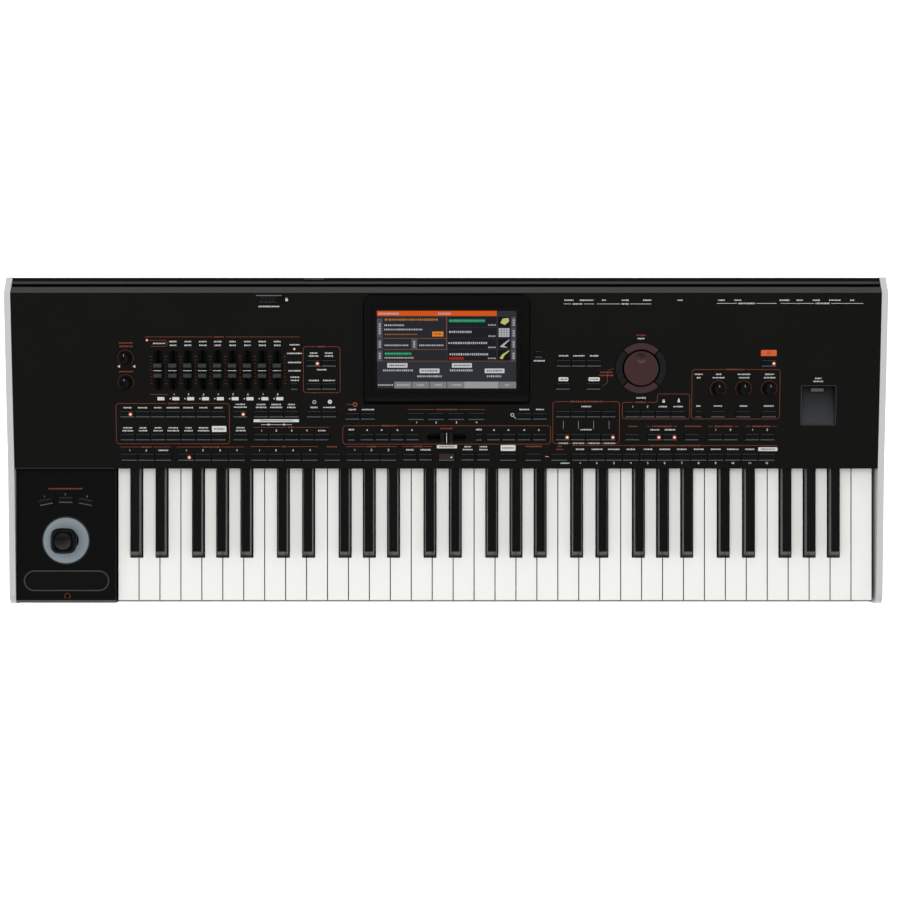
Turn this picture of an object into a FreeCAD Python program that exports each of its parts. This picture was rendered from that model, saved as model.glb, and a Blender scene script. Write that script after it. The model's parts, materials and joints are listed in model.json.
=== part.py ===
import FreeCAD
import Part
import math
import os

# Arranger keyboard with 61 keys, a tilting screen, sliders, knobs, a dial, a joystick and a ribbon.
# Millimetres. +X runs to the player's right, +Y to the rear, +Z up. The origin lies on the floor
# under the middle of the case. Controls are modelled flat on a level panel, with v running from the
# panel's front edge to the rear and w standing up from its face, and are then tilted into place.

Vector = FreeCAD.Vector
X_AXIS = Vector(1, 0, 0)
Y_AXIS = Vector(0, 1, 0)
Z_AXIS = Vector(0, 0, 1)

# Keys
OCTAVE_COUNT = 5
OCTAVE_WHITE_COUNT = 7
WHITE_KEY_PITCH = 23.545
KEY_GAP = 1.0
WHITE_KEY_SHOWN = 148.0
BLACK_KEY_SHOWN = 99.4
BLACK_KEY_WIDTH = 12.6
BLACK_KEY_TOP_WIDTH = 9.4
BLACK_KEY_RISE = 12.0
BLACK_KEY_RAKE = 6.5
BLACK_KEY_TUCK = 4.0
KEY_HEIGHT = 18.0
KEY_PIVOT_SETBACK = 45.0
KEY_TURN = 3.0
KEY_BOSS_WIDTH = 8.0
KEY_BOSS_RADIUS = 5.0
KEY_BOSS_NECK = 8.0
DOME_SETBACK = 32.0
PIVOT_ROD_RADIUS = 2.0
PIVOT_CLEARANCE = 0.08

# Case
CHEEK_THICKNESS = 7.0
CHEEK_PROUD = 1.0
CHEEK_FRONT_RADIUS = 12.0
CHEEK_EDGE_RADIUS = 4.0
CHEEK_FOOT_RADIUS = 6.0
LEFT_BLOCK_WIDTH = 113.2
RIGHT_KEY_GAP = 3.18
CHEEK_FRONT_OVERHANG = 1.5
KEY_FRONT_GAP = 0.7
FOOT_HEIGHT = 8.0
KEY_TOP_HEIGHT = 78.0
CASE_SHEET = 2.0
TRAY_WALL_HEIGHT = 22.0
RAIL_KEY_OVERLAP = 3.0
FOOT_RADIUS = 13.0
FOOT_TIP_RADIUS = 11.0
FOOT_INSET = 34.0

# Control panel
PANEL_SHEET = 2.0
PANEL_SLOPE = 6.5
PANEL_KEY_CLEARANCE = 2.0
LOWER_ROWS_DEPTH = 72.9
DISPLAY_REAR_MARGIN = 2.5
FIELD_LEFT_MARGIN = 120.0
FIELD_RIGHT_MARGIN = 116.0
SEAM = 0.2
RIDER_CLEARANCE = 0.45

# Rear bevel and rear panel
BEVEL_RUN = 18.5
BEVEL_DROP = 13.5
STRIP_LENGTH = 8.2
LEDGE_START = 4.5
GROOVE_LENGTH = 4.7
GROOVE_DEPTH = 2.5
RIDGE_LENGTH = 3.3
BAND_DROP = 1.2
REAR_RAIL_THICKNESS = 5.0
REAR_LIP_HEIGHT = 6.0
REAR_RECESS = 4.0
DOCK_SLOT_LENGTH = 21.0
DOCK_SLOT_DEPTH = 1.6
DOCK_SLOT_WIDTH = 2.6
DOCK_SLOT_INSET = 26.0
DOCK_COVER_LENGTH = 21.5
DOCK_COVER_WIDTH = 4.0
DOCK_COVER_HEIGHT = 1.0
DOCK_COVER_SHARE = 0.348

# Joystick panel
JOYSTICK_PANEL_RISE = 7.0
JOYSTICK_PANEL_CHAMFER = 3.0
KEY_SIDE_GAP = 1.5
JOYSTICK_X_SHARE = 0.495
JOYSTICK_SETBACK = 70.1
SWITCH_ROW_SETBACK = 115.2
SWITCH_SPREAD = 22.3
SWITCH_DROP = 2.2
SWITCH_TILT = 11.0
SWITCH_LENGTH = 15.0
SWITCH_WIDTH = 6.0
RIBBON_LENGTH = 93.0
RIBBON_WIDTH = 22.6
RIBBON_CORNER = 10.0
RIBBON_SETBACK = 24.7
RIBBON_THICKNESS = 3.0
RIBBON_DROP = 0.8

# Joystick
DISH_RADIUS = 25.4
DISH_HOLE_RADIUS = 13.0
DISH_DEPTH = 7.0
DISH_PROUD = 0.6
DISH_WALL = 1.6
STICK_RADIUS = 3.0
STICK_KNOB_WIDTH = 28.7
STICK_KNOB_CORNER = 9.5
STICK_KNOB_HEIGHT = 10.0
STICK_KNOB_LIFT = 11.0
STICK_PIVOT_DEPTH = 22.0
STICK_TAIL = 4.0
GIMBAL_INNER = 17.0
GIMBAL_WALL = 3.5
GIMBAL_HEIGHT = 6.0
TRUNNION_RADIUS = 1.6
TRUNNION_GAP = 0.6
YOKE_THICKNESS = 4.0
YOKE_WIDTH = 12.0
YOKE_BASE_THICKNESS = 3.0
YOKE_BASE_DROP = 15.0

# Push buttons
BUTTON_DEPTH = 7.0
WIDE_BUTTON_DEPTH = 7.8
BUTTON_RISE = 1.9
BUTTON_FRONT_CHAMFER = 1.1
BUTTON_REAR_CHAMFER = 0.4
BUTTON_TRAVEL = 0.8
SMALL_BUTTON_GAP = 1.3
WIDE_BUTTON_GAP = 1.5
PLAYER_BUTTON_GAP = 2.6
SET_BUTTON_GAP = 4.8
SQUARE_BUTTON_SIDE = 7.4
FLANGE_LIP = 1.2
FLANGE_THICKNESS = 1.2
STEM_SIDE = 3.6
STEM_LENGTH = 4.0
UNLOCK_GAP = 7.0

# Places along the control field's width and along the two bands of the panel, all as shares
SMALL_STEP_SHARE = 0.0232
WIDE_STEP_SHARE = 0.0260
SET_STEP_SHARE = 0.0308
PAIR_STEP_SHARE = 0.0240
EFFECT_STEP_SHARE = 0.0389
FADER_STEP_SHARE = 0.02269
FIRST_FADER_SHARE = 0.0586
VOLUME_KNOB_SHARE = 0.0086
EFFECT_KNOB_SHARE = 0.9127
DIAL_SHARE = 0.7946
DISPLAY_SHARE = 0.4982
SPEAKER_LOCK_SHARE = 0.2266
CROSSFADER_SHARE = 0.4981
BOTTOM_ROW_SHARE = 0.175
PLAYER_ROW_SHARE = 0.484
CENTRE_ROW_SHARE = 0.802
OUTER_ROW_SHARE = 0.837
WELL_ROW_SHARE = 0.981
MODE_FRONT_SHARE = 0.158
MODE_REAR_SHARE = 0.371
FADER_ROW_SHARE = 0.309
VOLUME_ROW_SHARE = 0.422
BALANCE_ROW_SHARE = 0.195
EFFECT_ROW_SHARE = 0.138
DIAL_ROW_SHARE = 0.328
UNLOCK_ROW_SHARE = 0.454

# Display
DISPLAY_WIDTH = 183.0
DISPLAY_DEPTH = 120.5
DISPLAY_CORNER = 9.0
DISPLAY_RAISE = 4.0
DISPLAY_GAP = 1.0
HINGE_DROP = 6.0
HINGE_PIN_RADIUS = 2.2
HINGE_PIN_LENGTH = 3.6
HINGE_PIN_ROOT = 4.0
HINGE_CLEARANCE = 0.08
SCREEN_WIDTH = 154.1
SCREEN_DEPTH = 85.9
SCREEN_BORDER = 5.0
SCREEN_CORNER = 3.0
SCREEN_THICKNESS = 3.0
SCREEN_DROP = 0.5
CRADLE_SIDE = 5.0
CRADLE_FRONT = 2.5
CRADLE_FLOOR = 2.0
CRADLE_CLEARANCE = 0.4

# Faders, knobs and dial
FADER_COUNT = 9
FADER_TRAVEL = 30.0
FADER_CAP_WIDTH = 9.2
FADER_CAP_LENGTH = 16.8
FADER_CAP_HEIGHT = 9.0
FADER_CAP_LIFT = 1.0
FADER_CAP_TAPER = 1.0
FADER_CAP_DISH = 1.6
FADER_LEVER_WIDTH = 2.0
FADER_LEVER_LENGTH = 6.0
FADER_LEVER_DEPTH = 8.6
FADER_SLOT_WIDTH = 3.4
FADER_SLOT_END_GAP = 4.0
FADER_BODY_WIDTH = 9.0
FADER_BODY_LENGTH = 58.0
FADER_BODY_HEIGHT = 8.0
FADER_BODY_POCKET = 5.0
CROSSFADER_CAP_WIDTH = 15.0
CROSSFADER_CAP_LENGTH = 11.4
KNOB_RADIUS = 6.6
KNOB_TOP_RADIUS = 5.6
KNOB_HEIGHT = 12.5
KNOB_LIFT = 0.8
KNOB_NOTCH_WIDTH = 1.2
KNOB_NOTCH_DEPTH = 0.8
EFFECT_KNOB_COUNT = 3
SHAFT_RADIUS = 3.0
SHAFT_SEAT_DEPTH = 3.0
SHAFT_CLEARANCE = 0.08
POT_SIDE = 12.0
POT_HEIGHT = 7.0
DIAL_RADIUS = 19.0
DIAL_RIM_HEIGHT = 4.6
DIAL_LIFT = 0.8
DIAL_DIMPLE_RADIUS = 5.5
DIAL_DIMPLE_DEPTH = 1.6
DIAL_DIMPLE_SHARE = 0.6
RING_GAP = 1.8
RING_WIDTH = 7.2
RING_RISE = 2.4
RING_SPOKE_GAP = 1.2
RING_BEZEL_WIDTH = 1.6
RING_BEZEL_RISE = 0.8
ENCODER_SIDE = 14.0
ENCODER_HEIGHT = 8.0

# Speaker lock slider
LOCK_LENGTH = 20.0
LOCK_WIDTH = 6.6
LOCK_RISE = 1.2
LOCK_TRAVEL = 8.0
LOCK_INSET = 7.2
LOCK_RIB_COUNT = 4
LOCK_RIB_WIDTH = 1.2
LOCK_RIB_HEIGHT = 0.6

# Boards under the panel
BOARD_DROP = 13.0
BOARD_SHEET = 1.6
BOARD_OVERHANG = 16.0
BOARD_FRONT_INSET = 6.0
BOARD_GAP = 4.0
BOARD_REAR_INSET = 28.0
BOARD_POST_SIDE = 5.0
TACT_SIDE = 6.0
TACT_GAP = 0.3

# Memory-stick well
WELL_WIDTH = 38.4
WELL_DEPTH = 45.0
WELL_CORNER = 3.0
WELL_WALL = 2.0
WELL_REAR_DROP = 19.0
WELL_FRONT_DROP = 4.5
WELL_RIGHT_MARGIN = 68.0
WELL_FLANGE = 4.0
PORT_WIDTH = 14.4
PORT_HEIGHT = 7.0
PORT_DEPTH = 19.0
PORT_SHELL = 0.8
PORT_TONGUE = 1.8
PORT_FLOOR_GAP = 3.0

# Keybed
KEYBED_SHEET = 2.0
KEYBED_KEY_GAP = 4.0
KEYBED_FRONT_SETBACK = 8.0
KEYBED_REAR_SETBACK = 27.0
KEYBED_SIDE_INSET = 1.0
KEYBED_FOOT = 14.0
HANGER_THICKNESS = 2.0
HANGER_DEPTH = 12.0
GUIDE_WIDTH = 6.0
GUIDE_THICKNESS = 1.6
GUIDE_HEIGHT = 17.0
GUIDE_SETBACK = 24.0
GUIDE_SIDE_GAP = 0.6
GUIDE_SWING_GAP = 1.2
GUIDE_TOP_GAP = 1.0
SPRING_SHEET = 0.8
SPRING_STRIP = 7.0
SPRING_FINGER_WIDTH = 4.0
SPRING_REACH = 24.0
SPRING_GAP = 0.35
SPRING_FOOT = 5.0
CONTACT_BOARD_DEPTH = 34.0
CONTACT_SPACER = 2.0
CONTACT_SPACER_WIDTH = 4.0
DOME_SIDE = 7.0
DOME_GAP = 0.4

# Inner units
MAIN_BOARD_LENGTH = 250.0
STANDOFF_HEIGHT = 8.0
STANDOFF_SIDE = 6.0
MAIN_BOARD_REAR_GAP = 42.0
MAIN_BOARD_KEYBED_GAP = 4.25
MAIN_BOARD_X_SHARE = 0.25
CHIP_SIDE = 28.0
CHIP_HEIGHT = 3.0
CHIP_COUNT = 4
SUPPLY_LENGTH = 120.0
SUPPLY_HEIGHT = 36.0
SUPPLY_REAR_GAP = 46.0
SUPPLY_KEYBED_GAP = 14.25
SUPPLY_X_SHARE = -0.40
SUPPLY_SHEET = 1.2
COIL_SIDE = 26.0

# Sockets
JACK_BORE_RADIUS = 3.25
JACK_BARREL_RADIUS = 4.8
JACK_NUT_RADIUS = 7.5
JACK_NUT_HEIGHT = 2.6
JACK_BODY_SIDE = 15.0
JACK_BODY_DEPTH = 30.0
JACK_BORE_DEPTH = 30.0
JACK_ROW_HEIGHT = 46.0
DIN_RADIUS = 9.0
DIN_CUP_RADIUS = 7.0
DIN_CUP_DEPTH = 9.0
DIN_BODY_SIDE = 21.0
DIN_BODY_DEPTH = 14.0
VIDEO_LENGTH = 26.0
VIDEO_HEIGHT = 9.0
VIDEO_WALL = 1.5
VIDEO_CUP_DEPTH = 8.0
VIDEO_BODY_DEPTH = 14.0
MIC_RADIUS = 12.0
MIC_CUP_RADIUS = 9.5
MIC_CUP_DEPTH = 18.0
MIC_BODY_SIDE = 26.0
MIC_BODY_DEPTH = 26.0
INLET_LENGTH = 28.0
INLET_HEIGHT = 20.0
INLET_WALL = 2.0
INLET_CUP_DEPTH = 16.0
INLET_BODY_DEPTH = 20.0
INLET_PRONG_LENGTH = 10.0
INLET_PRONG_SIDE = 2.0
INLET_PRONG_STEP = 7.0
SOCKET_CLEARANCE = 0.1
PHONES_HEIGHT = 36.0
PHONES_X_SHARE = 0.536
JACK_SHARES = (0.142, 0.162, 0.315, 0.335, 0.355, 0.375, 0.397, 0.418)
DIN_SHARES = (0.184, 0.210, 0.236)
VIDEO_SHARE = 0.271
MIC_SHARE = 0.463
INLET_SHARE = -0.44

# Screws
SCREW_RADIUS = 1.8
SCREW_CLEARANCE = 0.2
SCREW_HEAD_RADIUS = 3.6
SCREW_HEAD_HEIGHT = 2.0
SCREW_TAIL = 4.0
CHEEK_SCREW_LIFT = 12.0
CHEEK_SCREW_SHARES = (-0.40, 0.0, 0.40)
BASE_SCREW_SHARES = (0.06, 0.35, 0.65, 0.94)

# Every cut runs this far past what it cuts
OVERRUN = 2.0

# Case widths and places across
WHITE_KEYS = OCTAVE_COUNT * OCTAVE_WHITE_COUNT + 1
OCTAVE_WIDTH = OCTAVE_WHITE_COUNT * WHITE_KEY_PITCH
KEYS_WIDTH = WHITE_KEYS * WHITE_KEY_PITCH
INNER_WIDTH = LEFT_BLOCK_WIDTH + KEYS_WIDTH + RIGHT_KEY_GAP
CASE_WIDTH = INNER_WIDTH + 2 * CHEEK_THICKNESS
INNER_RIGHT = INNER_WIDTH / 2
INNER_LEFT = -INNER_RIGHT
KEYS_LEFT = INNER_LEFT + LEFT_BLOCK_WIDTH
KEYS_RIGHT = KEYS_LEFT + KEYS_WIDTH
FIELD_LEFT = INNER_LEFT + FIELD_LEFT_MARGIN
FIELD_WIDTH = INNER_WIDTH - FIELD_LEFT_MARGIN - FIELD_RIGHT_MARGIN

# Panel lengths along its slope, and case depths
SLOPE_COS = math.cos(math.radians(PANEL_SLOPE))
SLOPE_SIN = math.sin(math.radians(PANEL_SLOPE))
PANEL_LENGTH = LOWER_ROWS_DEPTH + DISPLAY_DEPTH + DISPLAY_REAR_MARGIN
PANEL_RUN = PANEL_LENGTH * SLOPE_COS
CASE_DEPTH = CHEEK_FRONT_OVERHANG + CASE_SHEET + KEY_FRONT_GAP + WHITE_KEY_SHOWN + PANEL_RUN + BEVEL_RUN
FRONT_Y = -CASE_DEPTH / 2
REAR_Y = CASE_DEPTH / 2
RAIL_Y = FRONT_Y + CHEEK_FRONT_OVERHANG
TRAY_FRONT_Y = RAIL_Y + CASE_SHEET
KEY_FRONT_Y = TRAY_FRONT_Y + KEY_FRONT_GAP
PANEL_FRONT_Y = KEY_FRONT_Y + WHITE_KEY_SHOWN
CREST_Y = PANEL_FRONT_Y + PANEL_RUN
REAR_FACE_Y = REAR_Y - REAR_RECESS
TRAY_REAR_Y = REAR_FACE_Y - CASE_SHEET

# Heights
BASE_Z = FOOT_HEIGHT
FLOOR_Z = BASE_Z + CASE_SHEET
KEY_TOP_Z = BASE_Z + KEY_TOP_HEIGHT
KEY_BOTTOM_Z = KEY_TOP_Z - KEY_HEIGHT
RAIL_TOP_Z = KEY_BOTTOM_Z + RAIL_KEY_OVERLAP
JOYSTICK_PANEL_Z = KEY_TOP_Z + JOYSTICK_PANEL_RISE
PANEL_FRONT_Z = KEY_TOP_Z + BLACK_KEY_RISE + PANEL_KEY_CLEARANCE + PANEL_SHEET
CREST_Z = PANEL_FRONT_Z + PANEL_LENGTH * SLOPE_SIN
REAR_TOP_Z = CREST_Z - BEVEL_DROP

# Key pivot
PIVOT_Y = PANEL_FRONT_Y + KEY_PIVOT_SETBACK
PIVOT_Z = KEY_BOTTOM_Z + KEY_HEIGHT / 2
PIVOT_BORE_RADIUS = PIVOT_ROD_RADIUS + PIVOT_CLEARANCE
KEY_TURN_SIN = math.sin(math.radians(KEY_TURN))
KEY_TAIL_END_Y = PIVOT_Y - KEY_BOSS_NECK
BLACK_FRONT_Y = PANEL_FRONT_Y - BLACK_KEY_SHOWN
BLACK_SLOT = BLACK_KEY_WIDTH + 2 * KEY_GAP
DOME_Y = PANEL_FRONT_Y - DOME_SETBACK
KEYBED_TOP_Z = KEY_BOTTOM_Z - (PIVOT_Y - KEY_FRONT_Y) * KEY_TURN_SIN - KEYBED_KEY_GAP
KEYBED_REAR_Y = PIVOT_Y + KEYBED_REAR_SETBACK

# Room between the keybed and the rear plate for the inner units
MAIN_BOARD_FRONT_Y = KEYBED_REAR_Y + MAIN_BOARD_KEYBED_GAP
MAIN_BOARD_DEPTH = TRAY_REAR_Y - MAIN_BOARD_REAR_GAP - MAIN_BOARD_FRONT_Y
SUPPLY_FRONT_Y = KEYBED_REAR_Y + SUPPLY_KEYBED_GAP
SUPPLY_DEPTH = TRAY_REAR_Y - SUPPLY_REAR_GAP - SUPPLY_FRONT_Y

# Rows along the panel's slope
DISPLAY_FRONT_V = LOWER_ROWS_DEPTH
DISPLAY_REAR_V = DISPLAY_FRONT_V + DISPLAY_DEPTH
DISPLAY_X = FIELD_LEFT + FIELD_WIDTH * DISPLAY_SHARE
BARREL_RADIUS = HINGE_DROP + DISPLAY_RAISE
HINGE_V = DISPLAY_FRONT_V + BARREL_RADIUS
BOTTOM_ROW = LOWER_ROWS_DEPTH * BOTTOM_ROW_SHARE
PLAYER_ROW = LOWER_ROWS_DEPTH * PLAYER_ROW_SHARE
CENTRE_ROW = LOWER_ROWS_DEPTH * CENTRE_ROW_SHARE
OUTER_ROW = LOWER_ROWS_DEPTH * OUTER_ROW_SHARE
MODE_FRONT_ROW = DISPLAY_FRONT_V + DISPLAY_DEPTH * MODE_FRONT_SHARE
MODE_REAR_ROW = DISPLAY_FRONT_V + DISPLAY_DEPTH * MODE_REAR_SHARE
FADER_ROW = DISPLAY_FRONT_V + DISPLAY_DEPTH * FADER_ROW_SHARE
EFFECT_ROW = DISPLAY_FRONT_V + DISPLAY_DEPTH * EFFECT_ROW_SHARE
UNLOCK_ROW = DISPLAY_FRONT_V + DISPLAY_DEPTH * UNLOCK_ROW_SHARE
LOCK_V = PANEL_LENGTH - LOCK_INSET
LOCK_X = FIELD_LEFT + FIELD_WIDTH * SPEAKER_LOCK_SHARE
UNLOCK_X = DISPLAY_X + DISPLAY_WIDTH / 2 + UNLOCK_GAP + SQUARE_BUTTON_SIDE / 2
DIAL_X = FIELD_LEFT + FIELD_WIDTH * DIAL_SHARE
DIAL_V = DISPLAY_FRONT_V + DISPLAY_DEPTH * DIAL_ROW_SHARE
RING_INNER_RADIUS = DIAL_RADIUS + RING_GAP
RING_OUTER_RADIUS = RING_INNER_RADIUS + RING_WIDTH
RING_HOLE_RADIUS = RING_OUTER_RADIUS + RIDER_CLEARANCE
WELL_X = INNER_RIGHT - WELL_RIGHT_MARGIN
WELL_V = LOWER_ROWS_DEPTH * WELL_ROW_SHARE

# Joystick places
JOYSTICK_RIGHT = KEYS_LEFT - KEY_SIDE_GAP
JOYSTICK_X = INNER_LEFT + LEFT_BLOCK_WIDTH * JOYSTICK_X_SHARE
JOYSTICK_Y = RAIL_Y + JOYSTICK_SETBACK
STICK_PIVOT_Z = JOYSTICK_PANEL_Z - STICK_PIVOT_DEPTH

# Button run: node, kind, row, share of the first centre, share between centres, count
BUTTON_RUN_SHARES = (
    ("style_buttons", "small", OUTER_ROW, 0.0102, SMALL_STEP_SHARE, 7),
    ("style_buttons", "small", PLAYER_ROW, 0.0102, SMALL_STEP_SHARE, 7),
    ("style_buttons", "small", OUTER_ROW, 0.1828, SMALL_STEP_SHARE, 1),
    ("style_buttons", "small", PLAYER_ROW, 0.1828, SMALL_STEP_SHARE, 1),
    ("style_buttons", "small", OUTER_ROW, 0.2144, SMALL_STEP_SHARE, 3),
    ("style_buttons", "small", PLAYER_ROW, 0.2144, SMALL_STEP_SHARE, 5),
    ("style_buttons", "small", OUTER_ROW, 0.2954, SMALL_STEP_SHARE, 2),
    ("style_buttons", "small", MODE_FRONT_ROW, 0.2954, SMALL_STEP_SHARE, 2),
    ("style_buttons", "small", MODE_REAR_ROW, 0.2954, SMALL_STEP_SHARE, 2),
    ("style_buttons", "square", MODE_FRONT_ROW, 0.2655, SMALL_STEP_SHARE, 1),
    ("player_buttons", "small", CENTRE_ROW, 0.3540, PAIR_STEP_SHARE, 2),
    ("player_buttons", "set", CENTRE_ROW, 0.4514, SET_STEP_SHARE, 4),
    ("player_buttons", "small", CENTRE_ROW, 0.6168, PAIR_STEP_SHARE, 2),
    ("player_buttons", "square", PLAYER_ROW, 0.3523, SMALL_STEP_SHARE, 1),
    ("player_buttons", "player", PLAYER_ROW, 0.3760, SMALL_STEP_SHARE, 4),
    ("player_buttons", "square", PLAYER_ROW, 0.5475, SMALL_STEP_SHARE, 1),
    ("player_buttons", "player", PLAYER_ROW, 0.5701, SMALL_STEP_SHARE, 4),
    ("keyboard_buttons", "small", MODE_REAR_ROW, 0.6765, SMALL_STEP_SHARE, 3),
    ("keyboard_buttons", "small", MODE_FRONT_ROW, 0.6757, SMALL_STEP_SHARE, 1),
    ("keyboard_buttons", "small", MODE_FRONT_ROW, 0.7221, SMALL_STEP_SHARE, 1),
    ("keyboard_buttons", "small", OUTER_ROW, 0.6759, SMALL_STEP_SHARE, 4),
    ("keyboard_buttons", "small", PLAYER_ROW, 0.6759, SMALL_STEP_SHARE, 4),
    ("keyboard_buttons", "small", OUTER_ROW, 0.7822, SMALL_STEP_SHARE, 4),
    ("keyboard_buttons", "small", PLAYER_ROW, 0.7822, SMALL_STEP_SHARE, 1),
    ("keyboard_buttons", "small", PLAYER_ROW, 0.8167, SMALL_STEP_SHARE, 2),
    ("keyboard_buttons", "small", PLAYER_ROW, 0.8735, SMALL_STEP_SHARE, 1),
    ("keyboard_buttons", "small", PLAYER_ROW, 0.9095, SMALL_STEP_SHARE, 2),
    ("keyboard_buttons", "small", PLAYER_ROW, 0.9657, SMALL_STEP_SHARE, 2),
    ("keyboard_buttons", "square", OUTER_ROW, 0.8829, SMALL_STEP_SHARE, 1),
    ("keyboard_buttons", "small", OUTER_ROW, 0.9127, EFFECT_STEP_SHARE, 3),
    ("keyboard_buttons", "small", MODE_REAR_ROW, 0.9896, SMALL_STEP_SHARE, 1),
    ("arranger_buttons", "wide", BOTTOM_ROW, 0.0121, WIDE_STEP_SHARE, 3),
    ("arranger_buttons", "wide", BOTTOM_ROW, 0.0989, WIDE_STEP_SHARE, 4),
    ("arranger_buttons", "wide", BOTTOM_ROW, 0.2107, WIDE_STEP_SHARE, 4),
    ("arranger_buttons", "wide", BOTTOM_ROW, 0.3231, WIDE_STEP_SHARE, 1),
    ("arranger_buttons", "wide", BOTTOM_ROW, 0.3569, WIDE_STEP_SHARE, 3),
    ("arranger_buttons", "player", BOTTOM_ROW, 0.4416, PAIR_STEP_SHARE, 2),
    ("arranger_buttons", "wide", BOTTOM_ROW, 0.4981, WIDE_STEP_SHARE, 1),
    ("arranger_buttons", "player", BOTTOM_ROW, 0.5304, PAIR_STEP_SHARE, 2),
    ("arranger_buttons", "wide", BOTTOM_ROW, 0.5918, WIDE_STEP_SHARE, 1),
    ("arranger_buttons", "wide", BOTTOM_ROW, 0.6307, WIDE_STEP_SHARE, 1),
    ("arranger_buttons", "wide", BOTTOM_ROW, 0.6703, WIDE_STEP_SHARE, 1),
    ("arranger_buttons", "wide", BOTTOM_ROW, 0.7024, WIDE_STEP_SHARE, 12),
)

# Key names in one octave: white keys by their place, black keys by the white key on their left
WHITE_NAMES = ("c_keys", "d_keys", "e_keys", "f_keys", "g_keys", "a_keys", "b_keys")
BLACK_NAMES = {0: "c_sharp_keys", 1: "d_sharp_keys", 3: "f_sharp_keys", 4: "g_sharp_keys", 5: "a_sharp_keys"}
LOWER_WHITE_COUNT = 3

PANEL_PLACEMENT = FreeCAD.Placement(
    Vector(0, PANEL_FRONT_Y, PANEL_FRONT_Z), FreeCAD.Rotation(X_AXIS, PANEL_SLOPE)
)


def block(x0, x1, y0, y1, z0, z1):
    """A box between two corners."""
    return Part.makeBox(x1 - x0, y1 - y0, z1 - z0, Vector(x0, y0, z0))


def centred_block(x, y, length, depth, z0, z1):
    """A box centred on a point of the plan."""
    return block(x - length / 2, x + length / 2, y - depth / 2, y + depth / 2, z0, z1)


def polygon(points):
    """A face with straight sides."""
    return Part.Face(Part.makePolygon(list(points) + [points[0]]))


def prism_x(outline, x0, x1):
    """An outline of (y, z) points drawn out along X."""
    return polygon([Vector(x0, y, z) for y, z in outline]).extrude(X_AXIS * (x1 - x0))


def prism_z(outline, z0, z1):
    """An outline of (x, y) points drawn out along Z, with repeated points left out."""
    points = []
    for x, y in outline:
        point = Vector(x, y, z0)
        if not points or point.distanceToPoint(points[-1]) > 0:
            points.append(point)
    return polygon(points).extrude(Z_AXIS * (z1 - z0))


def post(x, y, radius, z0, z1):
    """An upright cylinder."""
    return Part.makeCylinder(radius, z1 - z0, Vector(x, y, z0))


def rod_x(y, z, radius, x0, x1):
    """A cylinder along X."""
    return Part.makeCylinder(radius, x1 - x0, Vector(x0, y, z), X_AXIS)


def rod_y(x, z, radius, y0, y1):
    """A cylinder along Y."""
    return Part.makeCylinder(radius, y1 - y0, Vector(x, y0, z), Y_AXIS)


def rounded_block(x, y, length, depth, radius, z0, z1):
    """A centred box whose upright edges are rounded."""
    box = centred_block(x, y, length, depth, z0, z1)
    upright = [edge for edge in box.Edges if abs(edge.tangentAt(edge.FirstParameter).z) > abs(SLOPE_SIN)]
    return box.makeFillet(radius, upright)


def sheet_prism(path, thickness, x0, x1):
    """Bent sheet along a (y, z) path, its thickness lying to the right of the path's direction."""
    inner = []
    last = len(path) - 1
    for index, (y, z) in enumerate(path):
        before = path[max(index - 1, 0)]
        after = path[min(index + 1, last)]
        here = (y, z)
        normals = []
        for start, end in ((before, here), (here, after)):
            run = math.hypot(end[0] - start[0], end[1] - start[1])
            if run > 0:
                normals.append(((end[1] - start[1]) / run, (start[0] - end[0]) / run))
        first = normals[0]
        second = normals[-1]
        fit = 1 + first[0] * second[0] + first[1] * second[1]
        shift_y = (first[0] + second[0]) / fit
        shift_z = (first[1] + second[1]) / fit
        inner.append((y + thickness * shift_y, z + thickness * shift_z))
    return prism_x(list(path) + inner[::-1], x0, x1)


def fillet_x(shape, corners):
    """Round edges along X; corners holds (y, z, radius)."""
    for y, z, radius in corners:
        edges = []
        for edge in shape.Edges:
            middle = edge.CenterOfMass
            along_x = abs(edge.tangentAt(edge.FirstParameter).x) > SLOPE_COS
            if along_x and math.hypot(middle.y - y, middle.z - z) < radius * SLOPE_SIN:
                edges.append(edge)
        shape = shape.makeFillet(radius, edges)
    return shape


def on_panel(shape):
    """Tilt a shape from the level panel frame onto the control panel."""
    placed = shape.copy()
    placed.Placement = PANEL_PLACEMENT.multiply(placed.Placement)
    return placed


def field_x(share):
    """Place across the control field."""
    return FIELD_LEFT + FIELD_WIDTH * share


def bevel_point(along, height):
    """Point on the rear bevel: distance down from the crest, and height over the bevel."""
    length = math.hypot(BEVEL_RUN, BEVEL_DROP)
    run = BEVEL_RUN / length
    drop = BEVEL_DROP / length
    return (CREST_Y + along * run + height * drop, CREST_Z - along * drop + height * run)


def socket_x(share):
    """Place across the rear panel."""
    return INNER_WIDTH * share


def black_centre(index):
    """Centre of the black key after a white key, from the left end of its octave."""
    low_tail = WHITE_KEY_PITCH - BLACK_SLOT * 2 / 3
    high_tail = WHITE_KEY_PITCH - BLACK_SLOT * 3 / 4
    if index < LOWER_WHITE_COUNT:
        return low_tail * (index + 1) + BLACK_SLOT * (index + 0.5)
    step = index - LOWER_WHITE_COUNT
    return WHITE_KEY_PITCH * LOWER_WHITE_COUNT + high_tail * (step + 1) + BLACK_SLOT * (step + 0.5)


def white_tail(index, full):
    """Left and right side of a white key's tail, from the left end of its octave."""
    left = index * WHITE_KEY_PITCH + KEY_GAP / 2
    right = (index + 1) * WHITE_KEY_PITCH - KEY_GAP / 2
    if index - 1 in BLACK_NAMES:
        left = black_centre(index - 1) + BLACK_SLOT / 2
    if index in BLACK_NAMES and not full:
        right = black_centre(index) - BLACK_SLOT / 2
    return left, right


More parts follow.
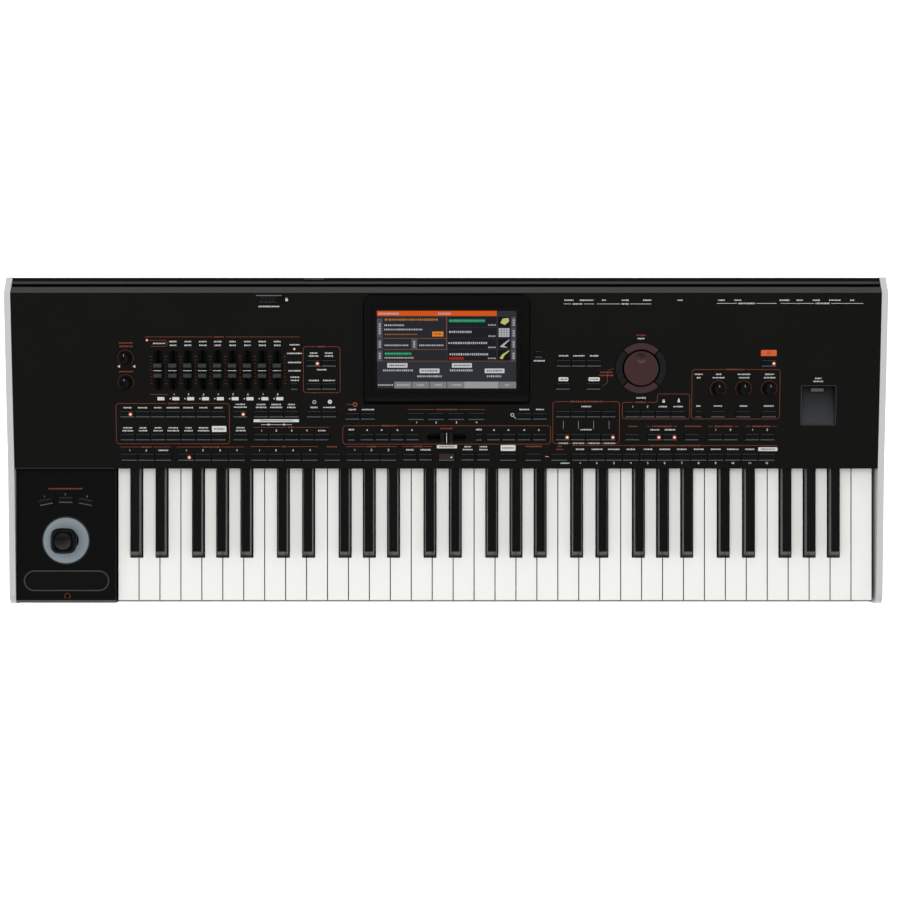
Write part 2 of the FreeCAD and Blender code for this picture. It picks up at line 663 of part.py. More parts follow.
def key_places():
    """Every key as (node, is black, octave start, index in octave, is the full last key)."""
    places = []
    for number in range(WHITE_KEYS):
        octave, index = divmod(number, OCTAVE_WHITE_COUNT)
        start = KEYS_LEFT + octave * OCTAVE_WIDTH
        full = number == WHITE_KEYS - 1
        places.append((WHITE_NAMES[index], False, start, index, full))
        if index in BLACK_NAMES and not full:
            places.append((BLACK_NAMES[index], True, start, index, full))
    return places


def key_centre(place):
    """Middle of a key's tail, where its boss, spring and dome stand."""
    _, is_black, start, index, full = place
    if is_black:
        return start + black_centre(index)
    left, right = white_tail(index, full)
    return start + (left + right) / 2


def key_boss(x):
    """Rear boss of a key with its pivot bore."""
    boss = block(
        x - KEY_BOSS_WIDTH / 2,
        x + KEY_BOSS_WIDTH / 2,
        KEY_TAIL_END_Y,
        PIVOT_Y + KEY_BOSS_RADIUS,
        PIVOT_Z - KEY_BOSS_RADIUS,
        PIVOT_Z + KEY_BOSS_RADIUS,
    )
    return boss.cut(rod_x(PIVOT_Y, PIVOT_Z, PIVOT_BORE_RADIUS, x - KEY_BOSS_WIDTH, x + KEY_BOSS_WIDTH))


def guide_place(place):
    """Place of a key's guide."""
    _, is_black, start, index, _ = place
    if is_black:
        return key_centre(place), BLACK_FRONT_Y + GUIDE_SETBACK
    return start + (index + 0.5) * WHITE_KEY_PITCH, KEY_FRONT_Y + GUIDE_SETBACK


def guide_slot(place):
    """Slot in a key's underside for its guide, deep enough for the whole stroke."""
    x, y = guide_place(place)
    wide = GUIDE_WIDTH + 2 * GUIDE_SIDE_GAP
    deep = GUIDE_THICKNESS + 2 * GUIDE_SWING_GAP
    top = KEYBED_TOP_Z + GUIDE_HEIGHT + (PIVOT_Y - y) * KEY_TURN_SIN + GUIDE_TOP_GAP
    return centred_block(x, y, wide, deep, KEY_BOTTOM_Z - OVERRUN, top)


def white_key(place):
    """White key: notched bar with a guide slot and a pivot boss."""
    _, _, start, index, full = place
    head_left = start + index * WHITE_KEY_PITCH + KEY_GAP / 2
    head_right = start + (index + 1) * WHITE_KEY_PITCH - KEY_GAP / 2
    left, right = white_tail(index, full)
    notch_y = BLACK_FRONT_Y - KEY_GAP
    head = block(head_left, head_right, KEY_FRONT_Y, notch_y, KEY_BOTTOM_Z, KEY_TOP_Z)
    tail = block(start + left, start + right, notch_y, KEY_TAIL_END_Y, KEY_BOTTOM_Z, KEY_TOP_Z)
    bar = head.multiFuse([tail, key_boss(key_centre(place))]).removeSplitter()
    return bar.cut(guide_slot(place)).Solids[0]


def black_key(place):
    """Black key: bar with a tapered cap and a raked front, a guide slot and a pivot boss."""
    x = key_centre(place)
    half = BLACK_KEY_WIDTH / 2
    top_half = BLACK_KEY_TOP_WIDTH / 2
    cap_end = PANEL_FRONT_Y + BLACK_KEY_TUCK
    bar = block(x - half, x + half, BLACK_FRONT_Y, KEY_TAIL_END_Y, KEY_BOTTOM_Z, KEY_TOP_Z)

    def rim(side, front, z):
        corners = ((x - side, front), (x + side, front), (x + side, cap_end), (x - side, cap_end))
        points = [Vector(px, py, z) for px, py in corners]
        return Part.makePolygon(points + [points[0]])

    low = rim(half, BLACK_FRONT_Y, KEY_TOP_Z)
    high = rim(top_half, BLACK_FRONT_Y + BLACK_KEY_RAKE, KEY_TOP_Z + BLACK_KEY_RISE)
    cap = Part.makeLoft([low, high], True, True)
    return bar.multiFuse([cap, key_boss(x)]).removeSplitter().cut(guide_slot(place)).Solids[0]


def keys():
    """The 61 keys, grouped by their place in the octave."""
    groups = {}
    for place in key_places():
        key = black_key(place) if place[1] else white_key(place)
        groups.setdefault(place[0], []).append(key)
    return groups


def keybed_frame():
    """Folded steel frame with rod hangers and key guides, and the pivot rod."""
    left = KEYS_LEFT - HANGER_THICKNESS / 2
    right = KEYS_RIGHT + HANGER_THICKNESS / 2
    front = KEY_FRONT_Y + KEYBED_FRONT_SETBACK
    rear = KEYBED_REAR_Y
    under = KEYBED_TOP_Z - KEYBED_SHEET
    foot_top = FLOOR_Z + KEYBED_SHEET
    pieces = [
        block(left, right, front, front + KEYBED_SHEET, FLOOR_Z, under),
        block(left, right, rear - KEYBED_SHEET, rear, FLOOR_Z, under),
        block(left, right, front, front + KEYBED_FOOT, FLOOR_Z, foot_top),
        block(left, right, rear - KEYBED_FOOT, rear, FLOOR_Z, foot_top),
    ]
    hanger_top = PIVOT_Z + KEY_BOSS_RADIUS
    marks = [KEYS_LEFT + octave * OCTAVE_WIDTH for octave in range(OCTAVE_COUNT + 1)] + [KEYS_RIGHT]
    for x in marks:
        pieces.append(centred_block(x, PIVOT_Y, HANGER_THICKNESS, HANGER_DEPTH, KEYBED_TOP_Z, hanger_top))
    for place in key_places():
        x, y = guide_place(place)
        top = KEYBED_TOP_Z + GUIDE_HEIGHT
        pieces.append(centred_block(x, y, GUIDE_WIDTH, GUIDE_THICKNESS, KEYBED_TOP_Z, top))
    frame = block(left, right, front, rear, under, KEYBED_TOP_Z).multiFuse(pieces).removeSplitter()
    holes = [rod_x(PIVOT_Y, PIVOT_Z, PIVOT_BORE_RADIUS, left - OVERRUN, right + OVERRUN)]
    for x, y in base_screw_places():
        holes.append(post(x, y, SCREW_RADIUS + SCREW_CLEARANCE, BASE_Z, foot_top + OVERRUN))
    rod = rod_x(PIVOT_Y, PIVOT_Z, PIVOT_ROD_RADIUS, left, right)
    return frame.cut(holes).Solids + [rod]


def base_screw_places():
    """Screws through the base into the keybed's two feet."""
    front = KEY_FRONT_Y + KEYBED_FRONT_SETBACK + KEYBED_FOOT / 2
    rear = KEYBED_REAR_Y - KEYBED_FOOT / 2
    return [(KEYS_LEFT + KEYS_WIDTH * share, y) for y in (front, rear) for share in BASE_SCREW_SHARES]


def key_springs():
    """Comb of leaf springs whose fingers reach under the keys, on a foot along the frame's rear."""
    rear = KEYBED_REAR_Y
    strip_front = rear - SPRING_STRIP
    tip_y = PIVOT_Y - SPRING_REACH
    tip_z = KEY_BOTTOM_Z - SPRING_REACH * KEY_TURN_SIN - SPRING_GAP
    strip_z = KEYBED_TOP_Z + SPRING_FOOT
    left = KEYS_LEFT + KEYBED_SIDE_INSET
    right = KEYS_RIGHT - KEYBED_SIDE_INSET
    comb = block(left, right, strip_front, rear, KEYBED_TOP_Z, strip_z)
    outline = (
        (tip_y, tip_z),
        (tip_y, tip_z - SPRING_SHEET),
        (strip_front, strip_z - SPRING_SHEET),
        (strip_front, strip_z),
    )
    half = SPRING_FINGER_WIDTH / 2
    centres = [key_centre(place) for place in key_places()]
    fingers = [prism_x(outline, x - half, x + half) for x in centres]
    return [comb.multiFuse(fingers).removeSplitter().Solids[0]]


def contact_board():
    """Circuit board on two spacers, with a rubber dome under every key."""
    left = KEYS_LEFT + KEYBED_SIDE_INSET
    right = KEYS_RIGHT - KEYBED_SIDE_INSET
    low = KEYBED_TOP_Z + CONTACT_SPACER
    high = low + BOARD_SHEET
    front = DOME_Y - CONTACT_BOARD_DEPTH / 2
    rear = DOME_Y + CONTACT_BOARD_DEPTH / 2
    dome_top = KEY_BOTTOM_Z - (PIVOT_Y - DOME_Y) * KEY_TURN_SIN - DOME_GAP
    board = block(left, right, front, rear, low, high)
    spacers = [
        block(left, right, front, front + CONTACT_SPACER_WIDTH, KEYBED_TOP_Z, low),
        block(left, right, rear - CONTACT_SPACER_WIDTH, rear, KEYBED_TOP_Z, low),
    ]
    domes = [
        centred_block(key_centre(place), DOME_Y, DOME_SIDE, DOME_SIDE, high, dome_top)
        for place in key_places()
    ]
    return [board] + spacers + domes


def cheek(x0, x1, outer_x):
    """End cheek with a rounded profile and counterbored screw holes."""
    front_top = JOYSTICK_PANEL_Z + CHEEK_PROUD
    crest_top = CREST_Z + CHEEK_PROUD
    rear_top = REAR_TOP_Z + CHEEK_PROUD
    outline = (
        (FRONT_Y, BASE_Z),
        (FRONT_Y, front_top),
        (PANEL_FRONT_Y, PANEL_FRONT_Z + CHEEK_PROUD),
        (CREST_Y, crest_top),
        (REAR_Y, rear_top),
        (REAR_Y, BASE_Z),
    )
    body = prism_x(outline, x0, x1)
    body = fillet_x(
        body,
        (
            (FRONT_Y, front_top, CHEEK_FRONT_RADIUS),
            (CREST_Y, crest_top, CHEEK_EDGE_RADIUS),
            (REAR_Y, rear_top, CHEEK_EDGE_RADIUS),
            (FRONT_Y, BASE_Z, CHEEK_FOOT_RADIUS),
            (REAR_Y, BASE_Z, CHEEK_FOOT_RADIUS),
        ),
    )
    holes = []
    depth = SCREW_HEAD_HEIGHT + SCREW_CLEARANCE
    for y, z in cheek_screw_places():
        holes.append(rod_x(y, z, SCREW_RADIUS + SCREW_CLEARANCE, x0 - OVERRUN, x1 + OVERRUN))
        bore = SCREW_HEAD_RADIUS + SCREW_CLEARANCE
        holes.append(rod_x(y, z, bore, outer_x - depth, outer_x + depth))
    return body.cut(holes).Solids


def cheek_screw_places():
    """Screws through each cheek into the tray's side wall."""
    return [(CASE_DEPTH * share, BASE_Z + CHEEK_SCREW_LIFT) for share in CHEEK_SCREW_SHARES]


def bottom_case():
    """Steel tray with low walls and screw holes."""
    top = BASE_Z + TRAY_WALL_HEIGHT
    tray = block(INNER_LEFT, INNER_RIGHT, TRAY_FRONT_Y, TRAY_REAR_Y, BASE_Z, top)
    inside = block(
        INNER_LEFT + CASE_SHEET,
        INNER_RIGHT - CASE_SHEET,
        TRAY_FRONT_Y + CASE_SHEET,
        TRAY_REAR_Y - CASE_SHEET,
        FLOOR_Z,
        top + OVERRUN,
    )
    cuts = [inside]
    bore = SCREW_RADIUS + SCREW_CLEARANCE
    for y, z in cheek_screw_places():
        cuts.append(rod_x(y, z, bore, INNER_LEFT - OVERRUN, INNER_RIGHT + OVERRUN))
    for x, y in base_screw_places():
        cuts.append(post(x, y, bore, BASE_Z - OVERRUN, FLOOR_Z + OVERRUN))
    return tray.cut(cuts).Solids


def case_screws():
    """Screws of the cheeks and the base."""
    screws = []
    tail = CHEEK_THICKNESS + CASE_SHEET + SCREW_TAIL
    half = CASE_WIDTH / 2
    for y, z in cheek_screw_places():
        for side in (-1, 1):
            inward = X_AXIS * -side
            start = Vector(side * half, y, z)
            head = Part.makeCylinder(SCREW_HEAD_RADIUS, SCREW_HEAD_HEIGHT, start, inward)
            shank = Part.makeCylinder(SCREW_RADIUS, tail, start, inward)
            screws.append(head.fuse(shank).removeSplitter().Solids[0])
    tip = FLOOR_Z + KEYBED_SHEET + SCREW_TAIL
    for x, y in base_screw_places():
        head = post(x, y, SCREW_HEAD_RADIUS, BASE_Z - SCREW_HEAD_HEIGHT, BASE_Z)
        shank = post(x, y, SCREW_RADIUS, BASE_Z - SCREW_HEAD_HEIGHT, tip)
        screws.append(head.fuse(shank).removeSplitter().Solids[0])
    return screws


def rubber_feet():
    """Tapered feet under the corners and the middle of the tray."""
    feet = []
    for x in (INNER_LEFT + FOOT_INSET, 0, INNER_RIGHT - FOOT_INSET):
        for y in (TRAY_FRONT_Y + FOOT_INSET, TRAY_REAR_Y - FOOT_INSET):
            feet.append(Part.makeCone(FOOT_TIP_RADIUS, FOOT_RADIUS, FOOT_HEIGHT, Vector(x, y, 0)))
    return feet


def front_rail():
    """Plate across the front, under the key fronts, with the phones socket's hole."""
    rail = block(INNER_LEFT, INNER_RIGHT, RAIL_Y, TRAY_FRONT_Y, BASE_Z, RAIL_TOP_Z)
    x, z = phones_place()
    hole = rod_y(x, z, JACK_BARREL_RADIUS + SOCKET_CLEARANCE, RAIL_Y - OVERRUN, TRAY_FRONT_Y + OVERRUN)
    return rail.cut(hole).Solids


def phones_place():
    """Place of the headphone socket on the front rail."""
    return INNER_LEFT + LEFT_BLOCK_WIDTH * PHONES_X_SHARE, BASE_Z + PHONES_HEIGHT


def rear_panel():
    """Rear plate with a lipped rail, a dock groove with two slots, and socket holes."""
    ridge_start = STRIP_LENGTH + SEAM + GROOVE_LENGTH
    ridge_end = ridge_start + RIDGE_LENGTH
    bevel = math.hypot(BEVEL_RUN, BEVEL_DROP)
    lip_y, lip_z = bevel_point(bevel, -BAND_DROP)
    inner_y = REAR_FACE_Y - CASE_SHEET
    upper = bevel_point(LEDGE_START, -REAR_RAIL_THICKNESS)
    lower = bevel_point(bevel, -REAR_RAIL_THICKNESS)
    share = (inner_y - upper[0]) / (lower[0] - upper[0])
    inner_z = upper[1] + (lower[1] - upper[1]) * share
    outline = (
        bevel_point(LEDGE_START, -PANEL_SHEET),
        bevel_point(STRIP_LENGTH + SEAM, -PANEL_SHEET),
        bevel_point(STRIP_LENGTH + SEAM, -GROOVE_DEPTH),
        bevel_point(ridge_start, -GROOVE_DEPTH),
        bevel_point(ridge_start, 0),
        bevel_point(ridge_end, 0),
        bevel_point(ridge_end, -BAND_DROP),
        (lip_y, lip_z),
        (lip_y, lip_z - REAR_LIP_HEIGHT),
        (REAR_FACE_Y, lip_z - REAR_LIP_HEIGHT),
        (REAR_FACE_Y, BASE_Z),
        (inner_y, BASE_Z),
        (inner_y, inner_z),
        upper,
    )
    panel = prism_x(outline, INNER_LEFT, INNER_RIGHT)
    cuts = []
    middle = STRIP_LENGTH + SEAM + GROOVE_LENGTH / 2
    near = middle - DOCK_SLOT_WIDTH / 2
    far = middle + DOCK_SLOT_WIDTH / 2
    slot = (
        bevel_point(near, 0),
        bevel_point(far, 0),
        bevel_point(far, -GROOVE_DEPTH - DOCK_SLOT_DEPTH),
        bevel_point(near, -GROOVE_DEPTH - DOCK_SLOT_DEPTH),
    )
    for side in (-1, 1):
        x = side * (INNER_RIGHT - DOCK_SLOT_INSET)
        cuts.append(prism_x(slot, x - DOCK_SLOT_LENGTH / 2, x + DOCK_SLOT_LENGTH / 2))
    front = inner_y - OVERRUN
    rear = REAR_FACE_Y + OVERRUN
    z = BASE_Z + JACK_ROW_HEIGHT
    for share in JACK_SHARES:
        cuts.append(rod_y(socket_x(share), z, JACK_BARREL_RADIUS + SOCKET_CLEARANCE, front, rear))
    for share in DIN_SHARES:
        cuts.append(rod_y(socket_x(share), z, DIN_RADIUS + SOCKET_CLEARANCE, front, rear))
    cuts.append(rod_y(socket_x(MIC_SHARE), z, MIC_RADIUS + SOCKET_CLEARANCE, front, rear))
    for share, length, height in rectangular_sockets():
        x = socket_x(share)
        wide = length / 2 + SOCKET_CLEARANCE
        tall = height / 2 + SOCKET_CLEARANCE
        cuts.append(block(x - wide, x + wide, front, rear, z - tall, z + tall))
    return panel.cut(cuts).Solids


def rectangular_sockets():
    """Share across the rear, length and height of the video and mains sockets."""
    return ((VIDEO_SHARE, VIDEO_LENGTH, VIDEO_HEIGHT), (INLET_SHARE, INLET_LENGTH, INLET_HEIGHT))


def round_socket(x, z, radius, cup_radius, cup_depth, side, depth):
    """Rear socket: a round nose flush with the rear plate, a square body and a round cup."""
    inner = REAR_FACE_Y - CASE_SHEET
    nose = rod_y(x, z, radius, inner, REAR_FACE_Y)
    body = block(x - side / 2, x + side / 2, inner - depth, inner, z - side / 2, z + side / 2)
    cup = rod_y(x, z, cup_radius, REAR_FACE_Y - cup_depth, REAR_FACE_Y + OVERRUN)
    return body.fuse(nose).cut(cup).removeSplitter().Solids[0]


def box_socket(x, z, length, height, wall, cup_depth, depth):
    """Rear socket: a rectangular nose flush with the rear plate, a larger body and a cup."""
    inner = REAR_FACE_Y - CASE_SHEET
    wide = length / 2
    tall = height / 2
    nose = block(x - wide, x + wide, inner, REAR_FACE_Y, z - tall, z + tall)
    body = block(x - wide - wall, x + wide + wall, inner - depth, inner, z - tall - wall, z + tall + wall)
    cup = block(
        x - wide + wall,
        x + wide - wall,
        REAR_FACE_Y - cup_depth,
        REAR_FACE_Y + OVERRUN,
        z - tall + wall,
        z + tall - wall,
    )
    return body.fuse(nose).cut(cup).removeSplitter().Solids[0]


def rear_sockets():
    """Jacks, round data sockets, video and microphone sockets, mains inlet, phones socket and dock cover."""
    z = BASE_Z + JACK_ROW_HEIGHT
    solids = []
    for share in JACK_SHARES:
        x = socket_x(share)
        jack = round_socket(
            x, z, JACK_BARREL_RADIUS, JACK_BORE_RADIUS, JACK_BORE_DEPTH, JACK_BODY_SIDE, JACK_BODY_DEPTH
        )
        nut = rod_y(x, z, JACK_NUT_RADIUS, REAR_FACE_Y, REAR_FACE_Y + JACK_NUT_HEIGHT)
        bore = rod_y(x, z, JACK_BORE_RADIUS, REAR_FACE_Y, REAR_FACE_Y + JACK_NUT_HEIGHT + OVERRUN)
        solids.append(jack.fuse(nut.cut(bore)).removeSplitter().Solids[0])
    for share in DIN_SHARES:
        x = socket_x(share)
        solids.append(
            round_socket(x, z, DIN_RADIUS, DIN_CUP_RADIUS, DIN_CUP_DEPTH, DIN_BODY_SIDE, DIN_BODY_DEPTH)
        )
    x = socket_x(MIC_SHARE)
    solids.append(
        round_socket(x, z, MIC_RADIUS, MIC_CUP_RADIUS, MIC_CUP_DEPTH, MIC_BODY_SIDE, MIC_BODY_DEPTH)
    )
    x = socket_x(VIDEO_SHARE)
    solids.append(
        box_socket(x, z, VIDEO_LENGTH, VIDEO_HEIGHT, VIDEO_WALL, VIDEO_CUP_DEPTH, VIDEO_BODY_DEPTH)
    )
    solids.append(mains_inlet(z))
    solids.append(phones_socket())
    solids.append(dock_cover())
    return solids


def mains_inlet(z):
    """Mains inlet with three prongs standing in its cup."""
    x = socket_x(INLET_SHARE)
    inlet = box_socket(x, z, INLET_LENGTH, INLET_HEIGHT, INLET_WALL, INLET_CUP_DEPTH, INLET_BODY_DEPTH)
    back = REAR_FACE_Y - INLET_CUP_DEPTH
    half = INLET_PRONG_SIDE / 2
    prongs = []
    for step in (-1, 0, 1):
        px = x + step * INLET_PRONG_STEP
        prongs.append(block(px - half, px + half, back, back + INLET_PRONG_LENGTH, z - half, z + half))
    return inlet.multiFuse(prongs).removeSplitter().Solids[0]


def phones_socket():
    """Headphone socket behind the front rail."""
    x, z = phones_place()
    half = JACK_BODY_SIDE / 2
    end = TRAY_FRONT_Y + JACK_BODY_DEPTH
    nose = rod_y(x, z, JACK_BARREL_RADIUS, RAIL_Y, TRAY_FRONT_Y)
    body = block(x - half, x + half, TRAY_FRONT_Y, end, z - half, z + half)
    bore = rod_y(x, z, JACK_BORE_RADIUS, RAIL_Y - OVERRUN, RAIL_Y + JACK_BORE_DEPTH)
    return body.fuse(nose).cut(bore).removeSplitter().Solids[0]


def dock_cover():
    """Small cover on the lower band of the rear bevel."""
    end = math.hypot(BEVEL_RUN, BEVEL_DROP)
    start = end - DOCK_COVER_WIDTH
    top = DOCK_COVER_HEIGHT - BAND_DROP
    outline = (
        bevel_point(start, -BAND_DROP),
        bevel_point(start, top),
        bevel_point(end - DOCK_COVER_HEIGHT, top),
        bevel_point(end, -BAND_DROP),
    )
    x = INNER_LEFT + INNER_WIDTH * DOCK_COVER_SHARE
    return prism_x(outline, x - DOCK_COVER_LENGTH / 2, x + DOCK_COVER_LENGTH / 2)


def button_sizes(kind):
    """Length along X and depth along the slope of a kind of button."""
    step_and_gap = {
        "small": (SMALL_STEP_SHARE, SMALL_BUTTON_GAP),
        "wide": (WIDE_STEP_SHARE, WIDE_BUTTON_GAP),
        "player": (SMALL_STEP_SHARE, PLAYER_BUTTON_GAP),
        "set": (SET_STEP_SHARE, SET_BUTTON_GAP),
    }
    if kind == "square":
        return SQUARE_BUTTON_SIDE, SQUARE_BUTTON_SIDE
    step_share, gap = step_and_gap[kind]
    depth = WIDE_BUTTON_DEPTH if kind in ("wide", "set") else BUTTON_DEPTH
    return FIELD_WIDTH * step_share - gap, depth


def button_places():
    """Every panel button as (node, x, v, length, depth)."""
    places = []
    for node, kind, row, first, step_share, count in BUTTON_RUN_SHARES:
        length, depth = button_sizes(kind)
        for index in range(count):
            places.append((node, field_x(first + step_share * index), row, length, depth))
    places.append(("display_unlock_button", UNLOCK_X, UNLOCK_ROW, SQUARE_BUTTON_SIDE, SQUARE_BUTTON_SIDE))
    return places


def flange_levels():
    """Top and bottom of a button's flange under the sheet."""
    top = -PANEL_SHEET - RIDER_CLEARANCE
    return top, top - FLANGE_THICKNESS


def button(x, v, length, depth):
    """Push button: chamfered cap, retaining flange and stem."""
    half = depth / 2
    flange_top, flange_bottom = flange_levels()
    outer = half + FLANGE_LIP
    outline = (
        (v - outer, flange_bottom),
        (v - outer, flange_top),
        (v - half, flange_top),
        (v - half, BUTTON_RISE - BUTTON_FRONT_CHAMFER),
        (v - half + BUTTON_FRONT_CHAMFER, BUTTON_RISE),
        (v + half - BUTTON_REAR_CHAMFER, BUTTON_RISE),
        (v + half, BUTTON_RISE - BUTTON_REAR_CHAMFER),
        (v + half, flange_top),
        (v + outer, flange_top),
        (v + outer, flange_bottom),
    )
    cap = prism_x(outline, x - length / 2, x + length / 2)
    stem = centred_block(x, v, STEM_SIDE, STEM_SIDE, flange_bottom - STEM_LENGTH, flange_bottom)
    return cap.fuse(stem).removeSplitter().Solids[0]


def button_cutout(x, v, length, depth):
    """Hole in the sheet for one button."""
    wide = length + 2 * RIDER_CLEARANCE
    deep = depth + 2 * RIDER_CLEARANCE
    return centred_block(x, v, wide, deep, -PANEL_SHEET - OVERRUN, OVERRUN)


def panel_buttons():
    """All buttons of the control panel, grouped by section."""
    groups = {}
    for node, x, v, length, depth in button_places():
        groups.setdefault(node, []).append(on_panel(button(x, v, length, depth)))
    return groups


def arrow_buttons():
    """Four ring segments round the dial, each with a flange and a stem."""
    flange_top, flange_bottom = flange_levels()
    reach = RING_OUTER_RADIUS + FLANGE_LIP
    cap = post(DIAL_X, DIAL_V, RING_OUTER_RADIUS, flange_top, RING_RISE)
    flange = post(DIAL_X, DIAL_V, reach, flange_bottom, flange_top)
    hollow = post(DIAL_X, DIAL_V, RING_INNER_RADIUS, flange_bottom - OVERRUN, RING_RISE + OVERRUN)
    cuts = [hollow]
    for angle in (45, 135):
        low = flange_bottom - OVERRUN
        gap = centred_block(0, 0, RING_SPOKE_GAP, 2 * reach + OVERRUN, low, RING_RISE + OVERRUN)
        gap.rotate(Vector(0, 0, 0), Z_AXIS, angle)
        gap.translate(Vector(DIAL_X, DIAL_V, 0))
        cuts.append(gap)
    segments = cap.fuse(flange).removeSplitter().cut(cuts).Solids
    middle = (RING_INNER_RADIUS + RING_OUTER_RADIUS) / 2
    finished = []
    for segment in segments:
        away = Vector(segment.CenterOfMass.x - DIAL_X, segment.CenterOfMass.y - DIAL_V, 0).normalize()
        x = DIAL_X + away.x * middle
        v = DIAL_V + away.y * middle
        stem = centred_block(x, v, STEM_SIDE, STEM_SIDE, flange_bottom - STEM_LENGTH, flange_bottom)
        finished.append(on_panel(segment.fuse(stem).removeSplitter().Solids[0]))
    return finished


def arrow_stem_places():
    """Places of the four arrow switches under the ring."""
    middle = (RING_INNER_RADIUS + RING_OUTER_RADIUS) / 2
    return [
        (DIAL_X + middle, DIAL_V),
        (DIAL_X - middle, DIAL_V),
        (DIAL_X, DIAL_V + middle),
        (DIAL_X, DIAL_V - middle),
    ]


def value_dial():
    """Turning dial with a finger dimple, on a shaft that seats in its encoder."""
    disc = post(DIAL_X, DIAL_V, DIAL_RADIUS, DIAL_LIFT, DIAL_RIM_HEIGHT)
    shaft = post(DIAL_X, DIAL_V, SHAFT_RADIUS, -BOARD_DROP + ENCODER_HEIGHT - SHAFT_SEAT_DEPTH, DIAL_LIFT)
    reach = (DIAL_DIMPLE_RADIUS ** 2 + DIAL_DIMPLE_DEPTH ** 2) / (2 * DIAL_DIMPLE_DEPTH)
    dimple_v = DIAL_V + DIAL_RADIUS * DIAL_DIMPLE_SHARE
    dimple = Part.makeSphere(reach, Vector(DIAL_X, dimple_v, DIAL_RIM_HEIGHT - DIAL_DIMPLE_DEPTH + reach))
    return [on_panel(disc.fuse(shaft).removeSplitter().cut(dimple).Solids[0])]


def knob_places():
    """Every knob as (node, x, v)."""
    left = field_x(VOLUME_KNOB_SHARE)
    places = [
        ("volume_knob", left, DISPLAY_FRONT_V + DISPLAY_DEPTH * VOLUME_ROW_SHARE),
        ("balance_knob", left, DISPLAY_FRONT_V + DISPLAY_DEPTH * BALANCE_ROW_SHARE),
    ]
    for index in range(EFFECT_KNOB_COUNT):
        x = field_x(EFFECT_KNOB_SHARE + EFFECT_STEP_SHARE * index)
        places.append(("effect_knob_%d" % (index + 1), x, EFFECT_ROW))
    return places


def knobs():
    """Tapered knobs with a pointer notch, each on a shaft."""
    nodes = {}
    for node, x, v in knob_places():
        top = KNOB_LIFT + KNOB_HEIGHT
        body = Part.makeCone(KNOB_RADIUS, KNOB_TOP_RADIUS, KNOB_HEIGHT, Vector(x, v, KNOB_LIFT))
        shaft = post(x, v, SHAFT_RADIUS, -BOARD_DROP + POT_HEIGHT - SHAFT_SEAT_DEPTH, KNOB_LIFT)
        half = KNOB_NOTCH_WIDTH / 2
        notch = block(x - half, x + half, v, v + KNOB_RADIUS, top - KNOB_NOTCH_DEPTH, top + OVERRUN)
        nodes[node] = [on_panel(body.fuse(shaft).removeSplitter().cut(notch).Solids[0])]
    return nodes


def fader_places():
    """Every channel fader as (node, x)."""
    return [
        ("fader_%d" % (index + 1), field_x(FIRST_FADER_SHARE + FADER_STEP_SHARE * index))
        for index in range(FADER_COUNT)
    ]


def fader_cap(width, length):
    """Fader cap at the level frame's origin, dished across its middle, with its lever."""
    half = length / 2
    top = FADER_CAP_LIFT + FADER_CAP_HEIGHT
    outline = (
        (-half, FADER_CAP_LIFT),
        (-half + FADER_CAP_TAPER, top),
        (-half / 2, top),
        (0, top - FADER_CAP_DISH),
        (half / 2, top),
        (half - FADER_CAP_TAPER, top),
        (half, FADER_CAP_LIFT),
    )
    cap = prism_x(outline, -width / 2, width / 2)
    lever = centred_block(0, 0, FADER_LEVER_WIDTH, FADER_LEVER_LENGTH, -FADER_LEVER_DEPTH, FADER_CAP_LIFT)
    return cap.fuse(lever).removeSplitter().Solids[0]


def faders():
    """Nine channel faders and the crossfader, which lies across."""
    nodes = {}
    for node, x in fader_places():
        cap = fader_cap(FADER_CAP_WIDTH, FADER_CAP_LENGTH)
        cap.translate(Vector(x, FADER_ROW, 0))
        nodes[node] = [on_panel(cap)]
    cap = fader_cap(CROSSFADER_CAP_LENGTH, CROSSFADER_CAP_WIDTH)
    cap.rotate(Vector(0, 0, 0), Z_AXIS, 90)
    cap.translate(Vector(field_x(CROSSFADER_SHARE), PLAYER_ROW, 0))
    nodes["crossfader"] = [on_panel(cap)]
    return nodes


def fader_slot_length():
    """Slot length: the lever, its travel and room at both ends."""
    return FADER_TRAVEL + FADER_LEVER_LENGTH + 2 * FADER_SLOT_END_GAP


def speaker_lock_slider():
    """Ribbed slider in a slot near the panel's rear edge, held by a flange under the sheet."""
    flange_top, flange_bottom = flange_levels()
    plate = centred_block(LOCK_X, LOCK_V, LOCK_LENGTH, LOCK_WIDTH, flange_top, LOCK_RISE)
    parts = [centred_block(LOCK_X, LOCK_V - FLANGE_LIP, LOCK_LENGTH, LOCK_WIDTH, flange_bottom, flange_top)]
    step = LOCK_LENGTH / (LOCK_RIB_COUNT + 1)
    for index in range(LOCK_RIB_COUNT):
        x = LOCK_X - LOCK_LENGTH / 2 + step * (index + 1)
        rib_top = LOCK_RISE + LOCK_RIB_HEIGHT
        parts.append(centred_block(x, LOCK_V, LOCK_RIB_WIDTH, LOCK_WIDTH, LOCK_RISE, rib_top))
    return [on_panel(plate.multiFuse(parts).removeSplitter().Solids[0])]


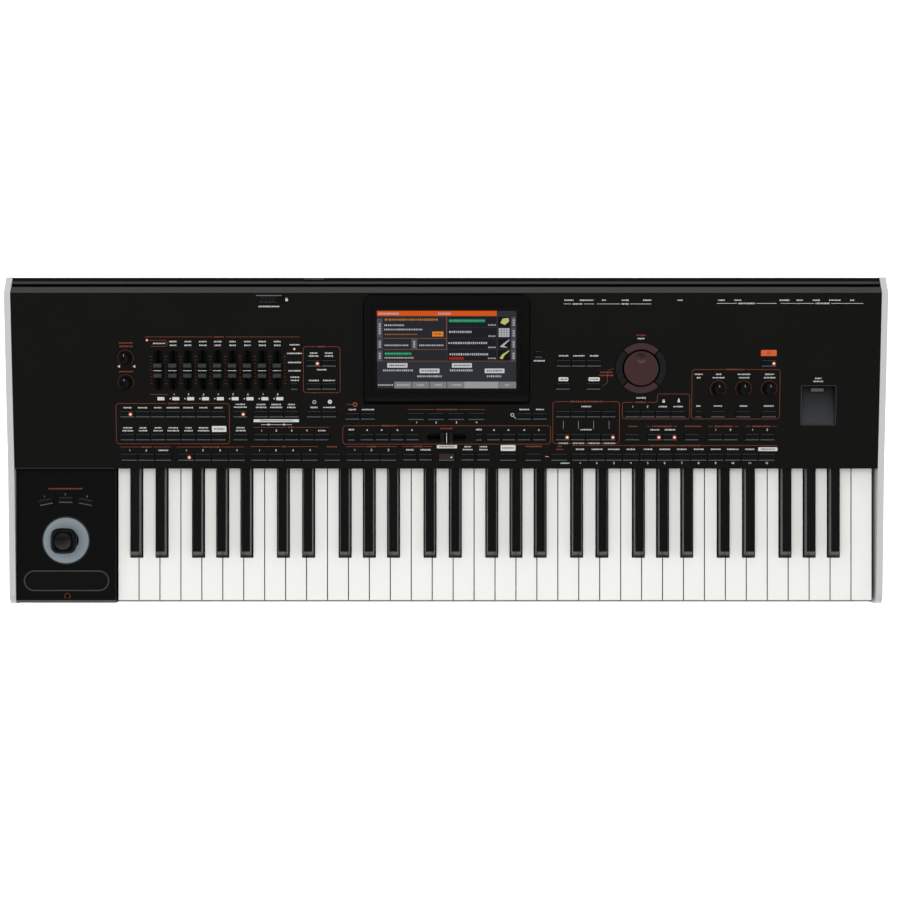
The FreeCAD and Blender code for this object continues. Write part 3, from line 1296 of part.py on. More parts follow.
def control_panel():
    """Sloped sheet with a bent rear strip, cut out for every control, with a bezel round the dial."""
    path = (
        (PANEL_FRONT_Y, PANEL_FRONT_Z),
        (CREST_Y, CREST_Z),
        bevel_point(STRIP_LENGTH, 0),
    )
    sheet = sheet_prism(path, PANEL_SHEET, INNER_LEFT, INNER_RIGHT)
    bezel = post(DIAL_X, DIAL_V, RING_HOLE_RADIUS + RING_BEZEL_WIDTH, 0, RING_BEZEL_RISE)
    sheet = sheet.fuse(on_panel(bezel))
    low = -PANEL_SHEET - OVERRUN
    cuts = [button_cutout(x, v, length, depth) for _, x, v, length, depth in button_places()]
    slot = fader_slot_length()
    for _, x in fader_places():
        cuts.append(centred_block(x, FADER_ROW, FADER_SLOT_WIDTH, slot, low, OVERRUN))
    cuts.append(centred_block(field_x(CROSSFADER_SHARE), PLAYER_ROW, slot, FADER_SLOT_WIDTH, low, OVERRUN))
    for _, x, v in knob_places():
        cuts.append(post(x, v, SHAFT_RADIUS + RIDER_CLEARANCE, low, OVERRUN))
    cuts.append(post(DIAL_X, DIAL_V, RING_HOLE_RADIUS, low, OVERRUN))
    lock_length = LOCK_LENGTH + LOCK_TRAVEL + 2 * RIDER_CLEARANCE
    lock_width = LOCK_WIDTH + 2 * RIDER_CLEARANCE
    cuts.append(centred_block(LOCK_X + LOCK_TRAVEL / 2, LOCK_V, lock_length, lock_width, low, OVERRUN))
    middle = (DISPLAY_FRONT_V + DISPLAY_REAR_V) / 2
    wide = DISPLAY_WIDTH + 2 * DISPLAY_GAP
    deep = DISPLAY_DEPTH + 2 * DISPLAY_GAP
    cuts.append(centred_block(DISPLAY_X, middle, wide, deep, low, OVERRUN))
    cuts.append(rounded_block(WELL_X, WELL_V, WELL_WIDTH, WELL_DEPTH, WELL_CORNER, low, OVERRUN))
    return sheet.cut([on_panel(cut) for cut in cuts]).removeSplitter().Solids


def display_housing():
    """Display shell with a half-round front edge about its hinge, hinge pins and a screen pocket."""
    middle = (DISPLAY_FRONT_V + DISPLAY_REAR_V) / 2
    low = -HINGE_DROP - BARREL_RADIUS
    plan = rounded_block(DISPLAY_X, middle, DISPLAY_WIDTH, DISPLAY_DEPTH, DISPLAY_CORNER, low, DISPLAY_RAISE)
    left = DISPLAY_X - DISPLAY_WIDTH / 2
    right = DISPLAY_X + DISPLAY_WIDTH / 2
    barrel = rod_x(HINGE_V, -HINGE_DROP, BARREL_RADIUS, left, right)
    slab = block(left, right, HINGE_V, DISPLAY_REAR_V, low, DISPLAY_RAISE)
    shell = plan.common(slab.fuse(barrel).removeSplitter())
    pocket = rounded_block(
        DISPLAY_X,
        middle,
        SCREEN_WIDTH + 2 * SCREEN_BORDER,
        SCREEN_DEPTH + 2 * SCREEN_BORDER,
        SCREEN_CORNER,
        DISPLAY_RAISE - SCREEN_DROP - SCREEN_THICKNESS,
        DISPLAY_RAISE + OVERRUN,
    )
    reach = DISPLAY_GAP + HINGE_PIN_LENGTH
    pins = [
        rod_x(HINGE_V, -HINGE_DROP, HINGE_PIN_RADIUS, left - reach, left + HINGE_PIN_ROOT),
        rod_x(HINGE_V, -HINGE_DROP, HINGE_PIN_RADIUS, right - HINGE_PIN_ROOT, right + reach),
    ]
    return [on_panel(shell.cut(pocket).multiFuse(pins).removeSplitter().Solids[0])]


def display_screen():
    """Screen plate in the housing's pocket."""
    middle = (DISPLAY_FRONT_V + DISPLAY_REAR_V) / 2
    top = DISPLAY_RAISE - SCREEN_DROP
    wide = SCREEN_WIDTH + 2 * SCREEN_BORDER - 2 * SEAM
    deep = SCREEN_DEPTH + 2 * SCREEN_BORDER - 2 * SEAM
    plate = rounded_block(DISPLAY_X, middle, wide, deep, SCREEN_CORNER, top - SCREEN_THICKNESS, top)
    return [on_panel(plate)]


def display_cradle():
    """Tray under the display, open at the rear, with bores for the hinge pins."""
    half = DISPLAY_WIDTH / 2 + DISPLAY_GAP
    floor = -HINGE_DROP - BARREL_RADIUS - CRADLE_CLEARANCE
    left = DISPLAY_X - half
    right = DISPLAY_X + half
    front = DISPLAY_FRONT_V - DISPLAY_GAP
    tray = block(
        left - CRADLE_SIDE,
        right + CRADLE_SIDE,
        front - CRADLE_FRONT,
        DISPLAY_REAR_V,
        floor - CRADLE_FLOOR,
        -PANEL_SHEET,
    )
    inside = block(left, right, front, DISPLAY_REAR_V + OVERRUN, floor, OVERRUN)
    reach = HINGE_PIN_LENGTH + SEAM
    bore = rod_x(HINGE_V, -HINGE_DROP, HINGE_PIN_RADIUS + HINGE_CLEARANCE, left - reach, right + reach)
    return [on_panel(tray.cut([inside, bore]).removeSplitter().Solids[0])]


def panel_board():
    """Circuit boards hung from the panel on posts, with key switches, slide pots, rotary pots and encoder."""
    top = -BOARD_DROP
    low = top - BOARD_SHEET
    left = FIELD_LEFT - BOARD_OVERHANG
    right = FIELD_LEFT + FIELD_WIDTH + BOARD_OVERHANG
    cradle = DISPLAY_WIDTH / 2 + DISPLAY_GAP + CRADLE_SIDE
    split = LOWER_ROWS_DEPTH - DISPLAY_GAP - CRADLE_FRONT
    rear = DISPLAY_REAR_V - BOARD_REAR_INSET
    boards = (
        (left, right, BOARD_FRONT_INSET, split - BOARD_GAP),
        (left, DISPLAY_X - cradle - BOARD_GAP, split, rear),
        (DISPLAY_X + cradle + BOARD_GAP, right, split, rear),
    )
    solids = []
    for x0, x1, v0, v1 in boards:
        solids.append(block(x0, x1, v0, v1, low, top))
        inset = BOARD_POST_SIDE / 2
        for x in (x0 + inset, x1 - inset):
            for v in (v0 + inset, v1 - inset):
                solids.append(centred_block(x, v, BOARD_POST_SIDE, BOARD_POST_SIDE, top, -PANEL_SHEET))
    _, flange_bottom = flange_levels()
    tact_top = flange_bottom - STEM_LENGTH - BUTTON_TRAVEL - TACT_GAP
    switches = [(x, v) for _, x, v, _, _ in button_places()] + arrow_stem_places()
    for x, v in switches:
        solids.append(centred_block(x, v, TACT_SIDE, TACT_SIDE, top, tact_top))
    pocket_length = fader_slot_length()
    pot_top = top + FADER_BODY_HEIGHT
    pocket_floor = pot_top - FADER_BODY_POCKET
    for _, x in fader_places():
        body = centred_block(x, FADER_ROW, FADER_BODY_WIDTH, FADER_BODY_LENGTH, top, pot_top)
        pocket = centred_block(x, FADER_ROW, FADER_SLOT_WIDTH, pocket_length, pocket_floor, OVERRUN)
        solids.append(body.cut(pocket).Solids[0])
    x = field_x(CROSSFADER_SHARE)
    body = centred_block(x, PLAYER_ROW, FADER_BODY_LENGTH, FADER_BODY_WIDTH, top, pot_top)
    pocket = centred_block(x, PLAYER_ROW, pocket_length, FADER_SLOT_WIDTH, pocket_floor, OVERRUN)
    solids.append(body.cut(pocket).Solids[0])
    turners = [(x, v, POT_SIDE, POT_HEIGHT) for _, x, v in knob_places()]
    turners.append((DIAL_X, DIAL_V, ENCODER_SIDE, ENCODER_HEIGHT))
    for x, v, side, height in turners:
        body = centred_block(x, v, side, side, top, top + height)
        seat = post(x, v, SHAFT_RADIUS + SHAFT_CLEARANCE, top + height - SHAFT_SEAT_DEPTH - SEAM, OVERRUN)
        solids.append(body.cut(seat).Solids[0])
    return [on_panel(solid) for solid in solids]


def usb_well():
    """Sloping well in the panel with a memory-stick port in its rear wall."""
    wide = WELL_WIDTH / 2
    deep = WELL_DEPTH / 2
    front = WELL_V - deep
    rear = WELL_V + deep
    outer_wide = wide + WELL_FLANGE
    outline = (
        (front - WELL_FLANGE, -PANEL_SHEET),
        (front - WELL_FLANGE, -WELL_FRONT_DROP - WELL_WALL),
        (rear + WELL_WALL, -WELL_REAR_DROP - WELL_WALL),
        (rear + WELL_WALL, -PANEL_SHEET),
    )
    shell = prism_x(outline, WELL_X - outer_wide, WELL_X + outer_wide)
    space = (
        (front, OVERRUN),
        (front, -WELL_FRONT_DROP),
        (rear, -WELL_REAR_DROP),
        (rear, OVERRUN),
    )
    hollow = prism_x(space, WELL_X - wide, WELL_X + wide)
    port_low = -WELL_REAR_DROP + PORT_FLOOR_GAP
    port_high = port_low + PORT_HEIGHT
    hole = centred_block(WELL_X, rear, PORT_WIDTH, 2 * WELL_WALL + OVERRUN, port_low, port_high)
    port_half = PORT_WIDTH / 2
    port = block(WELL_X - port_half, WELL_X + port_half, rear, rear + PORT_DEPTH, port_low, port_high)
    mouth = block(
        WELL_X - port_half + PORT_SHELL,
        WELL_X + port_half - PORT_SHELL,
        rear - OVERRUN,
        rear + PORT_DEPTH - PORT_SHELL,
        port_low + PORT_SHELL,
        port_high - PORT_SHELL,
    )
    tongue = block(
        WELL_X - port_half + PORT_SHELL,
        WELL_X + port_half - PORT_SHELL,
        rear + PORT_SHELL,
        rear + PORT_DEPTH,
        port_high - PORT_SHELL - PORT_TONGUE,
        port_high - PORT_SHELL,
    )
    well = shell.cut([hollow, hole]).removeSplitter().Solids[0]
    return [on_panel(well), on_panel(port.cut(mouth).fuse(tongue).removeSplitter().Solids[0])]


def joystick_panel():
    """Folded cover over the joystick block, with a right-hand wall beside the keys."""
    panel_under = PANEL_FRONT_Z - PANEL_SHEET / SLOPE_COS - SEAM
    path = (
        (RAIL_Y, RAIL_TOP_Z),
        (RAIL_Y, JOYSTICK_PANEL_Z - JOYSTICK_PANEL_CHAMFER),
        (RAIL_Y + JOYSTICK_PANEL_CHAMFER, JOYSTICK_PANEL_Z),
        (PANEL_FRONT_Y, JOYSTICK_PANEL_Z),
        (PANEL_FRONT_Y, panel_under),
    )
    cover = sheet_prism(path, PANEL_SHEET, INNER_LEFT, JOYSTICK_RIGHT)
    wall = prism_x(
        (
            (RAIL_Y, RAIL_TOP_Z),
            (RAIL_Y, JOYSTICK_PANEL_Z - JOYSTICK_PANEL_CHAMFER),
            (RAIL_Y + JOYSTICK_PANEL_CHAMFER, JOYSTICK_PANEL_Z),
            (PANEL_FRONT_Y, JOYSTICK_PANEL_Z),
            (PANEL_FRONT_Y, RAIL_TOP_Z),
        ),
        JOYSTICK_RIGHT - PANEL_SHEET,
        JOYSTICK_RIGHT,
    )
    low = JOYSTICK_PANEL_Z - PANEL_SHEET - OVERRUN
    high = JOYSTICK_PANEL_Z + OVERRUN
    cuts = [post(JOYSTICK_X, JOYSTICK_Y, DISH_RADIUS + SEAM, low, high)]
    y = RAIL_Y + RIBBON_SETBACK
    cuts.append(rounded_block(JOYSTICK_X, y, RIBBON_LENGTH, RIBBON_WIDTH, RIBBON_CORNER, low, high))
    for placement in switch_placements():
        cut = button_cutout(0, 0, SWITCH_LENGTH, SWITCH_WIDTH)
        cut.Placement = placement.multiply(cut.Placement)
        cuts.append(cut)
    return cover.fuse(wall).cut(cuts).removeSplitter().Solids


def switch_placements():
    """Places of the three assignable switches, the outer two turned towards the joystick."""
    placements = []
    for side in (-1, 0, 1):
        y = RAIL_Y + SWITCH_ROW_SETBACK - SWITCH_DROP * abs(side)
        spot = Vector(JOYSTICK_X + side * SWITCH_SPREAD, y, JOYSTICK_PANEL_Z)
        placements.append(FreeCAD.Placement(spot, FreeCAD.Rotation(Z_AXIS, -SWITCH_TILT * side)))
    return placements


def assign_switches():
    """Three assignable push switches on the joystick panel."""
    solids = []
    for placement in switch_placements():
        switch = button(0, 0, SWITCH_LENGTH, SWITCH_WIDTH)
        switch.Placement = placement.multiply(switch.Placement)
        solids.append(switch)
    return solids


def ribbon_strip():
    """Touch ribbon set a little below the joystick panel, on a wider backing plate."""
    y = RAIL_Y + RIBBON_SETBACK
    top = JOYSTICK_PANEL_Z - RIBBON_DROP
    under = JOYSTICK_PANEL_Z - PANEL_SHEET
    length = RIBBON_LENGTH - 2 * SEAM
    width = RIBBON_WIDTH - 2 * SEAM
    strip = rounded_block(JOYSTICK_X, y, length, width, RIBBON_CORNER - SEAM, under, top)
    back = rounded_block(
        JOYSTICK_X,
        y,
        RIBBON_LENGTH + 2 * FLANGE_LIP,
        RIBBON_WIDTH + 2 * FLANGE_LIP,
        RIBBON_CORNER + FLANGE_LIP,
        under - RIBBON_THICKNESS,
        under,
    )
    return [strip.fuse(back).removeSplitter().Solids[0]]


def joystick_base():
    """Dished ring in the panel, and the yoke below it that carries the gimbal."""
    rim = JOYSTICK_PANEL_Z + DISH_PROUD
    floor = rim - DISH_DEPTH
    under = JOYSTICK_PANEL_Z - PANEL_SHEET
    flange = post(JOYSTICK_X, JOYSTICK_Y, DISH_RADIUS + 2 * FLANGE_LIP, under - DISH_WALL, under)
    ring = post(JOYSTICK_X, JOYSTICK_Y, DISH_RADIUS, floor - DISH_WALL, rim)
    funnel = Part.makeCone(DISH_HOLE_RADIUS, DISH_RADIUS, DISH_DEPTH, Vector(JOYSTICK_X, JOYSTICK_Y, floor))
    hole = post(JOYSTICK_X, JOYSTICK_Y, DISH_HOLE_RADIUS, floor - DISH_WALL - OVERRUN, rim)
    dish = ring.fuse(flange).removeSplitter().cut([funnel, hole])
    gimbal_half = GIMBAL_INNER / 2 + GIMBAL_WALL
    wall_start = gimbal_half + TRUNNION_GAP
    wall_end = wall_start + YOKE_THICKNESS
    base_top = STICK_PIVOT_Z - YOKE_BASE_DROP
    base_low = base_top - YOKE_BASE_THICKNESS
    yoke = [centred_block(JOYSTICK_X, JOYSTICK_Y, YOKE_WIDTH, 2 * wall_end, base_low, base_top)]
    dish_under = floor - DISH_WALL
    for side in (-1, 1):
        y = JOYSTICK_Y + side * (wall_start + wall_end) / 2
        yoke.append(centred_block(JOYSTICK_X, y, YOKE_WIDTH, YOKE_THICKNESS, base_top, dish_under))
    bore = rod_y(
        JOYSTICK_X,
        STICK_PIVOT_Z,
        TRUNNION_RADIUS + PIVOT_CLEARANCE,
        JOYSTICK_Y - wall_end - OVERRUN,
        JOYSTICK_Y + wall_end + OVERRUN,
    )
    frame = yoke[0].multiFuse(yoke[1:]).removeSplitter().cut(bore)
    return [dish.fuse(frame).removeSplitter().Solids[0]]


def joystick_gimbal():
    """Square ring that tilts left and right on two pins in the yoke."""
    low = STICK_PIVOT_Z - GIMBAL_HEIGHT / 2
    high = STICK_PIVOT_Z + GIMBAL_HEIGHT / 2
    outer = GIMBAL_INNER + 2 * GIMBAL_WALL
    ring = centred_block(JOYSTICK_X, JOYSTICK_Y, outer, outer, low, high)
    inside = centred_block(JOYSTICK_X, JOYSTICK_Y, GIMBAL_INNER, GIMBAL_INNER, low - OVERRUN, high + OVERRUN)
    bore = rod_x(
        JOYSTICK_Y,
        STICK_PIVOT_Z,
        TRUNNION_RADIUS + PIVOT_CLEARANCE,
        JOYSTICK_X - outer,
        JOYSTICK_X + outer,
    )
    reach = outer / 2 + TRUNNION_GAP + YOKE_THICKNESS
    root = GIMBAL_INNER / 2
    pins = [
        rod_y(JOYSTICK_X, STICK_PIVOT_Z, TRUNNION_RADIUS, JOYSTICK_Y - reach, JOYSTICK_Y - root),
        rod_y(JOYSTICK_X, STICK_PIVOT_Z, TRUNNION_RADIUS, JOYSTICK_Y + root, JOYSTICK_Y + reach),
    ]
    return [ring.cut([inside, bore]).multiFuse(pins).removeSplitter().Solids[0]]


def joystick_stick():
    """Stick with a rounded square knob, tilting on a cross pin in the gimbal."""
    knob_low = JOYSTICK_PANEL_Z + STICK_KNOB_LIFT
    knob_high = knob_low + STICK_KNOB_HEIGHT
    shaft = post(JOYSTICK_X, JOYSTICK_Y, STICK_RADIUS, STICK_PIVOT_Z - STICK_TAIL, knob_low)
    knob = rounded_block(
        JOYSTICK_X, JOYSTICK_Y, STICK_KNOB_WIDTH, STICK_KNOB_WIDTH, STICK_KNOB_CORNER, knob_low, knob_high
    )
    reach = GIMBAL_INNER / 2 + GIMBAL_WALL
    pin = rod_x(JOYSTICK_Y, STICK_PIVOT_Z, TRUNNION_RADIUS, JOYSTICK_X - reach, JOYSTICK_X + reach)
    return [shaft.multiFuse([knob, pin]).removeSplitter().Solids[0]]


def main_board():
    """Main circuit board on standoffs, with its larger chips."""
    x = INNER_WIDTH * MAIN_BOARD_X_SHARE
    y = MAIN_BOARD_FRONT_Y + MAIN_BOARD_DEPTH / 2
    low = FLOOR_Z + STANDOFF_HEIGHT
    high = low + BOARD_SHEET
    solids = [centred_block(x, y, MAIN_BOARD_LENGTH, MAIN_BOARD_DEPTH, low, high)]
    reach_x = (MAIN_BOARD_LENGTH - STANDOFF_SIDE) / 2
    reach_y = (MAIN_BOARD_DEPTH - STANDOFF_SIDE) / 2
    for dx in (-reach_x, 0, reach_x):
        for dy in (-reach_y, reach_y):
            solids.append(centred_block(x + dx, y + dy, STANDOFF_SIDE, STANDOFF_SIDE, FLOOR_Z, low))
    step = MAIN_BOARD_LENGTH / CHIP_COUNT
    for index in range(CHIP_COUNT):
        chip_x = x + step * (index - (CHIP_COUNT - 1) / 2)
        solids.append(centred_block(chip_x, y, CHIP_SIDE, CHIP_SIDE, high, high + CHIP_HEIGHT))
    return solids


def power_supply():
    """Mains supply: a sheet chassis on the floor with its board and coil inside."""
    x = INNER_WIDTH * SUPPLY_X_SHARE
    y = SUPPLY_FRONT_Y + SUPPLY_DEPTH / 2
    top = FLOOR_Z + SUPPLY_HEIGHT
    chassis = centred_block(x, y, SUPPLY_LENGTH, SUPPLY_DEPTH, FLOOR_Z, top)
    inside = centred_block(
        x,
        y,
        SUPPLY_LENGTH - 2 * SUPPLY_SHEET,
        SUPPLY_DEPTH + OVERRUN,
        FLOOR_Z + SUPPLY_SHEET,
        top + OVERRUN,
    )
    floor = FLOOR_Z + SUPPLY_SHEET
    board = centred_block(
        x,
        y,
        SUPPLY_LENGTH - 2 * SUPPLY_SHEET,
        SUPPLY_DEPTH,
        floor,
        floor + BOARD_SHEET,
    )
    coil_low = floor + BOARD_SHEET
    coil = centred_block(x, y, COIL_SIDE, COIL_SIDE, coil_low, coil_low + COIL_SIDE)
    return [chassis.cut(inside).Solids[0], board, coil]


def nodes():
    """Every node of the instrument with its solids."""
    half = CASE_WIDTH / 2
    made = {
        "bottom_case": bottom_case(),
        "control_panel": control_panel(),
        "rear_panel": rear_panel(),
        "left_cheek": cheek(-half, INNER_LEFT, -half),
        "right_cheek": cheek(INNER_RIGHT, half, half),
        "joystick_panel": joystick_panel(),
        "front_rail": front_rail(),
        "keybed_frame": keybed_frame(),
        "key_springs": key_springs(),
        "contact_board": contact_board(),
        "panel_board": panel_board(),
        "main_board": main_board(),
        "power_supply": power_supply(),
        "display_cradle": display_cradle(),
        "display_housing": display_housing(),
        "display_screen": display_screen(),
        "joystick_base": joystick_base(),
        "joystick_gimbal": joystick_gimbal(),
        "joystick_stick": joystick_stick(),
        "ribbon_strip": ribbon_strip(),
        "assign_switches": assign_switches(),
        "usb_well": usb_well(),
        "rear_sockets": rear_sockets(),
        "rubber_feet": rubber_feet(),
        "case_screws": case_screws(),
        "value_dial": value_dial(),
        "arrow_buttons": arrow_buttons(),
        "speaker_lock_slider": speaker_lock_slider(),
    }
    made.update(keys())
    made.update(panel_buttons())
    made.update(faders())
    made.update(knobs())
    return made


def main():
    """Write one STEP file for each node."""
    os.makedirs("parts", exist_ok=True)
    for name, solids in nodes().items():
        shape = solids[0] if len(solids) == 1 else Part.makeCompound(solids)
        shape.exportStep(os.path.join("parts", name + ".step"))


if __name__ == "__main__":
    main()
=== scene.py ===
"""Looks of a 61-key arranger keyboard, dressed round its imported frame.

Metres, in the frame's own axes: +X to the player's right, +Y to the rear, +Z up. Places that follow the
photograph are given in its pixels and are carried onto the face that they lie on.
"""

import json
import logging
import math
import random
from dataclasses import dataclass
from enum import Enum
from functools import cache
from typing import Iterable, NamedTuple, Sequence

import bmesh
import bpy
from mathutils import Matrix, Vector


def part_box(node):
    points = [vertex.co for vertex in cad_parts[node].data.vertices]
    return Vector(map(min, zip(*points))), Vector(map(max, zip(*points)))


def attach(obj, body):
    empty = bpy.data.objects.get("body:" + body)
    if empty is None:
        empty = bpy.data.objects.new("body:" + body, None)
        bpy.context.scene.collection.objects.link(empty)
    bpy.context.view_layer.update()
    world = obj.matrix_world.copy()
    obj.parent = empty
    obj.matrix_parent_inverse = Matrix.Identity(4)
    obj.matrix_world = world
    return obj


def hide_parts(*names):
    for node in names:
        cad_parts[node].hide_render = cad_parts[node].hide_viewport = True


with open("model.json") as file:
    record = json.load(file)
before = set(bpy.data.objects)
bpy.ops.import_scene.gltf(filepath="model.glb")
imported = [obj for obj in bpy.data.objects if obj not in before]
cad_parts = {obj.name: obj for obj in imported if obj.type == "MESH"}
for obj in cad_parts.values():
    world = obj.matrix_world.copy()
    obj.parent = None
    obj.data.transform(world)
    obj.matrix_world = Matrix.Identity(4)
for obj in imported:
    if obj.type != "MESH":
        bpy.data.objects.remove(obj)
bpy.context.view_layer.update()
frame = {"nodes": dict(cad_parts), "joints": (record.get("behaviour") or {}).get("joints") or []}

log = logging.getLogger("arranger_keyboard")

MM = 0.001
Colour = tuple[float, float, float]
Place = tuple[float, float]


def tone(red: int, green: int, blue: int) -> Colour:
    """A linear colour from display values.

    Args:
        red: Red, 0 to 255.
        green: Green, 0 to 255.
        blue: Blue, 0 to 255.

    Returns:
        The three linear values.
    """
    shares = (red / 255, green / 255, blue / 255)
    return tuple(s / 12.92 if s <= 0.04045 else ((s + 0.055) / 1.055) ** 2.4 for s in shares)


class Signal:
    """An output socket whose arithmetic adds Math nodes to its tree."""

    def __init__(self, bench: "Bench", socket: bpy.types.NodeSocket) -> None:
        """Keep the socket and the bench that owns its tree."""
        self.bench = bench
        self.socket = socket

    def math(self, operation: str, *terms: "Signal | float") -> "Signal":
        """Add a Math node.

        Args:
            operation: The node's operation.
            terms: What its inputs take, in order.

        Returns:
            The node's output.
        """
        return self.bench.node("ShaderNodeMath", {"operation": operation}, dict(enumerate(terms)))

    def __add__(self, other: "Signal | float") -> "Signal":
        """This plus other."""
        return self.math("ADD", self, other)

    def __radd__(self, other: float) -> "Signal":
        """Other plus this."""
        return self.math("ADD", other, self)

    def __sub__(self, other: "Signal | float") -> "Signal":
        """This less other."""
        return self.math("SUBTRACT", self, other)

    def __rsub__(self, other: float) -> "Signal":
        """Other less this."""
        return self.math("SUBTRACT", other, self)

    def __mul__(self, other: "Signal | float") -> "Signal":
        """This times other."""
        return self.math("MULTIPLY", self, other)

    def __rmul__(self, other: float) -> "Signal":
        """Other times this."""
        return self.math("MULTIPLY", other, self)

    def __truediv__(self, other: "Signal | float") -> "Signal":
        """This over other."""
        return self.math("DIVIDE", self, other)

    def __pow__(self, other: "Signal | float") -> "Signal":
        """This to a power."""
        return self.math("POWER", self, other)

    def __abs__(self) -> "Signal":
        """This without its sign."""
        return self.math("ABSOLUTE", self)

    def __gt__(self, other: "Signal | float") -> "Signal":
        """1 where this is above other, or else 0."""
        return self.math("GREATER_THAN", self, other)

    def __lt__(self, other: "Signal | float") -> "Signal":
        """1 where this is below other, or else 0."""
        return self.math("LESS_THAN", self, other)


class Bench:
    """A node tree while it is put together."""

    def __init__(self, tree: bpy.types.NodeTree) -> None:
        """Keep the tree."""
        self.tree = tree

    def node(
        self, kind: str, settings: dict | None = None, sockets: dict | None = None, output: int | str = 0
    ) -> Signal:
        """Add a node.

        Args:
            kind: The node's type.
            settings: Its own settings, with a ramp's stops under "stops".
            sockets: Values or links of its inputs, by name or number.
            output: The output that is wanted.

        Returns:
            That output.
        """
        made = self.tree.nodes.new(kind)
        for name, value in (settings or {}).items():
            if name == "stops":
                self.set_stops(made.color_ramp, value)
            else:
                setattr(made, name, value)
        for name, value in (sockets or {}).items():
            self.join(made.inputs[name], value)
        return Signal(self, made.outputs[output])

    def join(self, socket: bpy.types.NodeSocket, value: "Signal | float | Sequence[float]") -> None:
        """Link a signal to a socket, or set a value on it.

        Args:
            socket: The input.
            value: What it takes.
        """
        if isinstance(value, Signal):
            self.tree.links.new(value.socket, socket)
        elif socket.type == "RGBA":
            socket.default_value = (*value[:3], 1.0)
        else:
            socket.default_value = value

    @staticmethod
    def set_stops(ramp: bpy.types.ColorRamp, stops: Sequence[tuple[float, Colour]]) -> None:
        """Give a colour ramp its stops.

        Args:
            ramp: The ramp.
            stops: Places and colours, in order.
        """
        while len(ramp.elements) < len(stops):
            ramp.elements.new(1.0)
        for element, (place, colour) in zip(ramp.elements, stops):
            element.position = place
            element.color = (*colour, 1.0)

    def noise(self, place: Signal, scale: float, detail: float) -> Signal:
        """Noise from 0 to 1 at a scale per metre."""
        sockets = {"Vector": place, "Scale": scale, "Detail": detail}
        return self.node("ShaderNodeTexNoise", None, sockets)

    def blend(self, share: Signal, low: "Signal | Colour", high: "Signal | Colour") -> Signal:
        """A colour from low to high by a share."""
        return self.node("ShaderNodeMix", {"data_type": "RGBA"}, {0: share, 6: low, 7: high}, 2)

    def ramp(self, share: Signal, stops: Sequence[tuple[float, Colour]]) -> Signal:
        """A colour from a ramp's stops."""
        return self.node("ShaderNodeValToRGB", {"stops": stops}, {"Fac": share})

    def parts(self, place: Signal) -> tuple[Signal, Signal, Signal]:
        """The three components of a vector."""
        split = self.node("ShaderNodeSeparateXYZ", None, {0: place}).socket.node
        return tuple(Signal(self, output) for output in split.outputs)


@dataclass(frozen=True)
class Finish:
    """A surface with colour patches, a fine grain and an uneven gloss."""

    name: str
    tone: Colour
    shade: Colour
    roughness: float
    patch: float = 16.0
    stretch: Colour = (1.0, 1.0, 1.0)
    swing: float = 0.10
    grain: float = 1500.0
    relief: float = 0.02 * MM
    metallic: float = 0.0
    coat: float = 0.0
    specular: float = 0.5
    glow: float = 0.0

    PATCH_DETAIL = 4.0
    GRAIN_DETAIL = 2.0
    PATCH_SHARE = 0.7

    @cache
    def material(self) -> bpy.types.Material:
        """Make the finish's material, once.

        Returns:
            The material.
        """
        made = bpy.data.materials.new(self.name)
        made.use_nodes = True
        bench = Bench(made.node_tree)
        shader = made.node_tree.nodes["Principled BSDF"]
        place = bench.node("ShaderNodeTexCoord", output="Object")
        drawn = bench.node("ShaderNodeVectorMath", {"operation": "MULTIPLY"}, {0: place, 1: self.stretch})
        patches = bench.noise(drawn, self.patch, self.PATCH_DETAIL)
        grain = bench.noise(drawn, self.grain, self.GRAIN_DETAIL)
        colour = self.colour(bench, place, patches * self.PATCH_SHARE + grain * (1.0 - self.PATCH_SHARE))
        gloss = self.roughness + (patches - 0.5) * self.swing + (grain - 0.5) * self.swing
        bump = {"Strength": 1.0, "Distance": self.relief, "Height": self.height(bench, place, grain)}
        values = {
            "Base Color": colour,
            "Roughness": gloss,
            "Normal": bench.node("ShaderNodeBump", None, bump),
            "Metallic": self.metallic,
            "Coat Weight": self.coat,
            "Specular IOR Level": self.specular,
        }
        if self.glow:
            values.update({"Emission Color": self.light(bench, patches), "Emission Strength": self.glow})
        for name, value in values.items():
            bench.join(shader.inputs[name], value)
        return made

    def colour(self, bench: Bench, place: Signal, share: Signal) -> Signal:
        """The base colour, from the tone to its shade."""
        return bench.blend(share, self.tone, self.shade)

    def height(self, bench: Bench, place: Signal, grain: Signal) -> Signal:
        """The relief of the surface, from 0 to 1."""
        return grain

    def light(self, bench: Bench, share: Signal) -> Signal:
        """The colour that a lit surface gives off."""
        return bench.blend(share, self.tone, self.shade)


@dataclass(frozen=True)
class LampLens(Finish):
    """A small lit lens, white-hot in its middle and fading to its rim."""

    STOPS = (
        (0.0, tone(255, 246, 240)), (0.3, tone(255, 220, 206)), (0.5, tone(222, 118, 96)),
        (0.75, tone(104, 42, 32)), (1.0, tone(22, 13, 12)),
    )

    def light(self, bench: Bench, share: Signal) -> Signal:
        """Light that falls off from the lens's middle."""
        reach = bench.node("ShaderNodeAttribute", {"attribute_name": "reach"}, output="Fac")
        return bench.ramp(reach, self.STOPS)


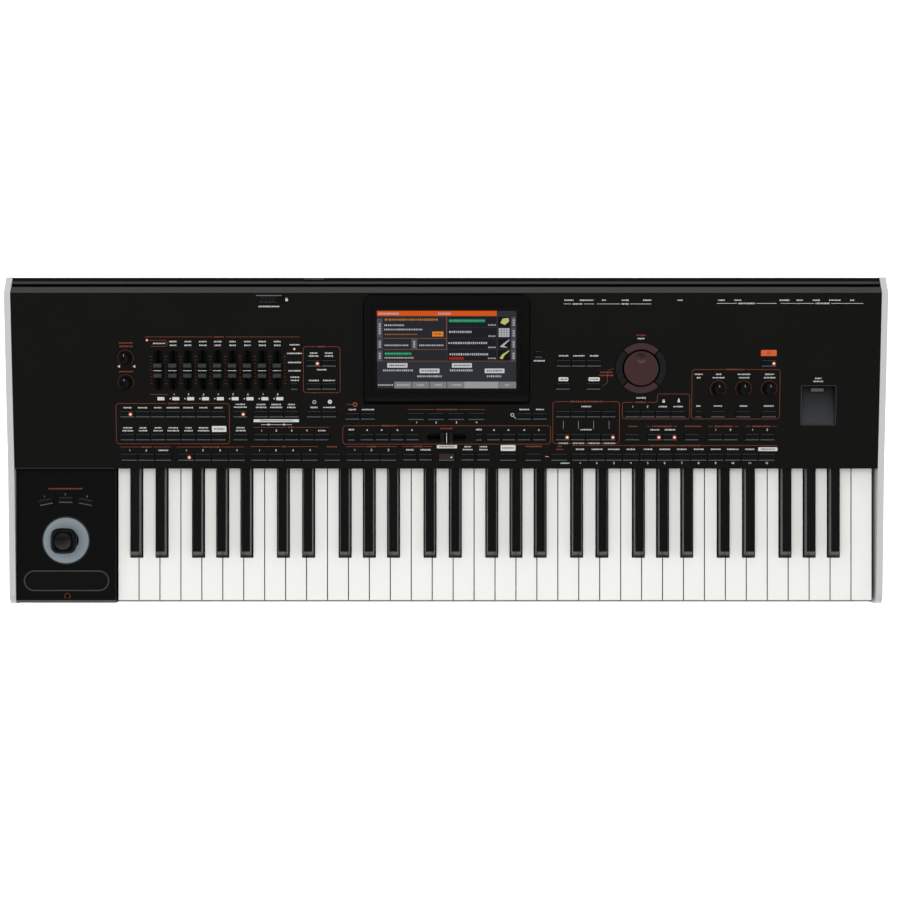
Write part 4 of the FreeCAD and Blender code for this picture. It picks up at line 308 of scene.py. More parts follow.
@dataclass(frozen=True)
class TurnedFinish(Finish):
    """A round cap with fine lines that run out from its middle."""

    centre: Colour = (0.0, 0.0, 0.0)
    lines: int = 90

    LINE_DEPTH = 0.35
    GRAIN_DEPTH = 0.3

    def spokes(self, bench: Bench, place: Signal) -> tuple[Signal, Signal]:
        """Distances from the middle across and along."""
        x, y, _ = bench.parts(place)
        return x - self.centre[0], y - self.centre[1]

    def height(self, bench: Bench, place: Signal, grain: Signal) -> Signal:
        """Fine lines out from the middle, with the grain on top."""
        across, along = self.spokes(bench, place)
        return self.wave(across.math("ARCTAN2", along, across) * self.lines, grain)

    def wave(self, turn: Signal, grain: Signal) -> Signal:
        """Lines of even depth with the grain on top."""
        return turn.math("SINE", turn) * self.LINE_DEPTH + grain * self.GRAIN_DEPTH + self.LINE_DEPTH


@dataclass(frozen=True)
class RingFinish(TurnedFinish):
    """Four arrow segments: front and rear in the tone, left and right in a side tone."""

    side_tone: Colour = (0.0, 0.0, 0.0)

    def colour(self, bench: Bench, place: Signal, share: Signal) -> Signal:
        """The tone front and rear, the side tone left and right."""
        across, along = self.spokes(bench, place)
        return bench.blend(abs(across) > abs(along), super().colour(bench, place, share), self.side_tone)


@dataclass(frozen=True)
class DishFinish(TurnedFinish):
    """A dish with fine rings round its middle."""

    LINE_DEPTH = 0.4
    GRAIN_DEPTH = 0.2

    def height(self, bench: Bench, place: Signal, grain: Signal) -> Signal:
        """Fine rings with the grain on top."""
        across, along = self.spokes(bench, place)
        return self.wave((across * across + along * along) ** 0.5 * self.lines, grain)


@dataclass(frozen=True)
class BandFinish(Finish):
    """A finish with another colour in a band across its depth, up to a height; on the panel's rear slope and
    the rear ridge the band is a painted reflection and a painted highlight.
    """

    near: float = 0.0
    far: float = 1.0
    below: float = 1.0
    band: Colour = (0.6, 0.6, 0.6)

    def colour(self, bench: Bench, place: Signal, share: Signal) -> Signal:
        """The band's colour inside the band, the finish's own elsewhere.

        Args:
            bench: The bench of the material's tree.
            place: Place on the object.
            share: Share of the shade.

        Returns:
            The base colour.
        """
        _, y, z = bench.parts(place)
        inside = (y > self.near) * (y < self.far) * (z < self.below)
        return bench.blend(inside, bench.blend(share, self.tone, self.shade), self.band)


@dataclass(frozen=True)
class FadeFinish(Finish):
    """A finish that fades along its depth from its tone to a darker shade: painted shade that deepens toward
    the rear of a recess.
    """

    near: float = 0.0
    far: float = 1.0

    UNEVEN = 0.1

    def colour(self, bench: Bench, place: Signal, share: Signal) -> Signal:
        """The tone in front, the painted shade at the rear."""
        reach = (bench.parts(place)[1] - self.near) * (1.0 / (self.far - self.near))
        return bench.blend(reach + (share - 0.5) * self.UNEVEN, self.tone, self.shade)


class Way(Enum):
    """A way in which a face can lean."""

    LEFT = (-1.0, 0.0, 0.0)
    RIGHT = (1.0, 0.0, 0.0)
    FRONT = (0.0, -1.0, 0.0)
    REAR = (0.0, 1.0, 0.0)
    UP = (0.0, 0.0, 1.0)
    UP_RIGHT = (0.707, 0.0, 0.707)
    UP_FRONT = (0.0, -0.707, 0.707)


class Facing(NamedTuple):
    """A painted highlight or painted shade colour for the faces that lean one way, from a least cosine on."""

    way: Way
    least: float
    colour: Colour


@dataclass(frozen=True)
class EdgeFinish(Finish):
    """A finish with other colours on faces that lean given ways: painted highlights and painted shade on
    edges and walls.
    """

    leans: tuple[Facing, ...] = ()

    def colour(self, bench: Bench, place: Signal, share: Signal) -> Signal:
        """The finish's own colour, or the painted highlight or painted shade for the way in which a face
        leans.

        Args:
            bench: The bench of the material's tree.
            place: Place on the object; not used.
            share: Share of the shade.

        Returns:
            The base colour.
        """
        made = bench.blend(share, self.tone, self.shade)
        normal = bench.node("ShaderNodeNewGeometry", output="True Normal")
        for facing in self.leans:
            sockets = {0: normal, 1: facing.way.value}
            lean = bench.node("ShaderNodeVectorMath", {"operation": "DOT_PRODUCT"}, sockets, "Value")
            made = bench.blend(lean > facing.least, made, facing.colour)
        return made


@dataclass(frozen=True)
class DialFinish(TurnedFinish):
    """A dial or knob with a round hollow, with painted highlight and painted shade from its front to its
    rear.
    """

    dimple: float = 0.0
    reach: float = 1.0
    stops: tuple[tuple[float, Colour], ...] = ()

    def colour(self, bench: Bench, place: Signal, share: Signal) -> Signal:
        """The finish's own colour, with painted highlight and painted shade in the hollow.

        Args:
            bench: The bench of the material's tree.
            place: Place on the object.
            share: Share of the shade.

        Returns:
            The base colour.
        """
        across, along = self.spokes(bench, place)
        along = along - self.dimple
        inside = across * across + along * along < self.reach ** 2
        hollow = bench.ramp(along * (0.5 / self.reach) + 0.5, self.stops)
        return bench.blend(inside, bench.blend(share, self.tone, self.shade), hollow)


@dataclass(frozen=True)
class LitFinish(Finish):
    """A lit part of the screen, dark where its light is off."""

    lamp: Colour = (1.0, 1.0, 1.0)

    def light(self, bench: Bench, share: Signal) -> Signal:
        """The lamp's colour, a little uneven."""
        return bench.blend(share, self.lamp, tuple(0.9 * value for value in self.lamp))


@dataclass(frozen=True)
class BoardFinish(Finish):
    """Lacquered circuit board with pale tracks."""

    pitch: float = 160.0
    track: float = 0.012
    track_tone: Colour = tone(16, 24, 16)

    def colour(self, bench: Bench, place: Signal, share: Signal) -> Signal:
        """Tracks on the board's lacquer."""
        sockets = {
            "Vector": place, "Scale": self.pitch, "Mortar Size": self.track,
            "Color1": self.tone, "Color2": self.shade, "Mortar": self.track_tone,
        }
        return bench.node("ShaderNodeTexBrick", None, sockets)


def matt_ink(name: str, colour: Colour, shade: Colour) -> Finish:
    """A matt printing ink."""
    return Finish(name, colour, shade, 0.6, grain=2600.0, specular=0.1)


def lit(name: str, red: int, green: int, blue: int) -> Finish:
    """A lit colour of the screen."""
    glass = {"relief": 0.0, "specular": 0.1, "glow": 1.0, "lamp": tone(red, green, blue)}
    return LitFinish("screen_" + name, tone(6, 6, 7), tone(9, 9, 10), 0.3, **glass)


class Paint:
    """Finishes of the instrument."""

    CASE = Finish(
        "textured_case_paint", tone(11, 11, 11), tone(16, 16, 15), 0.5, grain=1100.0, relief=0.05 * MM,
        specular=0.15,
    )
    SILVER = Finish(
        "satin_silver", tone(204, 206, 204), tone(192, 195, 193), 0.4, patch=30.0, stretch=(1.0, 0.06, 1.0),
        grain=1800.0, metallic=0.12,
    )
    # Painted highlights: pale colours on the up-right and up-front chamfers.
    JOYSTICK = EdgeFinish(
        "joystick_panel_black", tone(10, 11, 10), tone(13, 13, 12), 0.42, grain=2000.0, specular=0.08,
        leans=(Facing(Way.UP_RIGHT, 0.8, tone(52, 52, 50)), Facing(Way.UP_FRONT, 0.8, tone(84, 84, 82))),
    )
    PANEL = Finish("panel_fill_paint", tone(16, 16, 14), tone(19, 18, 16), 0.42, grain=2600.0, specular=0.08)
    # Painted highlight: a pale colour on the rail's upward faces along its top edge.
    RAIL = EdgeFinish(
        "front_rail_paint", tone(11, 11, 11), tone(16, 16, 15), 0.5, grain=1100.0, relief=0.05 * MM,
        specular=0.15, leans=(Facing(Way.UP, 0.5, tone(116, 116, 114)),),
    )
    # Painted shade: grey side walls, so the gaps between the keys read dark.
    WHITE_KEY = EdgeFinish(
        "white_key_gloss", tone(242, 242, 239), tone(237, 237, 232), 0.24, patch=10.0, swing=0.06,
        grain=700.0, relief=0.006 * MM, coat=0.25,
        leans=(Facing(Way.RIGHT, 0.55, tone(136, 136, 132)), Facing(Way.LEFT, 0.55, tone(136, 136, 132))),
    )
    # Painted highlight on the sloped front, painted shade on the right side walls.
    BLACK_KEY = EdgeFinish(
        "black_key_satin", tone(8, 9, 8), tone(11, 12, 11), 0.3, stretch=(1.0, 0.2, 1.0), grain=2400.0,
        relief=0.015 * MM, specular=0.4,
        leans=(Facing(Way.UP_FRONT, 0.75, tone(44, 44, 43)), Facing(Way.RIGHT, 0.97, tone(4, 4, 4))),
    )
    # Painted highlights: pale front and rear chamfers on every button, switch and grip.
    BUTTON = EdgeFinish(
        "button_dark_grey", tone(12, 14, 15), tone(15, 17, 18), 0.16, swing=0.04, grain=3000.0,
        relief=0.004 * MM,
        leans=(Facing(Way.FRONT, 0.35, tone(92, 94, 94)), Facing(Way.REAR, 0.35, tone(60, 62, 62))),
    )
    FADER = Finish("fader_grip_grey", tone(50, 53, 54), tone(44, 46, 47), 0.5, grain=2600.0, specular=0.3)
    KNOB = Finish("knob_soft_black", tone(8, 8, 8), tone(11, 11, 11), 0.32, grain=3000.0, specular=0.22)
    RIBBON = Finish(
        "ribbon_film", tone(9, 10, 9), tone(12, 13, 12), 0.4, grain=3600.0, relief=0.008 * MM, specular=0.15,
    )
    # Painted highlight: the rim's pale tone and its paler front and rear faces.
    RIM = EdgeFinish(
        "ribbon_rim_highlight", tone(54, 55, 54), tone(60, 61, 60), 0.3, grain=2600.0, relief=0.005 * MM,
        leans=(Facing(Way.FRONT, 0.2, tone(100, 101, 100)), Facing(Way.REAR, 0.2, tone(84, 85, 84))),
    )
    DISPLAY = Finish(
        "display_satin_black", tone(10, 11, 10), tone(13, 14, 13), 0.3, grain=3000.0, specular=0.12,
    )
    SCREEN = Finish(
        "screen_glass", tone(14, 15, 14), tone(16, 17, 16), 0.2, swing=0.04, relief=0.0, specular=0.12,
    )
    WELL = Finish("well_moulding", tone(32, 33, 35), tone(40, 41, 44), 0.5, grain=1800.0, specular=0.25)
    WELL_EDGE = Finish("well_edge", tone(40, 41, 42), tone(46, 47, 48), 0.4, grain=2000.0)
    PORT = Finish("port_shell", tone(102, 102, 100), tone(90, 90, 88), 0.35, grain=1800.0, metallic=0.3)
    # Painted shadow: the dark strips beside the sliders' slots.
    SLOT = Finish("slot_painted_shadow", tone(8, 8, 7), tone(10, 10, 9), 0.8, grain=2400.0, specular=0.05)
    RUBBER = Finish("foot_rubber", tone(16, 16, 16), tone(24, 24, 23), 0.85, grain=900.0, relief=0.08 * MM)
    STEEL = Finish(
        "plated_steel", tone(168, 168, 166), tone(146, 147, 146), 0.34, stretch=(0.1, 1.0, 1.0), metallic=1.0,
    )
    BOARD = BoardFinish("board_lacquer", tone(5, 9, 6), tone(6, 11, 8), 0.4, specular=0.1)
    ORANGE_INK = matt_ink("orange_ink", tone(140, 72, 54), tone(120, 66, 52))
    WHITE_INK = matt_ink("white_ink", tone(212, 212, 208), tone(196, 196, 192))
    GREY_INK = matt_ink("grey_ink", tone(120, 120, 118), tone(104, 104, 102))
    DARK_INK = matt_ink("dark_ink", tone(30, 30, 30), tone(38, 38, 37))
    ORANGE_LABEL = Finish("orange_label", tone(210, 88, 36), tone(196, 80, 34), 0.5, grain=2600.0)
    POINTER = Finish("pointer_white", tone(228, 230, 230), tone(210, 212, 212), 0.5, grain=2600.0)
    MARK = Finish("knob_mark_grey", tone(150, 152, 152), tone(136, 138, 138), 0.5, grain=2600.0)
    RED_CAP = Finish("start_cap_red", tone(44, 28, 26), tone(37, 24, 22), 0.4, grain=3000.0, glow=0.2)
    LAMP = LampLens("lamp_lens", tone(40, 8, 6), tone(30, 6, 4), 0.2, glow=1.1)


@dataclass(frozen=True)
class PhotoCamera:
    """The photograph's camera, which looks straight down."""

    eye: Colour = (0.0044, -0.0097, 2.391)
    focal: float = 2050.0
    side: float = 900.0
    sensor: float = 36.0

    def ray(self, px: float, py: float) -> Vector:
        """Direction through a pixel."""
        return Vector(((px - self.side / 2) / self.focal, (self.side / 2 - py) / self.focal, -1.0))

    def pixel_of(self, point: Vector) -> tuple[float, float]:
        """The pixel in which a point shows."""
        away = point - Vector(self.eye)
        return (self.side / 2 - away.x / away.z * self.focal, self.side / 2 + away.y / away.z * self.focal)

    def build(self) -> None:
        """Put the camera in the scene."""
        lens = bpy.data.cameras.new("photo_camera")
        lens.lens = self.focal / self.side * self.sensor
        lens.sensor_width = self.sensor
        made = bpy.data.objects.new("photo_camera", lens)
        made.location = self.eye
        bpy.context.scene.collection.objects.link(made)
        bpy.context.scene.camera = made


CAMERA = PhotoCamera()


@dataclass(frozen=True)
class Plane:
    """A flat face with axes of its own: across along X, up along the face, and out of it."""

    origin: Vector
    up: Vector
    out: Vector

    def point(self, x: float, v: float, w: float = 0.0) -> Vector:
        """A point from its place across, along and over the face."""
        return self.origin + Vector((x, 0.0, 0.0)) + self.up * v + self.out * w

    def place(self, point: Vector) -> Vector:
        """A point's place across, along and over the face."""
        away = point - self.origin
        return Vector((away.x, away.dot(self.up), away.dot(self.out)))

    def under(self, px: float, py: float) -> tuple[float, float]:
        """The place on the face under a pixel of the photograph.

        Args:
            px: The pixel's column.
            py: The pixel's row.

        Returns:
            The place across and along the face.
        """
        eye = Vector(CAMERA.eye)
        ray = CAMERA.ray(px, py)
        spot = self.place(eye + ray * ((self.origin - eye).dot(self.out) / ray.dot(self.out)))
        return spot.x, spot.y

    def raised(self, height: float) -> "Plane":
        """The same face, higher."""
        return Plane(self.origin + self.out * height, self.up, self.out)

    def span(self, points: Iterable[Vector]) -> tuple[Vector, Vector]:
        """Lowest and highest places of points on the face."""
        places = [self.place(point) for point in points]
        return Vector(map(min, zip(*places))), Vector(map(max, zip(*places)))


def points_of(node: str) -> list[Vector]:
    """Corners of a CAD node."""
    return [corner.co for corner in frame["nodes"][node].data.vertices]


def sloped_panel() -> Plane:
    """Find the control panel's face from the sheet's front edge and the sliders' axis.

    Returns:
        The face, with the sheet's front edge as its start.
    """
    up = Vector(next(j["axis"] for j in frame["joints"] if j["name"] == "fader_1_slide")).normalized()
    points = points_of("control_panel")
    crest = max(points, key=lambda p: p.z)
    front = min(p.y for p in points)
    origin = crest - up * ((crest.y - front) / up.y)
    origin.x = 0.0
    return Plane(origin, up, Vector((1.0, 0.0, 0.0)).cross(up))


RIBBON_DROP = 0.8 * MM


def level_panel() -> Plane:
    """The joystick panel's top face."""
    top = max(p.z for p in points_of("ribbon_strip")) + RIBBON_DROP
    return Plane(Vector((0.0, 0.0, top)), Vector((0.0, 1.0, 0.0)), Vector((0.0, 0.0, 1.0)))


WELD = 0.001 * MM
FLAT_ANGLE = math.radians(1.0)
EDGE_ANGLE = math.radians(32.0)
FACE_WEIGHT = 60


def islands(node: str) -> list[list[Vector]]:
    """Find the separate pieces of a CAD node.

    Args:
        node: The node's name.

    Returns:
        Each piece's points, from left to right.
    """
    mesh = bmesh.new()
    mesh.from_mesh(frame["nodes"][node].data)
    bmesh.ops.remove_doubles(mesh, verts=mesh.verts, dist=WELD)
    left = set(mesh.verts)
    found = []
    while left:
        edge = [left.pop()]
        group = list(edge)
        while edge:
            near = {e.other_vert(v) for v in edge for e in v.link_edges} & left
            left -= near
            edge = list(near)
            group += edge
        found.append([v.co.copy() for v in group])
    mesh.free()
    return sorted(found, key=lambda points: (min(p.x for p in points), min(p.y for p in points)))


def soften(made: bpy.types.Object, width: float, segments: int = 2, cad: bool = False) -> None:
    """Round an object's edges.

    Args:
        made: The object.
        width: Width of the rounded edge.
        segments: Steps across it.
        cad: Whether its faces are triangles that have to be joined first.
    """
    if cad:
        made.modifiers.new("smooth", "NODES").node_group = smooth_group()
        made.modifiers.new("weld", "WELD").merge_threshold = WELD
        flat = made.modifiers.new("flat", "DECIMATE")
        flat.decimate_type = "DISSOLVE"
        flat.angle_limit = FLAT_ANGLE
    edge = made.modifiers.new("edge", "BEVEL")
    edge.width = width
    edge.segments = segments
    edge.limit_method = "ANGLE"
    edge.angle_limit = EDGE_ANGLE
    made.modifiers.new("shade", "WEIGHTED_NORMAL").weight = FACE_WEIGHT


@cache
def smooth_group() -> bpy.types.NodeTree:
    """Make geometry nodes that shade every face smooth, once.

    Returns:
        Their tree.
    """
    group = bpy.data.node_groups.new("shade_smooth", "GeometryNodeTree")
    group.interface.new_socket("Geometry", in_out="INPUT", socket_type="NodeSocketGeometry")
    group.interface.new_socket("Geometry", in_out="OUTPUT", socket_type="NodeSocketGeometry")
    start = group.nodes.new("NodeGroupInput")
    smooth = group.nodes.new("GeometryNodeSetShadeSmooth")
    end = group.nodes.new("NodeGroupOutput")
    group.links.new(start.outputs[0], smooth.inputs["Geometry"])
    group.links.new(smooth.outputs[0], end.inputs[0])
    return group


def dress(node: str, finish: Finish, edge: float = 0.0, segments: int = 2) -> None:
    """Give a CAD node its finish and round its edges.

    Args:
        node: The node's name.
        finish: Its finish.
        edge: Width of its rounded edges, or 0.
        segments: Steps across an edge.
    """
    part = frame["nodes"][node]
    for holder in part.material_slots:
        holder.material = finish.material()
    if edge:
        soften(part, edge, segments, cad=True)
    log.info("dressed %s in %s", node, finish.name)


class Solid:
    """Corners and faces of a mesh in the making."""

    def __init__(self) -> None:
        """Start with nothing."""
        self.corners: list[Vector] = []
        self.faces: list[tuple[int, ...]] = []

    def loft(self, rings: Sequence[Sequence[Vector]], tube: bool = False) -> None:
        """Close a skin over rings of as many points each.

        Args:
            rings: The rings, in order.
            tube: Whether the last ring joins the first, in place of two end faces.
        """
        start = len(self.corners)
        count = len(rings[0])
        for ring in rings:
            self.corners += ring
        steps = len(rings) if tube else len(rings) - 1
        for step in range(steps):
            low = start + step * count
            high = start + (step + 1) % len(rings) * count
            for i in range(count):
                j = (i + 1) % count
                self.faces.append((low + i, low + j, high + j, high + i))
        if not tube:
            self.faces.append(tuple(reversed(range(start, start + count))))
            self.faces.append(tuple(range(start + (len(rings) - 1) * count, start + len(rings) * count)))

    def piece(
        self, name: str, finish: Finish, body: str, slot: str = "", edge: float = 0.0, smooth: bool = False,
        stands_for: Sequence[str] = (),
    ) -> bpy.types.Object:
        """Turn the solid into a piece that rides on a body.

        Args:
            name: The piece's name.
            finish: Its finish.
            body: The body that it rides on.
            slot: The record's material slot, where it has one; not used.
            edge: Width of its rounded edges, or 0.
            smooth: Whether its faces are shaded smooth.
            stands_for: CAD nodes that it takes the place of.

        Returns:
            The piece.
        """
        mesh = bpy.data.meshes.new(name)
        mesh.from_pydata(self.corners, [], self.faces)
        shell = bmesh.new()
        shell.from_mesh(mesh)
        bmesh.ops.recalc_face_normals(shell, faces=shell.faces)
        for face in shell.faces:
            face.smooth = smooth or edge > 0
        shell.to_mesh(mesh)
        shell.free()
        mesh.materials.append(finish.material())
        made = bpy.data.objects.new(name, mesh)
        bpy.context.scene.collection.objects.link(made)
        if edge:
            soften(made, edge)
        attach(made, body)
        if stands_for:
            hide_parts(*stands_for)
        log.info("made %s on %s", name, body)
        return made


class Glyph(Enum):
    """What stands over or under a button."""

    WORD = "one line of blocks"
    TWO_LINES = "two lines of blocks"
    NUMBER = "a running number"
    ARROW = "a small triangle"


# Middles of a number's seven strokes, in shares of its width and height; those off the middle stand upright
DIGIT_BARS = {
    "a": (0.0, 0.5), "b": (-0.5, 0.25), "c": (0.5, 0.25), "d": (0.0, 0.0),
    "e": (-0.5, -0.25), "f": (0.5, -0.25), "g": (0.0, -0.5),
}
DIGIT_STROKES = {
    "0": "abcefg", "1": "cf", "2": "acdeg", "3": "acdfg", "4": "bcdf",
    "5": "abdfg", "6": "abdefg", "7": "acf", "8": "abcdefg", "9": "abcdfg",
}


@dataclass
class Print:
    """Marks of one ink on one face, gathered in one thin solid."""

    plane: Plane
    seed: int = 1
    sunk: float = -0.02 * MM
    proud: float = 0.06 * MM

    BLOCK_WIDTHS = (0.4, 0.75)
    BLOCK_HEIGHTS = (0.7, 1.0)
    BLOCK_GAP = 0.36
    DIGIT_WIDTH = 0.5
    DIGIT_STROKE = 0.28
    ARC_STEP = 12.0
    LEAST_STEPS = 6
    FULL_TURN = 360.0

    def __post_init__(self) -> None:
        """Start an empty sheet and its random draws."""
        self.solid = Solid()
        self.draw = random.Random(self.seed)

    def outline(self, places: Sequence[Place]) -> None:
        """A filled mark from its corners."""
        rings = [[self.plane.point(x, v, w) for x, v in places] for w in (self.sunk, self.proud)]
        self.solid.loft(rings)

    def shape(self, x: float, v: float, corners: Sequence[Place]) -> None:
        """A filled mark from its corners round a place."""
        self.outline([(x + dx, v + dv) for dx, dv in corners])

    def patch(self, x: float, v: float, length: float, depth: float, corner: float = 0.0) -> None:
        """A filled rectangle, with round corners where a radius is given."""
        self.outline(rounded(x, v, length, depth, corner))

    def stroke(self, places: Sequence[Place], width: float, closed: bool = False) -> None:
        """Draw a line of even width.

        Args:
            places: Places on the face that it runs through.
            width: Its width.
            closed: Whether its end joins its start.
        """
        count = len(places)
        rings = []
        for i, (x, v) in enumerate(places):
            before = places[i - 1] if i or closed else places[i]
            after = places[(i + 1) % count] if i < count - 1 or closed else places[i]
            run = Vector((after[0] - before[0], after[1] - before[1])).normalized() * width / 2
            left = (x - run.y, v + run.x)
            right = (x + run.y, v - run.x)
            corners = ((*left, self.sunk), (*right, self.sunk), (*right, self.proud), (*left, self.proud))
            rings.append([self.plane.point(*corner) for corner in corners])
        self.solid.loft(rings, tube=closed)

    def word(self, x: float, v: float, length: float, height: float) -> None:
        """Draw a row of plain blocks in the place of a word.

        Args:
            x: Its middle across.
            v: Its middle along.
            length: The length to fill.
            height: Height of the tallest block.
        """
        blocks = []
        reach = 0.0
        gap = height * self.BLOCK_GAP
        while reach < length:
            wide = height * self.draw.uniform(*self.BLOCK_WIDTHS)
            blocks.append((reach + wide / 2, wide, height * self.draw.uniform(*self.BLOCK_HEIGHTS)))
            reach += wide + gap
        start = x - (reach - gap) / 2
        for middle, wide, tall in blocks:
            self.patch(start + middle, v, wide, tall)

    def number(self, text: str, x: float, v: float, height: float) -> None:
        """Draw a plain number.

        Args:
            text: Its digits.
            x: Its middle across.
            v: Its middle along.
            height: Its height.
        """
        wide = height * self.DIGIT_WIDTH
        thick = height * self.DIGIT_STROKE
        step = wide + thick * 2
        for index, digit in enumerate(text):
            middle = x + (index - (len(text) - 1) / 2) * step
            for bar in DIGIT_STROKES[digit]:
                across, along = DIGIT_BARS[bar]
                size = (thick, height / 2) if across else (wide, thick)
                self.patch(middle + across * wide, v + along * height, *size)

    def arc(
        self, x: float, v: float, radius: float, width: float, start: float = 0.0, end: float = FULL_TURN
    ) -> None:
        """Draw an arc, or a ring where no angles are given.

        Args:
            x: Its middle across.
            v: Its middle along.
            radius: Its radius.
            width: Its line's width.
            start: Its first angle, in degrees.
            end: Its last angle, in degrees.
        """
        turn = end - start
        steps = max(self.LEAST_STEPS, round(abs(turn) / self.ARC_STEP))
        closed = abs(turn) >= self.FULL_TURN
        angles = [math.radians(start + turn * i / steps) for i in range(steps + (not closed))]
        self.stroke([(x + radius * math.cos(a), v + radius * math.sin(a)) for a in angles], width, closed)


def rounded(x: float, v: float, length: float, depth: float, corner: float, steps: int = 4) -> list[Place]:
    """Corners of a rectangle with round corners.

    Args:
        x: Its middle across.
        v: Its middle along.
        length: Its length across.
        depth: Its length along.
        corner: Its corners' radius, or 0.
        steps: Steps round each corner.

    Returns:
        The places, in order.
    """
    places = []
    for turn, (sx, sv) in enumerate(((1, -1), (1, 1), (-1, 1), (-1, -1))):
        cx = x + sx * (length / 2 - corner)
        cv = v + sv * (depth / 2 - corner)
        for step in range(steps + 1 if corner else 1):
            angle = math.radians(90 * (turn - 1) + 90 * step / steps)
            places.append((cx + corner * math.cos(angle), cv + corner * math.sin(angle)))
    return places


class Box(NamedTuple):
    """A rectangle in the photograph's pixels."""

    left: float
    top: float
    right: float
    foot: float


class Header(NamedTuple):
    """A printed line in the photograph's pixels with a word in it."""

    left: float
    right: float
    py: float
    word_left: float
    word_right: float


class Word(NamedTuple):
    """A printed word in the photograph's pixels."""

    px: float
    py: float
    length: float


class LabelRun(NamedTuple):
    """Labels of the buttons whose middles lie in a stretch of the photograph."""

    left: float
    right: float
    cap_py: float
    label_py: float
    glyph: Glyph


class Cap(NamedTuple):
    """A push button's cap on the panel."""

    node: str
    x: float
    v: float
    top: float
    length: float
    depth: float


